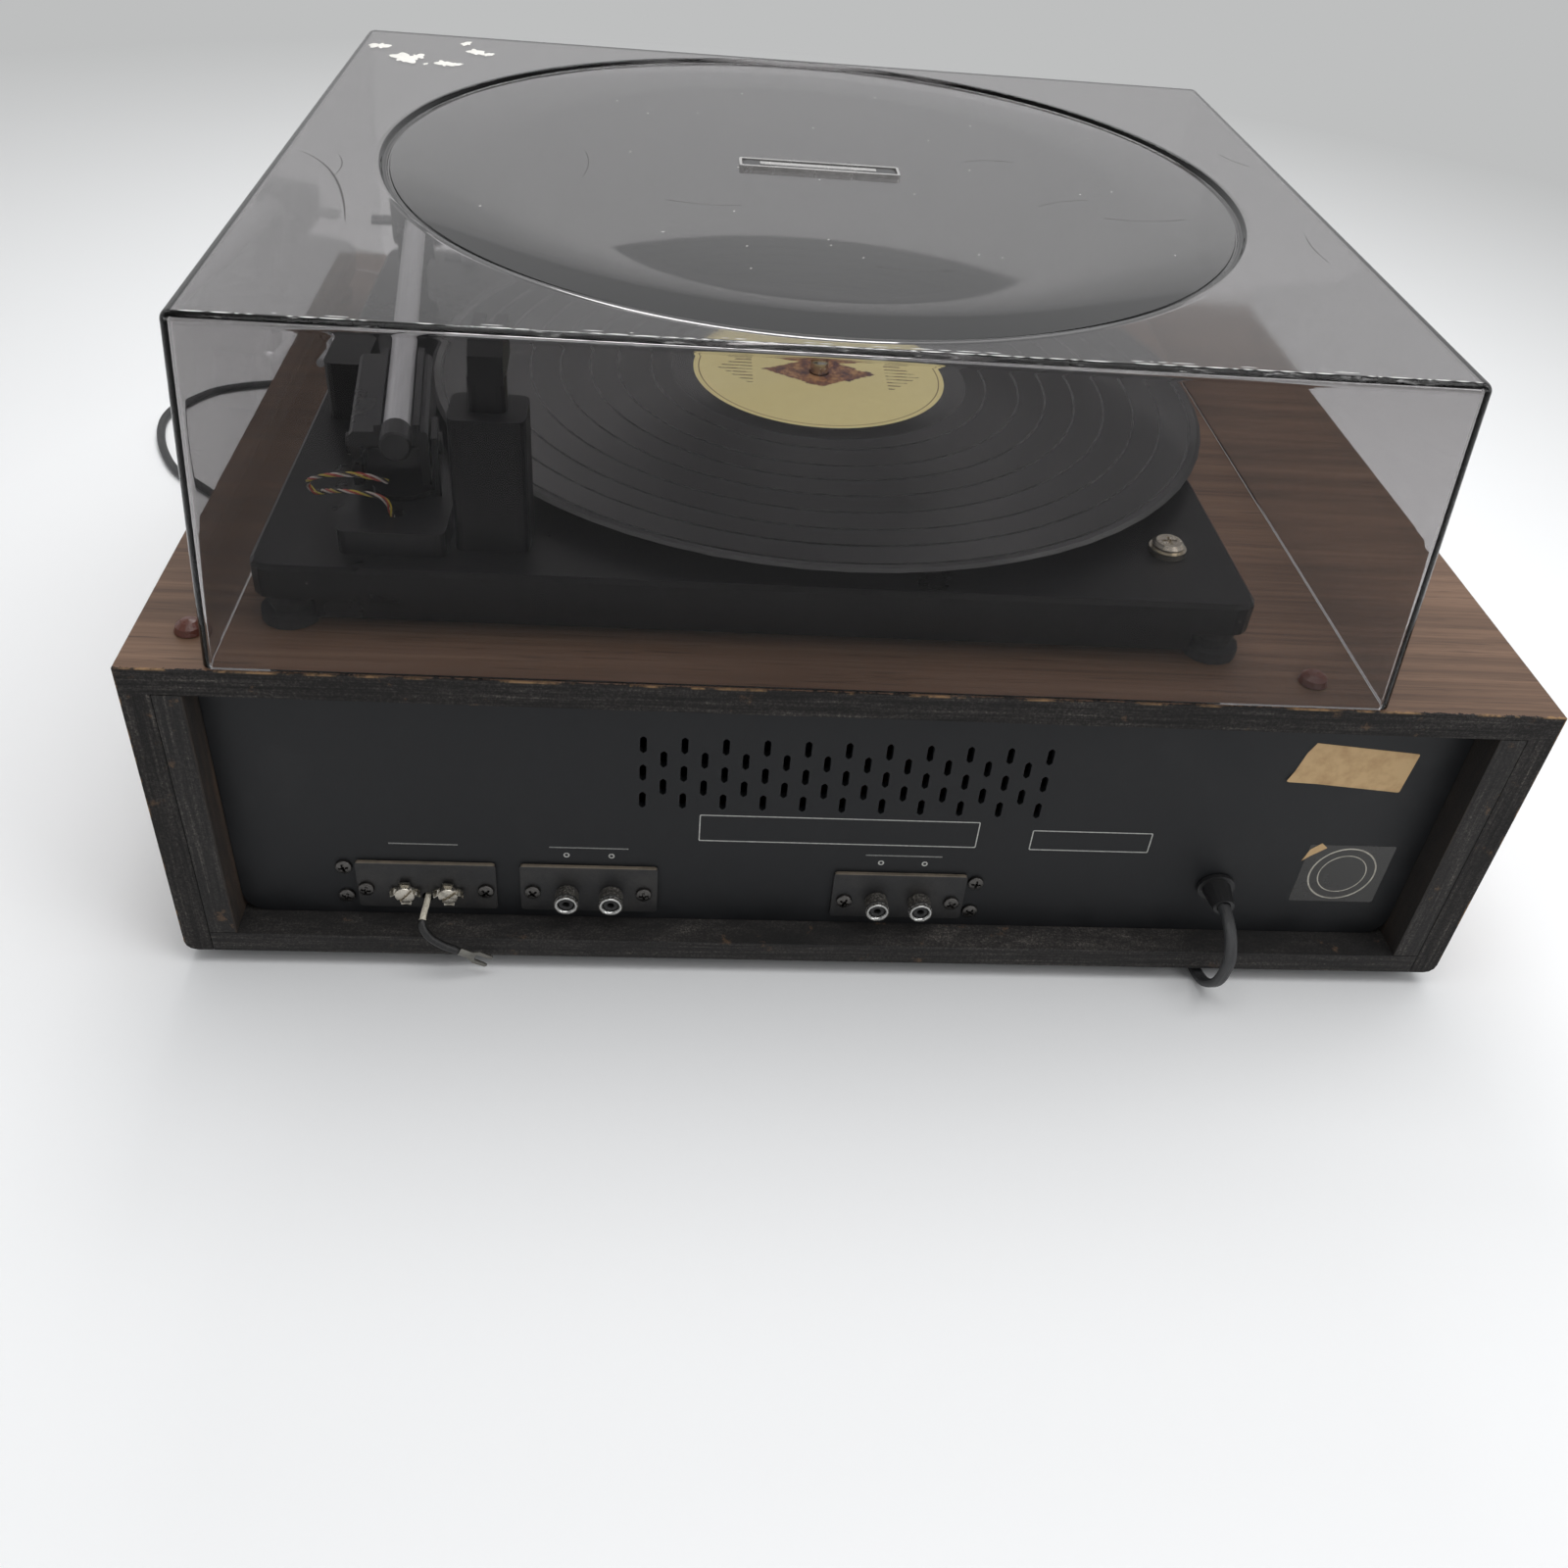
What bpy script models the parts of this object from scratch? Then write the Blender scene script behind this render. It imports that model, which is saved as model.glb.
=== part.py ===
"""A record player stereo system: a wooden receiver cabinet with a turntable deck and a clear lid.

The cabinet lies along X. Its rear face looks along +Y, its front along -Y, and its feet stand at z = 0.
Lengths are in metres. An inset is a distance in front of the cabinet's rear face. A height over the top is
measured from the cabinet's top board.
"""

import math

import bmesh
import bpy
from mathutils import Matrix, Vector

# Driving dimensions
CABINET_WIDTH = 0.470
CABINET_DEPTH = 0.357
CABINET_HEIGHT = 0.1235
FOOT_HEIGHT = 0.007
KNOB_REACH = 0.010
SEAT = 0.0003
OVERRUN = 0.002

# Cabinet boards
BOARD = 0.0096
BOTTOM_BOARD = 0.0087
LOWER_CORNER = 0.004
BATTEN = 0.0094
BATTEN_STOP = 0.006
TOP_OPENING_LEFT = 0.115
TOP_OPENING_RIGHT = 0.1775
TOP_OPENING_REAR = 0.045
TOP_OPENING_FRONT = 0.284
TOP_OPENING_CORNER = 0.008
FOOT_RADIUS = 0.009
FOOT_INSET_X = 0.030
FOOT_INSET_Y = 0.030
FOOT_TAPER = 0.001
DOME_RADIUS = 0.005
DOME_HEIGHT = 0.004
DOME_RIGHT_GAP = 0.0087
DOME_RIGHT_INSET = 0.0221
DOME_LEFT_GAP = 0.0216
DOME_LEFT_INSET = 0.0171

# Rear panel and its vents
PANEL_INSET = 0.012
PANEL_THICKNESS = 0.0028
PANEL_CORNER = 0.008
VENT_CENTRE_X = 0.0024
VENT_PITCH_X = 0.014
VENT_DROP = 0.0327
VENT_PITCH_Z = 0.01215
VENT_WIDTH = 0.0023
VENT_HEIGHT = 0.007
VENT_CORNER = 0.0009
VENT_COLUMNS = 11
VENT_ROWS = 3

# Connector plates on the rear panel
PLATE_WIDTH = 0.0494
PLATE_HEIGHT = 0.0215
PLATE_THICKNESS = 0.0012
PLATE_CORNER = 0.0012
PLATE_MIDDLE = 0.0243
WINDOW_WIDTH = 0.034
WINDOW_HEIGHT = 0.014
ANTENNA_X = 0.1490
TAPE_X = 0.0910
SPEAKER_X = -0.0227
TERMINAL_PITCH = 0.0153
TERMINAL_MIDDLE_X = 0.14915
TERMINAL_DROP = 0.0025
TERMINAL_RADIUS = 0.0036
TERMINAL_HEAD = 0.0026
TERMINAL_SHANK = 0.0016
TERMINAL_LENGTH = 0.009
LEAD_HOLE_DROP = 0.0055
LEAD_HOLE_RADIUS = 0.0022
TAPE_JACK_PITCH = 0.0160
SPEAKER_JACK_PITCH = 0.0161
JACK_RADIUS = 0.0043
JACK_BORE = 0.0032
JACK_REACH = 0.0065
JACK_DROP = 0.0023
JACK_DEPTH = 0.0055
JACK_FLOOR = 0.0015

# Mains cord, its strain relief and its plug
CORD_DIAMETER = 0.0045
CORD_LIFT = 0.0002
RELIEF_X = -0.142
RELIEF_HEIGHT = 0.0325
RELIEF_BORE = 0.0026
RELIEF_TIP_WIDTH = 0.0080
RELIEF_TIP_HEIGHT = 0.0068
RELIEF_ROOT_WIDTH = 0.0110
RELIEF_ROOT_HEIGHT = 0.0088
RELIEF_FLANGE_GROWTH = 0.0016
RELIEF_FLANGE = 0.0016
RELIEF_INSIDE = 0.008
RELIEF_HOLE_GAP = 0.0004
COIL_X = 0.110
COIL_INSET = 0.425
COIL_RADIUS = 0.0275
COIL_PITCH = 0.0058
COIL_LAYER = 0.0057
COIL_TAIL = 0.027
COIL_TURNS_A_LAYER = 2
COIL_POINTS_A_TURN = 24
PLUG_LENGTH = 0.034
PLUG_WIDTH = 0.024
PLUG_NECK_WIDTH = 0.010
PLUG_NECK_HEIGHT = 0.009
PLUG_NECK_CORNER = 0.003
PLUG_NECK_SHARE = 0.35
PLUG_BODY_SHARE = 0.6
PLUG_CORNER = 0.004
PRONG_LENGTH = 0.017
PRONG_WIDTH = 0.0015
PRONG_HEIGHT = 0.0063
PRONG_PITCH = 0.0127
CORD_POINT_GAP = 0.0165
CORD_BEND = 0.085
CORD_BEND_GAP = 0.0055

# Aerial lead and its spade lug
LEAD_DIAMETER = 0.003
LUG_WIDTH = 0.0065
LUG_THICKNESS = 0.0008
LUG_LENGTH = 0.0125
LUG_SLOT = 0.0032
LUG_SLOT_LENGTH = 0.0062

# Lid
LID_ROOM_LEFT = 0.0436
LID_ROOM_RIGHT = 0.0109
LID_ROOM_FRONT = 0.027
LID_SIDE_DRAFT = 0.007
LID_FRONT_DRAFT = 0.009
LID_TOP_REAR_INSET = 0.003
LID_HEIGHT = 0.1123
LID_WALL = 0.0025
LID_EDGE = 0.003
LID_EDGE_STEPS = 2
LID_CORNER = 0.004
LID_REAR_GAP = 0.0003
FIELD_X = 0.0168
FIELD_INSET = 0.1645
FIELD_RADIUS = 0.1520
FIELD_STEP = 0.0015
FIELD_SLOPE = 0.0015
NAME_PLATE_X = 0.0157
NAME_PLATE_INSET = 0.1680
NAME_PLATE_WIDTH = 0.062
NAME_PLATE_DEPTH = 0.016
NAME_PLATE_RECESS = 0.0006

# Deck plate
DECK_LEFT = -0.130
DECK_RIGHT = 0.1975
DECK_REAR = 0.025
DECK_FRONT = 0.304
DECK_TOP = 0.0235
DECK_LIP = 0.0115
DECK_FOOT = 0.003
DECK_CORNER = 0.0075
DECK_EDGE = 0.0015
DECK_STEP = 0.004
DECK_WALL = 0.0025
DECK_THICKNESS = 0.003
WELL_RADIUS = 0.119
WELL_FLOOR = 0.0095
WELL_THICKNESS = 0.0025
TURNTABLE_X = 0.0083
TURNTABLE_INSET = 0.1735
MOUNT_SIDE = 0.010
MOUNT_REAR = 0.009
MOUNT_FRONT = 0.012
MOUNT_SEAT_RADIUS = 0.0095
MOUNT_SEAT_HEIGHT = 0.0042
MOUNT_RADIUS = 0.0065
MOUNT_RIB = 0.0007
MOUNT_RIBS = 2
MOUNT_GAP = 0.0009
TRANSIT_REAR_X = -0.106
TRANSIT_REAR_INSET = 0.0582
TRANSIT_FRONT_X = 0.120
TRANSIT_FRONT_INSET = 0.2925
TRANSIT_HEAD_RADIUS = 0.0056
TRANSIT_WASHER_RADIUS = 0.0065
TRANSIT_WASHER = 0.0022
TRANSIT_HEAD = 0.0024
TRANSIT_TOP_SHARE = 0.8
TRANSIT_SHANK = 0.0022
TRANSIT_SLOT = 0.0009
TRANSIT_SLOT_DEPTH = 0.0010

# Turntable
SPINDLE_RADIUS = 0.0036
SPINDLE_TOP = 0.0405
SPINDLE_FLANGE = 0.009
SPINDLE_FLANGE_HEIGHT = 0.0014
RUNNING_GAP = 0.0004
PLATTER_GAP = 0.004
PLATTER_TOP = 0.0283
PLATTER_PLATE = 0.0018
PLATTER_RIM_FOOT = 0.014
PLATTER_RIM = 0.0025
PLATTER_HUB = 0.010
MAT_EDGE = 0.002
MAT_THICKNESS = 0.002
RECORD_RADIUS = 0.1508
RECORD_THICKNESS = 0.0016
RECORD_LABEL_RADIUS = 0.050
RECORD_WEB = 0.0002
RECORD_EDGE = 0.004
MOTOR_RIM_GAP = 0.035
MOTOR_DIRECTION_DEG = 222
MOTOR_RADIUS = 0.024
MOTOR_HEIGHT = 0.034
MOTOR_BOSS_RADIUS = 0.006
MOTOR_SHAFT_RADIUS = 0.0012
MOTOR_EAR = 0.007
MOTOR_EAR_THICKNESS = 0.0016
PULLEY_RADIUS = 0.004
PULLEY_HEIGHT = 0.008
PULLEY_STEP_SHARE = 0.75
PULLEY_LOWER_SHARE = 0.75
IDLER_RADIUS = 0.016
IDLER_THICKNESS = 0.003
IDLER_EDGE = 0.001
IDLER_PIN = 0.0015
IDLER_SHOULDER = 0.0035
IDLER_HEIGHT = 0.0165

# Arm: along runs from the pivot to the head, side points away from the record
ARM_X = 0.1535
ARM_INSET = 0.064
ARM_TURN_DEG = 6.57
PEDESTAL_LEFT = 0.0170
PEDESTAL_RIGHT = 0.0170
PEDESTAL_BEHIND = 0.030
PEDESTAL_AHEAD = 0.014
PEDESTAL_TOP = 0.0320
PEDESTAL_CORNER = 0.003
WIRE_HOLE_INSET = 0.047
WIRE_HOLE_RADIUS = 0.0028
GIMBAL_DISC_RADIUS = 0.010
GIMBAL_DISC = 0.0018
GIMBAL_STEM_RADIUS = 0.005
CHEEK_SIDE = 0.0103
CHEEK_THICKNESS = 0.002
CHEEK_AHEAD = 0.009
CHEEK_BEHIND = 0.007
CHEEK_TOP = 0.0530
PITCH_HEIGHT = 0.048
PITCH_PIN_RADIUS = 0.0016
PITCH_HEAD_RADIUS = 0.0036
PITCH_HEAD = 0.0012
HOUSING_INNER = 0.0095
HOUSING_OUTER = 0.0150
HOUSING_BEHIND = 0.006
HOUSING_AHEAD = 0.054
HOUSING_FOOT = 0.0362
HOUSING_TOP = 0.0550
HOUSING_EDGE = 0.0012
HOUSING_ROOF = 0.0050
HOUSING_WALL = 0.003
RIDGE_WIDTH = 0.0022
RIDGE_HEIGHT = 0.0022
TUBE_HEIGHT = 0.056
TUBE_RADIUS = 0.0043
TUBE_BORE = 0.0034
TUBE_BEHIND = 0.019
TUBE_AHEAD = 0.184
STUB_RADIUS = 0.0050
STUB_LENGTH = 0.011
HEAD_START = 0.1765
HEAD_END = 0.2125
HEAD_REAR_HALF = 0.0065
HEAD_HALF = 0.0105
HEAD_TOP = 0.0625
HEAD_TIP_TOP = 0.0560
HEAD_FOOT = 0.0425
HEAD_CORNER = 0.0025
HEAD_BORE_DEPTH = 0.0080
CARTRIDGE_START = 0.186
CARTRIDGE_END = 0.204
CARTRIDGE_HALF = 0.0062
CARTRIDGE_FOOT = 0.0375
STYLUS_AHEAD = 0.195
STYLUS_TIP = 0.0340
STYLUS_RADIUS = 0.0009
FINGER_START = 0.197
FINGER_END = 0.205
FINGER_REACH = 0.0090
FINGER_THICKNESS = 0.0014
FINGER_TOP = 0.0500

POST_LEFT = 0.1105
POST_RIGHT = 0.1345
POST_REAR = 0.039
POST_FRONT = 0.059
POST_TOP = 0.080
POST_CORNER = 0.003
POST_SHOULDER = 0.069
POST_NECK = 0.006
CLAW_LEFT = 0.117
CLAW_RIGHT = 0.1275
CLAW_TOP = 0.090
CLAW_REACH = 0.007
CLAW_SLOT = 0.0030
REST_AHEAD = 0.1655
REST_LENGTH = 0.009
REST_HALF = 0.0070
REST_GAP = 0.0004
REST_HORN = 0.0050
REST_WALL = 0.0022
REST_FLANGE = 0.0030
LEADS_DIAMETER = 0.002
TURRET_SIDE = 0.0063
TURRET_WIDTH = 0.015
TURRET_REAR = 0.129
TURRET_FRONT = 0.160
TURRET_TOP = 0.045
TURRET_CORNER = 0.003
CUE_ROD = 0.0016
CUE_HEIGHT = 0.0385
CUE_INSET = 0.1445
CUE_ROOT = 0.006
CUE_REACH = 0.010
CUE_LENGTH = 0.030
CUE_DROP = 0.004
CUE_KNOB = 0.0028
CUE_TIP_SHARE = 0.6
SLIDE_INSET = 0.2905
START_X = 0.140
SPEED_X = 0.1635
LEVER_SLOT_LENGTH = 0.016
LEVER_SLOT_WIDTH = 0.0032
LEVER_SLOT_CORNER = 0.001
LEVER_BLADE = 0.0024
LEVER_CAP_LENGTH = 0.008
LEVER_CAP_WIDTH = 0.0056
LEVER_CAP_HEIGHT = 0.0048
LEVER_SHANK = 0.009
LEVER_TRAVEL = 0.004
LEVER_TOP_SHARE = 0.75

# Front
FASCIA_RECESS = 0.006
FASCIA_THICKNESS = 0.012
DIAL_SIDE = 0.0207
DIAL_DROP = 0.0185
DIAL_HEIGHT = 0.035
DIAL_DEPTH = 0.008
GLASS_THICKNESS = 0.0017
GLASS_LEDGE = 0.003
POINTER_WIDTH = 0.0018
POINTER_THICKNESS = 0.0012
POINTER_SHARE = 0.8
CONTROL_HEIGHT = 0.036
BUTTON_SIDE = 0.0207
SOCKET_SIDE = 0.0507
FUNCTION_SIDE = 0.1007
TONE_SIDE = 0.1607
VOLUME_SIDE = 0.2207
TUNING_SIDE = 0.0657
KNOB_RADIUS = 0.011
TUNING_RADIUS = 0.019
KNOB_SKIRT = 0.0012
KNOB_SKIRT_LENGTH = 0.003
KNOB_EDGE = 0.0012
KNOB_GAP = 0.0008
KNOB_FLUTE_DEPTH = 0.0004
SHAFT_RADIUS = 0.003
SHAFT_GAP = 0.0004
SOCKET_RADIUS = 0.0033
SOCKET_RING = 0.0055
SOCKET_RING_HEIGHT = 0.001
BUTTON_WIDTH = 0.014
BUTTON_HEIGHT = 0.009
BUTTON_CORNER = 0.0015
BUTTON_REACH = 0.006
BUTTON_GAP = 0.0004
BUTTON_TRAVEL = 0.004

# Inside
CHASSIS_SIDE_GAP = 0.0057
CHASSIS_REAR = 0.024
CHASSIS_FRONT_GAP = 0.0095
CHASSIS_SHEET = 0.001
CHASSIS_WALL = 0.055
CHASSIS_LIP = 0.012
TRANSFORMER_SIDE = 0.032
TRANSFORMER_WIDTH = 0.052
TRANSFORMER_REAR = 0.034
TRANSFORMER_DEPTH = 0.036
TRANSFORMER_HEIGHT = 0.042
COIL_OVERHANG = 0.007
COIL_HEIGHT = 0.026
BOARD_ROOM_LEFT = 0.030
BOARD_SIDE = 0.014
BOARD_REAR = 0.045
BOARD_ROOM_FRONT = 0.042
BOARD_LIFT = 0.007
BOARD_SHEET = 0.0016
BOARD_POST_RADIUS = 0.003
BOARD_POST_INSET = 0.010
CAN_HEIGHT = 0.026
CAN_RADIUS = 0.009
CAN_EDGE = 0.0011
CAN_SHARES = ((0.12, 0.3), (0.12, 0.6), (0.22, 0.45))
FILTER_SIDE = 0.011
FILTER_HEIGHT = 0.014
FILTER_SHARES = ((0.6, 0.7), (0.72, 0.7), (0.84, 0.6))
SINK_THICKNESS = 0.003
SINK_HEIGHT = 0.028
SINK_SHARES = ((0.35, 0.85), (0.55, 0.85))
TUNER_SIDE = 0.104
TUNER_ROOM_FRONT = 0.0375
TUNER_WIDTH = 0.034
TUNER_DEPTH = 0.034
TUNER_HEIGHT = 0.032
TUNER_SHEET = 0.0016
TUNER_PLATES = 5
TUNER_DRUM_RADIUS = 0.013
TUNER_DRUM = 0.004

# Counts and angles
COUNT_ROUND = 20
COUNT_FINE = 64
COUNT_WIDE = 48
KNOB_POINTS = 28
COUNT_CORNER = 3
COUNT_JACK = 14
COUNT_SMALL = 12
FINE_STEPS = 40
SHARP_DEG = 35

# Places that follow
REAR = (CABINET_DEPTH + KNOB_REACH) / 2
TOP = FOOT_HEIGHT + CABINET_HEIGHT
INSIDE_HALF = CABINET_WIDTH / 2 - BOARD
ROOM_HALF = INSIDE_HALF - SEAT - BATTEN
ROOM_FOOT = BOTTOM_BOARD + SEAT
ROOM_TOP = CABINET_HEIGHT - BOARD - SEAT
FASCIA_INSET = CABINET_DEPTH - FASCIA_RECESS
FASCIA_BACK = FASCIA_INSET - FASCIA_THICKNESS
KNOB_FRONT = CABINET_DEPTH + KNOB_REACH
VENT_TOP_ROW = CABINET_HEIGHT - VENT_DROP
DIAL_HALF_WIDTH = ROOM_HALF - DIAL_SIDE
DIAL_TOP = CABINET_HEIGHT - DIAL_DROP
DIAL_FOOT = DIAL_TOP - DIAL_HEIGHT
BUTTON_X = BUTTON_SIDE - ROOM_HALF
SOCKET_X = SOCKET_SIDE - ROOM_HALF
FUNCTION_X = FUNCTION_SIDE - ROOM_HALF
TONE_X = TONE_SIDE - ROOM_HALF
VOLUME_X = VOLUME_SIDE - ROOM_HALF
TUNING_X = ROOM_HALF - TUNING_SIDE
CHASSIS_TOP = ROOM_FOOT + CHASSIS_SHEET
CHASSIS_HALF_WIDTH = ROOM_HALF - BATTEN_STOP - CHASSIS_SIDE_GAP
CHASSIS_FRONT = FASCIA_BACK - CHASSIS_FRONT_GAP
TRANSFORMER_LEFT = TRANSFORMER_SIDE - CHASSIS_HALF_WIDTH
TUNER_X = CHASSIS_HALF_WIDTH - TUNER_SIDE
TUNER_INSET = CHASSIS_FRONT - TUNER_ROOM_FRONT
BOARD_LEFT = TRANSFORMER_LEFT + TRANSFORMER_WIDTH + BOARD_ROOM_LEFT
BOARD_RIGHT = CHASSIS_HALF_WIDTH - BOARD_SIDE
BOARD_FRONT = TUNER_INSET - BOARD_ROOM_FRONT
LID_LEFT = DECK_LEFT - LID_ROOM_LEFT
LID_RIGHT = DECK_RIGHT + LID_ROOM_RIGHT
LID_DEPTH = DECK_FRONT + LID_ROOM_FRONT
TURRET_RIGHT = DECK_RIGHT - TURRET_SIDE
PLATTER_RADIUS = WELL_RADIUS - PLATTER_GAP
MAT_RADIUS = PLATTER_RADIUS - MAT_EDGE
MOTOR_ARM = PLATTER_RADIUS - MOTOR_RIM_GAP


def back(inset):
    """The y of a place this far in front of the rear face."""
    return REAR - inset


def up(height):
    """The z of a place this high over the cabinet's underside."""
    return FOOT_HEIGHT + height


def over(height):
    """The z of a place this high over the cabinet's top."""
    return TOP + height


def clear_scene():
    for thing in list(bpy.data.objects):
        bpy.data.objects.remove(thing)


def material(name, colour, roughness=0.5, metallic=0.0):
    """A plain Principled material."""
    made = bpy.data.materials.new(name)
    made.use_nodes = True
    made.diffuse_color = (*colour, 1)
    shader = made.node_tree.nodes["Principled BSDF"]
    shader.inputs["Base Color"].default_value = (*colour, 1)
    shader.inputs["Roughness"].default_value = roughness
    shader.inputs["Metallic"].default_value = metallic
    return made


def arc(x, y, radius, start, end, steps=COUNT_CORNER):
    """Points on an arc from one angle to another, in degrees."""
    angles = [math.radians(start + (end - start) * i / steps) for i in range(steps + 1)]
    return [(x + radius * math.cos(a), y + radius * math.sin(a)) for a in angles]


def rectangle(left, right, low, high, corner=0, steps=COUNT_CORNER):
    """A counterclockwise rectangle, with round corners where a radius is given."""
    if not corner:
        return [(left, low), (right, low), (right, high), (left, high)]
    points = arc(right - corner, low + corner, corner, -90, 0, steps)
    points += arc(right - corner, high - corner, corner, 0, 90, steps)
    points += arc(left + corner, high - corner, corner, 90, 180, steps)
    points += arc(left + corner, low + corner, corner, 180, 270, steps)
    return points


def facing_out(bm):
    """Turns the faces of a closed mesh outwards, and returns it."""
    bmesh.ops.recalc_face_normals(bm, faces=bm.faces)
    if bm.calc_volume(signed=True) < 0:
        bmesh.ops.reverse_faces(bm, faces=bm.faces)
    return bm


def prism(outline, low, high, axis="z"):
    """An outline extruded along an axis: (x, y) along z, (x, z) along y or (y, z) along x."""
    place = {
        "z": lambda a, b: (a, b, low),
        "y": lambda a, b: (a, low, b),
        "x": lambda a, b: (low, a, b),
    }[axis]
    way = {"z": Vector((0, 0, 1)), "y": Vector((0, 1, 0)), "x": Vector((1, 0, 0))}[axis]
    bm = bmesh.new()
    face = bm.faces.new([bm.verts.new(place(a, b)) for a, b in outline])
    grown = bmesh.ops.extrude_face_region(bm, geom=[face])["geom"]
    moved = [item for item in grown if isinstance(item, bmesh.types.BMVert)]
    bmesh.ops.translate(bm, verts=moved, vec=way * (high - low))
    return facing_out(bm)


def box(left, right, front, rear, low, high):
    """A box between two x, two y and two z."""
    return prism(rectangle(left, right, front, rear), low, high)


def turned(profile, centre, axis="z", steps=COUNT_ROUND, closed=False):
    """A profile of (radius, height) turned about an axis; it is closed where it goes round a bore."""
    bm = bmesh.new()
    rings = []
    for radius, height in profile:
        if radius == 0:
            rings.append([bm.verts.new((0, 0, height))])
            continue
        angles = [math.tau * i / steps for i in range(steps)]
        rings.append([bm.verts.new((radius * math.cos(a), radius * math.sin(a), height)) for a in angles])
    join_rings(bm, rings, closed)
    right = math.pi / 2
    turn = {"z": Matrix(), "y": Matrix.Rotation(-right, 4, "X"), "x": Matrix.Rotation(right, 4, "Y")}
    bmesh.ops.transform(bm, matrix=Matrix.Translation(centre) @ turn[axis], verts=bm.verts)
    return facing_out(bm)


def join_rings(bm, rings, closed):
    """Faces from each ring to the next, with the two ends filled, or joined to each other when closed."""
    pairs = list(zip(rings, rings[1:] + rings[:1] if closed else rings[1:]))
    for lower, upper in pairs:
        count = max(len(lower), len(upper))
        for i in range(count):
            j = (i + 1) % count
            if len(lower) == 1:
                corners = [lower[0], upper[j], upper[i]]
            elif len(upper) == 1:
                corners = [lower[i], lower[j], upper[0]]
            else:
                corners = [lower[i], lower[j], upper[j], upper[i]]
            bm.faces.new(corners)
    if closed:
        return
    for ring in (rings[0], rings[-1]):
        if len(ring) > 2:
            bm.faces.new(ring)


def loft(sections, closed=False):
    """A skin through sections of the same number of points, each a list of (x, y, z)."""
    bm = bmesh.new()
    join_rings(bm, [[bm.verts.new(point) for point in section] for section in sections], closed)
    return facing_out(bm)


def flat(outline, z):
    """An outline at a height, as a section for a loft."""
    return [(x, y, z) for x, y in outline]


def round_about(outline, x, y, radius, z):
    """The points of a circle that lie in the directions of an outline's own points."""
    angles = [math.atan2(b - y, a - x) for a, b in outline]
    return [(x + radius * math.cos(a), y + radius * math.sin(a), z) for a in angles]


def in_arm_frame(bm):
    """Moves a shape made at the arm's pivot, with side along x and the head towards -y, to its place."""
    turn = Matrix.Rotation(math.radians(ARM_TURN_DEG), 4, "Z")
    bmesh.ops.transform(bm, matrix=Matrix.Translation((ARM_X, back(ARM_INSET), TOP)) @ turn, verts=bm.verts)
    return bm


def plain_object(name, bm, origin):
    mesh = bpy.data.meshes.new(name)
    bmesh.ops.translate(bm, verts=bm.verts, vec=-Vector(origin))
    bm.to_mesh(mesh)
    bm.free()
    made = bpy.data.objects.new(name, mesh)
    made.location = origin
    bpy.context.collection.objects.link(made)
    return made


def piece(name, shape, look, add=(), cut=(), origin=(0, 0, 0), smooth=True):
    """A named sub-part: a shape with others joined to it, and then others cut from it."""
    made = plain_object(name, shape, origin)
    made.data.materials.append(look)
    if smooth:
        made.data.shade_smooth()
        made.data.set_sharp_from_angle(angle=math.radians(SHARP_DEG))
    for operation, tools in (("UNION", add), ("DIFFERENCE", cut)):
        for number, tool in enumerate(tools, 1):
            helper = plain_object(f"{name}_{operation.lower()}_{number}", tool, (0, 0, 0))
            helper.hide_render = True
            helper.display_type = "WIRE"
            modifier = made.modifiers.new(helper.name, "BOOLEAN")
            modifier.operation = operation
            modifier.object = helper
    return made


def several(shapes):
    """Shapes that don't touch each other, as one cutter."""
    whole = bmesh.new()
    for shape in shapes:
        mesh = bpy.data.meshes.new("part_of_cutter")
        shape.to_mesh(mesh)
        shape.free()
        whole.from_mesh(mesh)
        bpy.data.meshes.remove(mesh)
    return whole


def tube(name, points, diameter, look, resolution=2):
    """A round tube along points, with closed ends."""
    curve = bpy.data.curves.new(name, "CURVE")
    curve.dimensions = "3D"
    curve.resolution_u = 1
    curve.bevel_depth = diameter / 2
    curve.bevel_resolution = resolution
    curve.use_fill_caps = True
    spline = curve.splines.new("POLY")
    spline.points.add(len(points) - 1)
    for point, place in zip(spline.points, points):
        point.co = (*place, 1)
    spline.use_smooth = True
    made = bpy.data.objects.new(name, curve)
    curve.materials.append(look)
    bpy.context.collection.objects.link(made)
    return made


def through(route, gap, bend=0, bend_gap=1):
    """Points every gap metres along a smooth curve through a route's places, and closer in its first bend."""
    places = [Vector(place) for place in route]
    ends = [places[0] * 2 - places[1], *places, places[-1] * 2 - places[-2]]
    dense = []
    for before, start, end, after in zip(ends, ends[1:], ends[2:], ends[3:]):
        for i in range(FINE_STEPS):
            t = i / FINE_STEPS
            dense.append(
                (
                    start * 2
                    + (end - before) * t
                    + (before * 2 - start * 5 + end * 4 - after) * t**2
                    + (start * 3 - before - end * 3 + after) * t**3
                )
                / 2
            )
    dense.append(places[-1])
    lengths = [0]
    for a, b in zip(dense, dense[1:]):
        lengths.append(lengths[-1] + (b - a).length)
    close = round(bend / bend_gap)
    count = max(2, round((lengths[-1] - bend) / gap))
    points = []
    k = 0
    for i in range(close + count + 1):
        wanted = bend * i / close if i < close else bend + (lengths[-1] - bend) * (i - close) / count
        while k < len(dense) - 2 and lengths[k + 1] < wanted:
            k += 1
        share = (wanted - lengths[k]) / (lengths[k + 1] - lengths[k])
        points.append(dense[k].lerp(dense[k + 1], min(1, max(0, share))))
    return points


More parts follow.
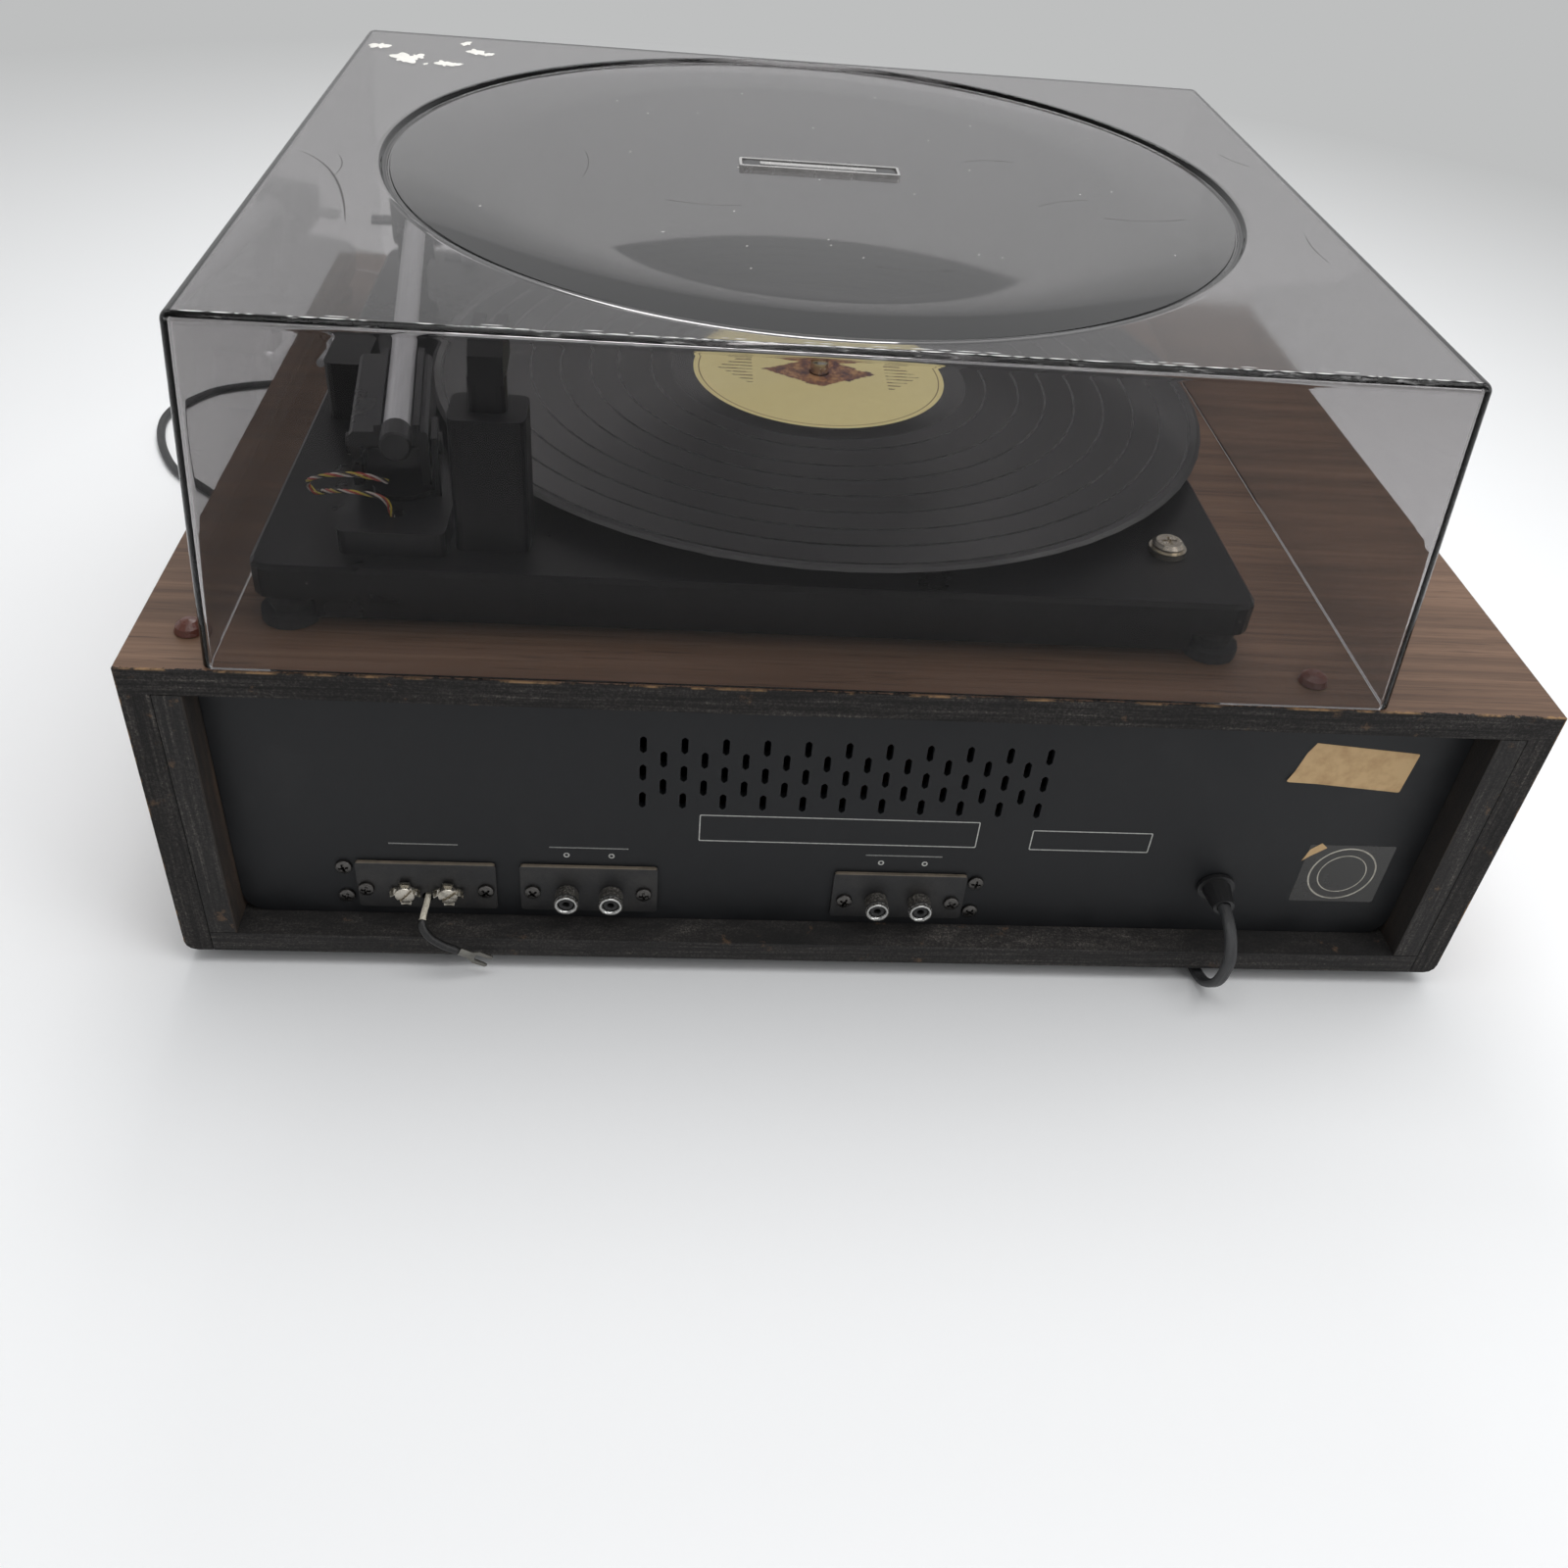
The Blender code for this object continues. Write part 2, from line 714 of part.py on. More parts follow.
def make_cabinet(look, raw, rubber, bumper):
    """The wrapped top and side boards, the bottom board, the battens, the feet and the lid's bumpers."""
    half = CABINET_WIDTH / 2
    outline = [(-INSIDE_HALF, up(0))]
    outline += arc(-half + LOWER_CORNER, up(LOWER_CORNER), LOWER_CORNER, 270, 180)
    outline += [(-half, up(CABINET_HEIGHT)), (half, up(CABINET_HEIGHT))]
    outline += arc(half - LOWER_CORNER, up(LOWER_CORNER), LOWER_CORNER, 0, -90)
    outline += [(INSIDE_HALF, up(0)), (INSIDE_HALF, up(CABINET_HEIGHT - BOARD))]
    outline += [(-INSIDE_HALF, up(CABINET_HEIGHT - BOARD))]
    opening = prism(
        rectangle(
            -TOP_OPENING_LEFT,
            TOP_OPENING_RIGHT,
            back(TOP_OPENING_FRONT),
            back(TOP_OPENING_REAR),
            TOP_OPENING_CORNER,
        ),
        up(CABINET_HEIGHT - BOARD - OVERRUN),
        over(OVERRUN),
    )
    piece("cabinet_wrap", prism(outline, back(CABINET_DEPTH), back(0), "y"), look, cut=[opening])
    reach = INSIDE_HALF - SEAT
    piece("bottom_board", box(-reach, reach, back(CABINET_DEPTH), back(0), up(0), up(BOTTOM_BOARD)), raw)
    rebate_rear = PANEL_INSET + PANEL_THICKNESS + SEAT
    rebate_front = FASCIA_BACK - SEAT
    for side, name in ((-1, "batten_left"), (1, "batten_right")):
        stop = ROOM_HALF - BATTEN_STOP
        plan = [
            (reach, back(0)),
            (ROOM_HALF, back(0)),
            (ROOM_HALF, back(rebate_rear)),
            (stop, back(rebate_rear)),
            (stop, back(rebate_front)),
            (ROOM_HALF, back(rebate_front)),
            (ROOM_HALF, back(CABINET_DEPTH)),
            (reach, back(CABINET_DEPTH)),
        ]
        piece(name, prism([(side * x, y) for x, y in plan], up(ROOM_FOOT), up(ROOM_TOP)), raw)
    foot = [(0, 0), (FOOT_RADIUS - FOOT_TAPER, 0), (FOOT_RADIUS, FOOT_TAPER)]
    foot += [(FOOT_RADIUS, FOOT_HEIGHT - SEAT), (0, FOOT_HEIGHT - SEAT)]
    places = {
        "foot_rear_left": (-1, FOOT_INSET_Y),
        "foot_rear_right": (1, FOOT_INSET_Y),
        "foot_front_left": (-1, CABINET_DEPTH - FOOT_INSET_Y),
        "foot_front_right": (1, CABINET_DEPTH - FOOT_INSET_Y),
    }
    for name, (side, inset) in places.items():
        piece(name, turned(foot, (side * (half - FOOT_INSET_X), back(inset), 0)), rubber)
    dome = [(0, SEAT)]
    dome += [(DOME_RADIUS * x, SEAT + DOME_HEIGHT * z) for x, z in arc(0, 0, 1, 0, 90)[:-1]]
    dome += [(0, SEAT + DOME_HEIGHT)]
    for name, x, inset in (
        ("lid_dome_right", LID_RIGHT + DOME_RIGHT_GAP, DOME_RIGHT_INSET),
        ("lid_dome_left", LID_LEFT + DOME_LEFT_GAP, DOME_LEFT_INSET),
    ):
        piece(name, turned(dome, (x, back(inset), TOP)), bumper)


def oval(width, height, x, y, z, steps=COUNT_ROUND):
    """The points of an ellipse that faces along y."""
    angles = [math.tau * i / steps for i in range(steps)]
    return [(x + width / 2 * math.cos(a), y, z + height / 2 * math.sin(a)) for a in angles]


def vent_slots():
    """Rows of slots, each row half a pitch to the side of the next."""
    within = back(PANEL_INSET + PANEL_THICKNESS + OVERRUN)
    outside = back(PANEL_INSET - OVERRUN)
    slots = []
    for row in range(2 * VENT_ROWS - 1):
        columns = VENT_COLUMNS - row % 2
        z = up(VENT_TOP_ROW - row * VENT_PITCH_Z / 2)
        for column in range(columns):
            x = VENT_CENTRE_X + (column - (columns - 1) / 2) * VENT_PITCH_X
            outline = rectangle(
                x - VENT_WIDTH / 2,
                x + VENT_WIDTH / 2,
                z - VENT_HEIGHT / 2,
                z + VENT_HEIGHT / 2,
                VENT_CORNER,
                1,
            )
            slots.append(prism(outline, within, outside, "y"))
    return several(slots)


def make_rear(look, nickel, plastic):
    """The rear panel with its vents, and the three connector plates on it."""
    half = ROOM_HALF - SEAT
    outline = arc(-half + PANEL_CORNER, up(ROOM_FOOT + PANEL_CORNER), PANEL_CORNER, 180, 270)
    outline += arc(half - PANEL_CORNER, up(ROOM_FOOT + PANEL_CORNER), PANEL_CORNER, 270, 360)
    outline += [(half, up(ROOM_TOP)), (-half, up(ROOM_TOP))]
    behind = back(PANEL_INSET + PANEL_THICKNESS)
    windows = []
    for x in (ANTENNA_X, TAPE_X, SPEAKER_X):
        window = rectangle(
            x - WINDOW_WIDTH / 2,
            x + WINDOW_WIDTH / 2,
            up(PLATE_MIDDLE - WINDOW_HEIGHT / 2),
            up(PLATE_MIDDLE + WINDOW_HEIGHT / 2),
        )
        windows.append(prism(window, behind - OVERRUN, back(PANEL_INSET - OVERRUN), "y"))
    width = RELIEF_ROOT_WIDTH + 2 * RELIEF_HOLE_GAP
    height = RELIEF_ROOT_HEIGHT + 2 * RELIEF_HOLE_GAP
    ends = (behind - OVERRUN, back(PANEL_INSET - OVERRUN))
    gland = loft([oval(width, height, RELIEF_X, y, up(RELIEF_HEIGHT)) for y in ends])
    panel = prism(outline, behind, back(PANEL_INSET), "y")
    piece("rear_panel", panel, look, cut=[vent_slots(), several([*windows, gland])])

    face = back(PANEL_INSET - SEAT - PLATE_THICKNESS)
    low = up(PLATE_MIDDLE - PLATE_HEIGHT / 2)

    def plate(x):
        edges = rectangle(x - PLATE_WIDTH / 2, x + PLATE_WIDTH / 2, low, low + PLATE_HEIGHT, PLATE_CORNER, 2)
        return prism(edges, face - PLATE_THICKNESS, face, "y")

    barrel = [(0, -JACK_DEPTH), (JACK_RADIUS, -JACK_DEPTH), (JACK_RADIUS, JACK_REACH), (0, JACK_REACH)]
    mouth = [(0, JACK_FLOOR - JACK_DEPTH), (JACK_BORE, JACK_FLOOR - JACK_DEPTH)]
    mouth += [(JACK_BORE, JACK_REACH + OVERRUN), (0, JACK_REACH + OVERRUN)]
    for name, x, pitch in (
        ("tape_plate", TAPE_X, TAPE_JACK_PITCH),
        ("speaker_plate", SPEAKER_X, SPEAKER_JACK_PITCH),
    ):
        places = [(x + side * pitch / 2, face, up(PLATE_MIDDLE - JACK_DROP)) for side in (-1, 1)]
        barrels = several([turned(barrel, place, "y", COUNT_JACK) for place in places])
        mouths = several([turned(mouth, place, "y", COUNT_JACK) for place in places])
        piece(name, plate(x), look, add=[barrels], cut=[mouths])

    def hole(radius, place):
        profile = [(0, -OVERRUN), (radius, -OVERRUN), (radius, OVERRUN), (0, OVERRUN)]
        return turned(profile, place, "y", COUNT_SMALL)

    holes = [hole(LEAD_HOLE_RADIUS, (TERMINAL_MIDDLE_X, face, up(PLATE_MIDDLE - LEAD_HOLE_DROP)))]
    for side in (-1, 1):
        place = (TERMINAL_MIDDLE_X + side * TERMINAL_PITCH / 2, face, up(PLATE_MIDDLE - TERMINAL_DROP))
        holes.append(hole(TERMINAL_SHANK + SEAT, place))
        screw = [(0, -TERMINAL_LENGTH), (TERMINAL_SHANK, -TERMINAL_LENGTH), (TERMINAL_SHANK, SEAT)]
        screw += [(TERMINAL_RADIUS, SEAT), (TERMINAL_RADIUS, SEAT + TERMINAL_HEAD), (0, SEAT + TERMINAL_HEAD)]
        name = "terminal_left" if side < 0 else "terminal_right"
        piece(name, turned(screw, place, "y", COUNT_SMALL), nickel)
    piece("antenna_plate", plate(ANTENNA_X), look, cut=[several(holes)])

    root = (RELIEF_ROOT_WIDTH, RELIEF_ROOT_HEIGHT)
    flange = (RELIEF_ROOT_WIDTH + 2 * RELIEF_FLANGE_GROWTH, RELIEF_ROOT_HEIGHT + 2 * RELIEF_FLANGE_GROWTH)
    tip = (RELIEF_TIP_WIDTH, RELIEF_TIP_HEIGHT)
    bore = (2 * RELIEF_BORE, 2 * RELIEF_BORE)
    inner_end = PANEL_INSET + PANEL_THICKNESS + SEAT + RELIEF_INSIDE
    sections = [
        (tip, inner_end),
        (flange, PANEL_INSET + PANEL_THICKNESS + SEAT),
        (root, PANEL_INSET + PANEL_THICKNESS + SEAT),
        (root, PANEL_INSET - SEAT),
        (flange, PANEL_INSET - SEAT),
        (flange, PANEL_INSET - SEAT - RELIEF_FLANGE),
        (root, PANEL_INSET - SEAT - RELIEF_FLANGE),
        (tip, 0),
        (bore, 0),
        (bore, inner_end),
    ]
    rings = [oval(*size, RELIEF_X, back(inset), up(RELIEF_HEIGHT)) for size, inset in sections]
    piece("strain_relief", loft(rings, closed=True), plastic)


# The cord's route, chosen by hand: out of the strain relief, down, under the cabinet and round to its front
CORD_ROUTE = [
    (-0.1420, 0.1604, 0.0395),
    (-0.1420, 0.1715, 0.0395),
    (-0.1420, 0.1835, 0.0395),
    (-0.1422, 0.1915, 0.0377),
    (-0.1424, 0.1974, 0.0328),
    (-0.1427, 0.1995, 0.0260),
    (-0.1428, 0.1968, 0.0143),
    (-0.1426, 0.1895, 0.0057),
    (-0.1420, 0.1828, 0.0029),
    (-0.1400, 0.1710, 0.0025),
    (-0.1300, 0.1560, 0.0025),
    (-0.1000, 0.1380, 0.0025),
    (-0.0600, 0.1150, 0.0025),
    (-0.0200, 0.0835, 0.0025),
    (0.0300, 0.0480, 0.0025),
    (0.0800, 0.0135, 0.0025),
    (0.1300, -0.0190, 0.0025),
    (0.1800, -0.0515, 0.0025),
    (0.2300, -0.0870, 0.0025),
    (0.2800, -0.1270, 0.0025),
    (0.3198, -0.1638, 0.0025),
    (0.3398, -0.1852, 0.0025),
    (0.3550, -0.2160, 0.0025),
    (0.3612, -0.2470, 0.0025),
    (0.3540, -0.2740, 0.0025),
    (0.3350, -0.2925, 0.0025),
    (0.3000, -0.3020, 0.0025),
    (0.2500, -0.2930, 0.0025),
    (0.2050, -0.2790, 0.0025),
    (0.1600, -0.2750, 0.0025),
]


def coil_points():
    """The coil's centre line: in on the lower layer, a climb in half a turn, and out on the upper layer."""
    inner = COIL_RADIUS - COIL_PITCH * COIL_TURNS_A_LAYER / 2
    outer = COIL_RADIUS + COIL_PITCH * COIL_TURNS_A_LAYER / 2
    floor = CORD_DIAMETER / 2 + CORD_LIFT
    layer = COIL_TURNS_A_LAYER * COIL_POINTS_A_TURN
    climb = COIL_POINTS_A_TURN // 2
    points = [Vector((COIL_X + CORD_DIAMETER, back(COIL_INSET) - outer, floor))]
    for i in range(2 * layer + climb + 1):
        if i <= layer:
            radius, share = outer + (inner - outer) * i / layer, 0
        elif i <= layer + climb:
            radius, share = inner, (i - layer) / climb
        else:
            radius, share = inner + (outer - inner) * (i - layer - climb) / layer, 1
        angle = -math.pi / 2 - math.tau * i / COIL_POINTS_A_TURN
        x = COIL_X + radius * math.cos(angle)
        y = back(COIL_INSET) + radius * math.sin(angle)
        points.append(Vector((x, y, floor + COIL_LAYER * share)))
    points.append(points[-1] + Vector((CORD_DIAMETER, 0, 0)))
    points.append(points[-2] + Vector((COIL_TAIL, 0, 0)))
    return points


def least_gap(points, diameter):
    """The least gap between parts of a tube that lie over four diameters apart along it."""
    lengths = [0]
    for a, b in zip(points, points[1:]):
        lengths.append(lengths[-1] + (b - a).length)
    least = lengths[-1]
    for i, a in enumerate(points):
        for j in range(i + 1, len(points)):
            if lengths[j] - lengths[i] > 4 * diameter:
                least = min(least, (points[j] - a).length)
    return least - diameter


def make_cord(look):
    """The mains cord: its free stretch, the coil at its end and the plug."""
    coil = coil_points()
    start = coil[0]
    route = [Vector(place) for place in CORD_ROUTE]
    route.append(start + Vector((SEAT, 0, 0)))
    points = through(route, CORD_POINT_GAP, CORD_BEND, CORD_BEND_GAP)
    tube("power_cord", points, CORD_DIAMETER, look)
    length = sum((b - a).length for a, b in zip([*points, *coil], [*points[1:], *coil]))
    print(f"length of the cord: {length:.3f} m, {len(points)} points in its free stretch")
    tube("cord_coil", coil, CORD_DIAMETER, look, resolution=1)
    print(f"least gap in the coil: {1000 * least_gap(coil, CORD_DIAMETER):.2f} mm")

    x, y, z = coil[-1]
    rear = x + SEAT
    half = z - CORD_LIFT
    sections = []
    for share, width, height, corner in (
        (0, PLUG_NECK_WIDTH, PLUG_NECK_HEIGHT, PLUG_NECK_CORNER),
        (PLUG_NECK_SHARE, PLUG_NECK_WIDTH, PLUG_NECK_HEIGHT, PLUG_NECK_CORNER),
        (PLUG_BODY_SHARE, PLUG_WIDTH, 2 * half, PLUG_CORNER),
        (1, PLUG_WIDTH, 2 * half, PLUG_CORNER),
    ):
        edges = rectangle(y - width / 2, y + width / 2, z - height / 2, z + height / 2, corner, 3)
        sections.append([(rear + share * PLUG_LENGTH, b, c) for b, c in edges])
    end = rear + PLUG_LENGTH
    prongs = [
        box(
            end - OVERRUN,
            end + PRONG_LENGTH,
            y + side * PRONG_PITCH / 2 - PRONG_WIDTH / 2,
            y + side * PRONG_PITCH / 2 + PRONG_WIDTH / 2,
            z - PRONG_HEIGHT / 2,
            z + PRONG_HEIGHT / 2,
        )
        for side in (-1, 1)
    ]
    piece("power_plug", loft(sections), look, add=prongs)


# The aerial lead's route, chosen by hand: out through the plate and down to its lug
LEAD_ROUTE = [
    (0.1491, 0.1655, 0.0258),
    (0.1491, 0.1735, 0.0258),
    (0.1491, 0.1780, 0.0261),
    (0.1492, 0.1838, 0.0268),
    (0.1490, 0.1876, 0.0250),
    (0.1465, 0.1890, 0.0212),
    (0.1420, 0.1890, 0.0172),
    (0.1372, 0.1885, 0.0142),
]


def make_aerial_lead(look, metal):
    tube("antenna_lead", through(LEAD_ROUTE, LEAD_DIAMETER), LEAD_DIAMETER, look, resolution=1)
    end, before = Vector(LEAD_ROUTE[-1]), Vector(LEAD_ROUTE[-2])
    way = (end - before).normalized()
    start = end + way * SEAT
    angle = math.atan2(way.z, way.x)
    sine, cosine = math.sin(angle), math.cos(angle)
    fork = [(0, -LUG_WIDTH / 2), (LUG_LENGTH, -LUG_WIDTH / 2), (LUG_LENGTH, -LUG_SLOT / 2)]
    fork += [(LUG_LENGTH - LUG_SLOT_LENGTH, -LUG_SLOT / 2), (LUG_LENGTH - LUG_SLOT_LENGTH, LUG_SLOT / 2)]
    fork += [(LUG_LENGTH, LUG_SLOT / 2), (LUG_LENGTH, LUG_WIDTH / 2), (0, LUG_WIDTH / 2)]
    outline = [(start.x + u * cosine - v * sine, start.z + u * sine + v * cosine) for u, v in fork]
    lug = prism(outline, start.y - LUG_THICKNESS / 2, start.y + LUG_THICKNESS / 2, "y")
    piece("antenna_lug", lug, metal, smooth=False)


def spread(outline, x, y, count):
    """An outline with points added until, seen from (x, y), neighbours are within a step of a circle."""
    dense = []
    for (a, b), (c, d) in zip(outline, outline[1:] + outline[:1]):
        p, q = (a - x, b - y), (c - x, d - y)
        start = math.atan2(p[1], p[0])
        turn = (math.atan2(q[1], q[0]) - start + math.pi) % math.tau - math.pi
        parts = max(1, math.ceil(abs(turn) * count / math.tau))
        for i in range(parts):
            sine, cosine = math.sin(start + turn * i / parts), math.cos(start + turn * i / parts)
            across = (p[0] - q[0]) * sine - (p[1] - q[1]) * cosine
            share = (p[0] * sine - p[1] * cosine) / across if i else 0
            dense.append((a + (c - a) * share, b + (d - b) * share))
    return dense


def drawn_in(points, edges, corner, by):
    """The points of a rounded rectangle moved inwards, square to its outline."""
    left, right, low, high = edges
    moved = []
    for x, y in points:
        core = Vector((min(max(x, left + corner), right - corner), min(max(y, low + corner), high - corner)))
        out = (Vector((x, y)) - core).normalized()
        moved.append((x - out.x * by, y - out.y * by))
    return moved


def turntable_place(distance, degrees, height=0):
    angle = math.radians(degrees)
    x = TURNTABLE_X + distance * math.cos(angle)
    y = back(TURNTABLE_INSET) + distance * math.sin(angle)
    return (x, y, over(height))


def drive_places():
    """The motor's axis, and the idler's, which touches the pulley and the inside of the platter's rim."""
    reach = PLATTER_RADIUS - PLATTER_RIM - SEAT - IDLER_RADIUS
    between = IDLER_RADIUS + PULLEY_RADIUS + SEAT
    cosine = (reach**2 + MOTOR_ARM**2 - between**2) / (2 * reach * MOTOR_ARM)
    aside = math.degrees(math.acos(cosine))
    motor = turntable_place(MOTOR_ARM, MOTOR_DIRECTION_DEG)
    return motor, turntable_place(reach, MOTOR_DIRECTION_DEG + aside)


def mount_places():
    for x, side in ((DECK_LEFT + MOUNT_SIDE, "left"), (DECK_RIGHT - MOUNT_SIDE, "right")):
        for inset, end in ((DECK_REAR + MOUNT_REAR, "rear"), (DECK_FRONT - MOUNT_FRONT, "front")):
            yield f"deck_mount_{end}_{side}", (x, back(inset), TOP)


def make_deck(look, rubber, nickel):
    """The moulded deck with its well, lip and lever turret, on four mounts, with two transit screws."""
    edges = (DECK_LEFT, DECK_RIGHT, back(DECK_FRONT), back(DECK_REAR))
    x, y = TURNTABLE_X, back(TURNTABLE_INSET)
    outline = spread(rectangle(*edges, DECK_CORNER), x, y, COUNT_WIDE)

    def ring(by, height):
        return flat(drawn_in(outline, edges, DECK_CORNER, by), over(height))

    def circle(radius, height):
        return round_about(outline, x, y, radius, over(height))

    underside = DECK_TOP - DECK_THICKNESS
    sections = [
        circle(WELL_RADIUS, WELL_FLOOR),
        circle(WELL_RADIUS, DECK_TOP - DECK_EDGE),
        circle(WELL_RADIUS + DECK_EDGE, DECK_TOP),
        ring(DECK_EDGE, DECK_TOP),
        ring(0, DECK_TOP - DECK_EDGE),
        ring(0, DECK_TOP - DECK_LIP),
        ring(DECK_STEP, DECK_TOP - DECK_LIP),
        ring(DECK_STEP, DECK_FOOT),
        ring(DECK_STEP + DECK_WALL, DECK_FOOT),
        ring(DECK_STEP + DECK_WALL, underside),
        circle(WELL_RADIUS + WELL_THICKNESS, underside),
        circle(WELL_RADIUS + WELL_THICKNESS, WELL_FLOOR - WELL_THICKNESS),
    ]
    motor, idler = drive_places()
    low, rest = WELL_FLOOR - SEAT, IDLER_HEIGHT - SEAT
    pin_top = IDLER_HEIGHT + IDLER_THICKNESS + IDLER_PIN
    shoulder = [(0, low), (IDLER_SHOULDER, low), (IDLER_SHOULDER, rest)]
    shoulder += [(IDLER_PIN, rest), (IDLER_PIN, pin_top), (0, pin_top)]
    turret_left = TURRET_RIGHT - TURRET_WIDTH
    turret = prism(
        rectangle(turret_left, TURRET_RIGHT, back(TURRET_FRONT), back(TURRET_REAR), TURRET_CORNER),
        over(DECK_TOP - SEAT),
        over(TURRET_TOP),
    )

    def hole(radius, place, low, high, steps=COUNT_SMALL):
        return turned([(0, low), (radius, low), (radius, high), (0, high)], place, steps=steps)

    floor = (WELL_FLOOR - WELL_THICKNESS - OVERRUN, WELL_FLOOR + OVERRUN)
    top = (underside - OVERRUN, DECK_TOP + OVERRUN)
    pocket = MOUNT_SEAT_RADIUS + MOUNT_GAP
    step = DECK_TOP - DECK_LIP - SEAT
    neck = MOUNT_RADIUS + MOUNT_RIB + SEAT
    bores = []
    for _, place in mount_places():
        profile = [(0, DECK_FOOT - OVERRUN), (pocket, DECK_FOOT - OVERRUN), (pocket, step)]
        profile += [(neck, step), (neck, underside), (0, underside)]
        bores.append(turned(profile, place))
    for tx, inset in ((TRANSIT_REAR_X, TRANSIT_REAR_INSET), (TRANSIT_FRONT_X, TRANSIT_FRONT_INSET)):
        bores.append(hole(TRANSIT_SHANK + SEAT, (tx, back(inset), TOP), *top))
    bores.append(hole(SPINDLE_RADIUS + SEAT, (x, y, TOP), *floor))
    bores.append(hole(MOTOR_BOSS_RADIUS + SEAT, motor, *floor))
    bores.append(hole(GIMBAL_STEM_RADIUS + RUNNING_GAP, (ARM_X, back(ARM_INSET), TOP), *top))
    bores.append(hole(WIRE_HOLE_RADIUS, (ARM_X, back(WIRE_HOLE_INSET), TOP), *top))
    for lever_x in (START_X, SPEED_X):
        slot = rectangle(
            lever_x - LEVER_SLOT_LENGTH / 2,
            lever_x + LEVER_SLOT_LENGTH / 2,
            back(SLIDE_INSET) - LEVER_SLOT_WIDTH / 2,
            back(SLIDE_INSET) + LEVER_SLOT_WIDTH / 2,
            LEVER_SLOT_CORNER,
            2,
        )
        bores.append(prism(slot, over(top[0]), over(top[1])))
    wide, deep = CUE_ROD + SEAT, -CUE_ROOT - SEAT
    cue = [(0, deep), (wide, deep), (wide, OVERRUN), (0, OVERRUN)]
    bores.append(turned(cue, (TURRET_RIGHT, back(CUE_INSET), over(CUE_HEIGHT)), "x", COUNT_SMALL))
    added = [turret, turned(shoulder, idler, steps=COUNT_SMALL)]
    piece("deck_plate", loft(sections), look, add=added, cut=[several(bores)])

    body = [(0, SEAT), (MOUNT_SEAT_RADIUS, SEAT), (MOUNT_SEAT_RADIUS, MOUNT_SEAT_HEIGHT)]
    rib = (underside - SEAT - MOUNT_SEAT_HEIGHT) / (2 * MOUNT_RIBS)
    for i in range(2 * MOUNT_RIBS + 1):
        body.append((MOUNT_RADIUS - MOUNT_RIB * (-1) ** i, MOUNT_SEAT_HEIGHT + i * rib))
    body.append((0, underside - SEAT))
    for name, place in mount_places():
        piece(name, turned(body, place, steps=COUNT_JACK), rubber)

    low = DECK_THICKNESS + 2 * OVERRUN
    high = SEAT + TRANSIT_WASHER
    screw = [(0, -low), (TRANSIT_SHANK, -low), (TRANSIT_SHANK, SEAT), (TRANSIT_WASHER_RADIUS, SEAT)]
    screw += [(TRANSIT_WASHER_RADIUS, high), (TRANSIT_HEAD_RADIUS, high)]
    screw.append((TRANSIT_HEAD_RADIUS, high + TRANSIT_HEAD / 2))
    screw.append((TRANSIT_HEAD_RADIUS * TRANSIT_TOP_SHARE, high + TRANSIT_HEAD))
    screw.append((0, high + TRANSIT_HEAD))
    for name, tx, inset in (
        ("transit_screw_rear", TRANSIT_REAR_X, TRANSIT_REAR_INSET),
        ("transit_screw_front", TRANSIT_FRONT_X, TRANSIT_FRONT_INSET),
    ):
        place = Vector((tx, back(inset), over(DECK_TOP)))
        top_z = place.z + high + TRANSIT_HEAD
        long, thin = TRANSIT_HEAD_RADIUS / 2, TRANSIT_SLOT / 2
        arms = [
            box(tx - a, tx + a, place.y - b, place.y + b, top_z - TRANSIT_SLOT_DEPTH, top_z + OVERRUN)
            for a, b in ((long, thin), (thin, long))
        ]
        piece(name, turned(screw, place), nickel, cut=arms)


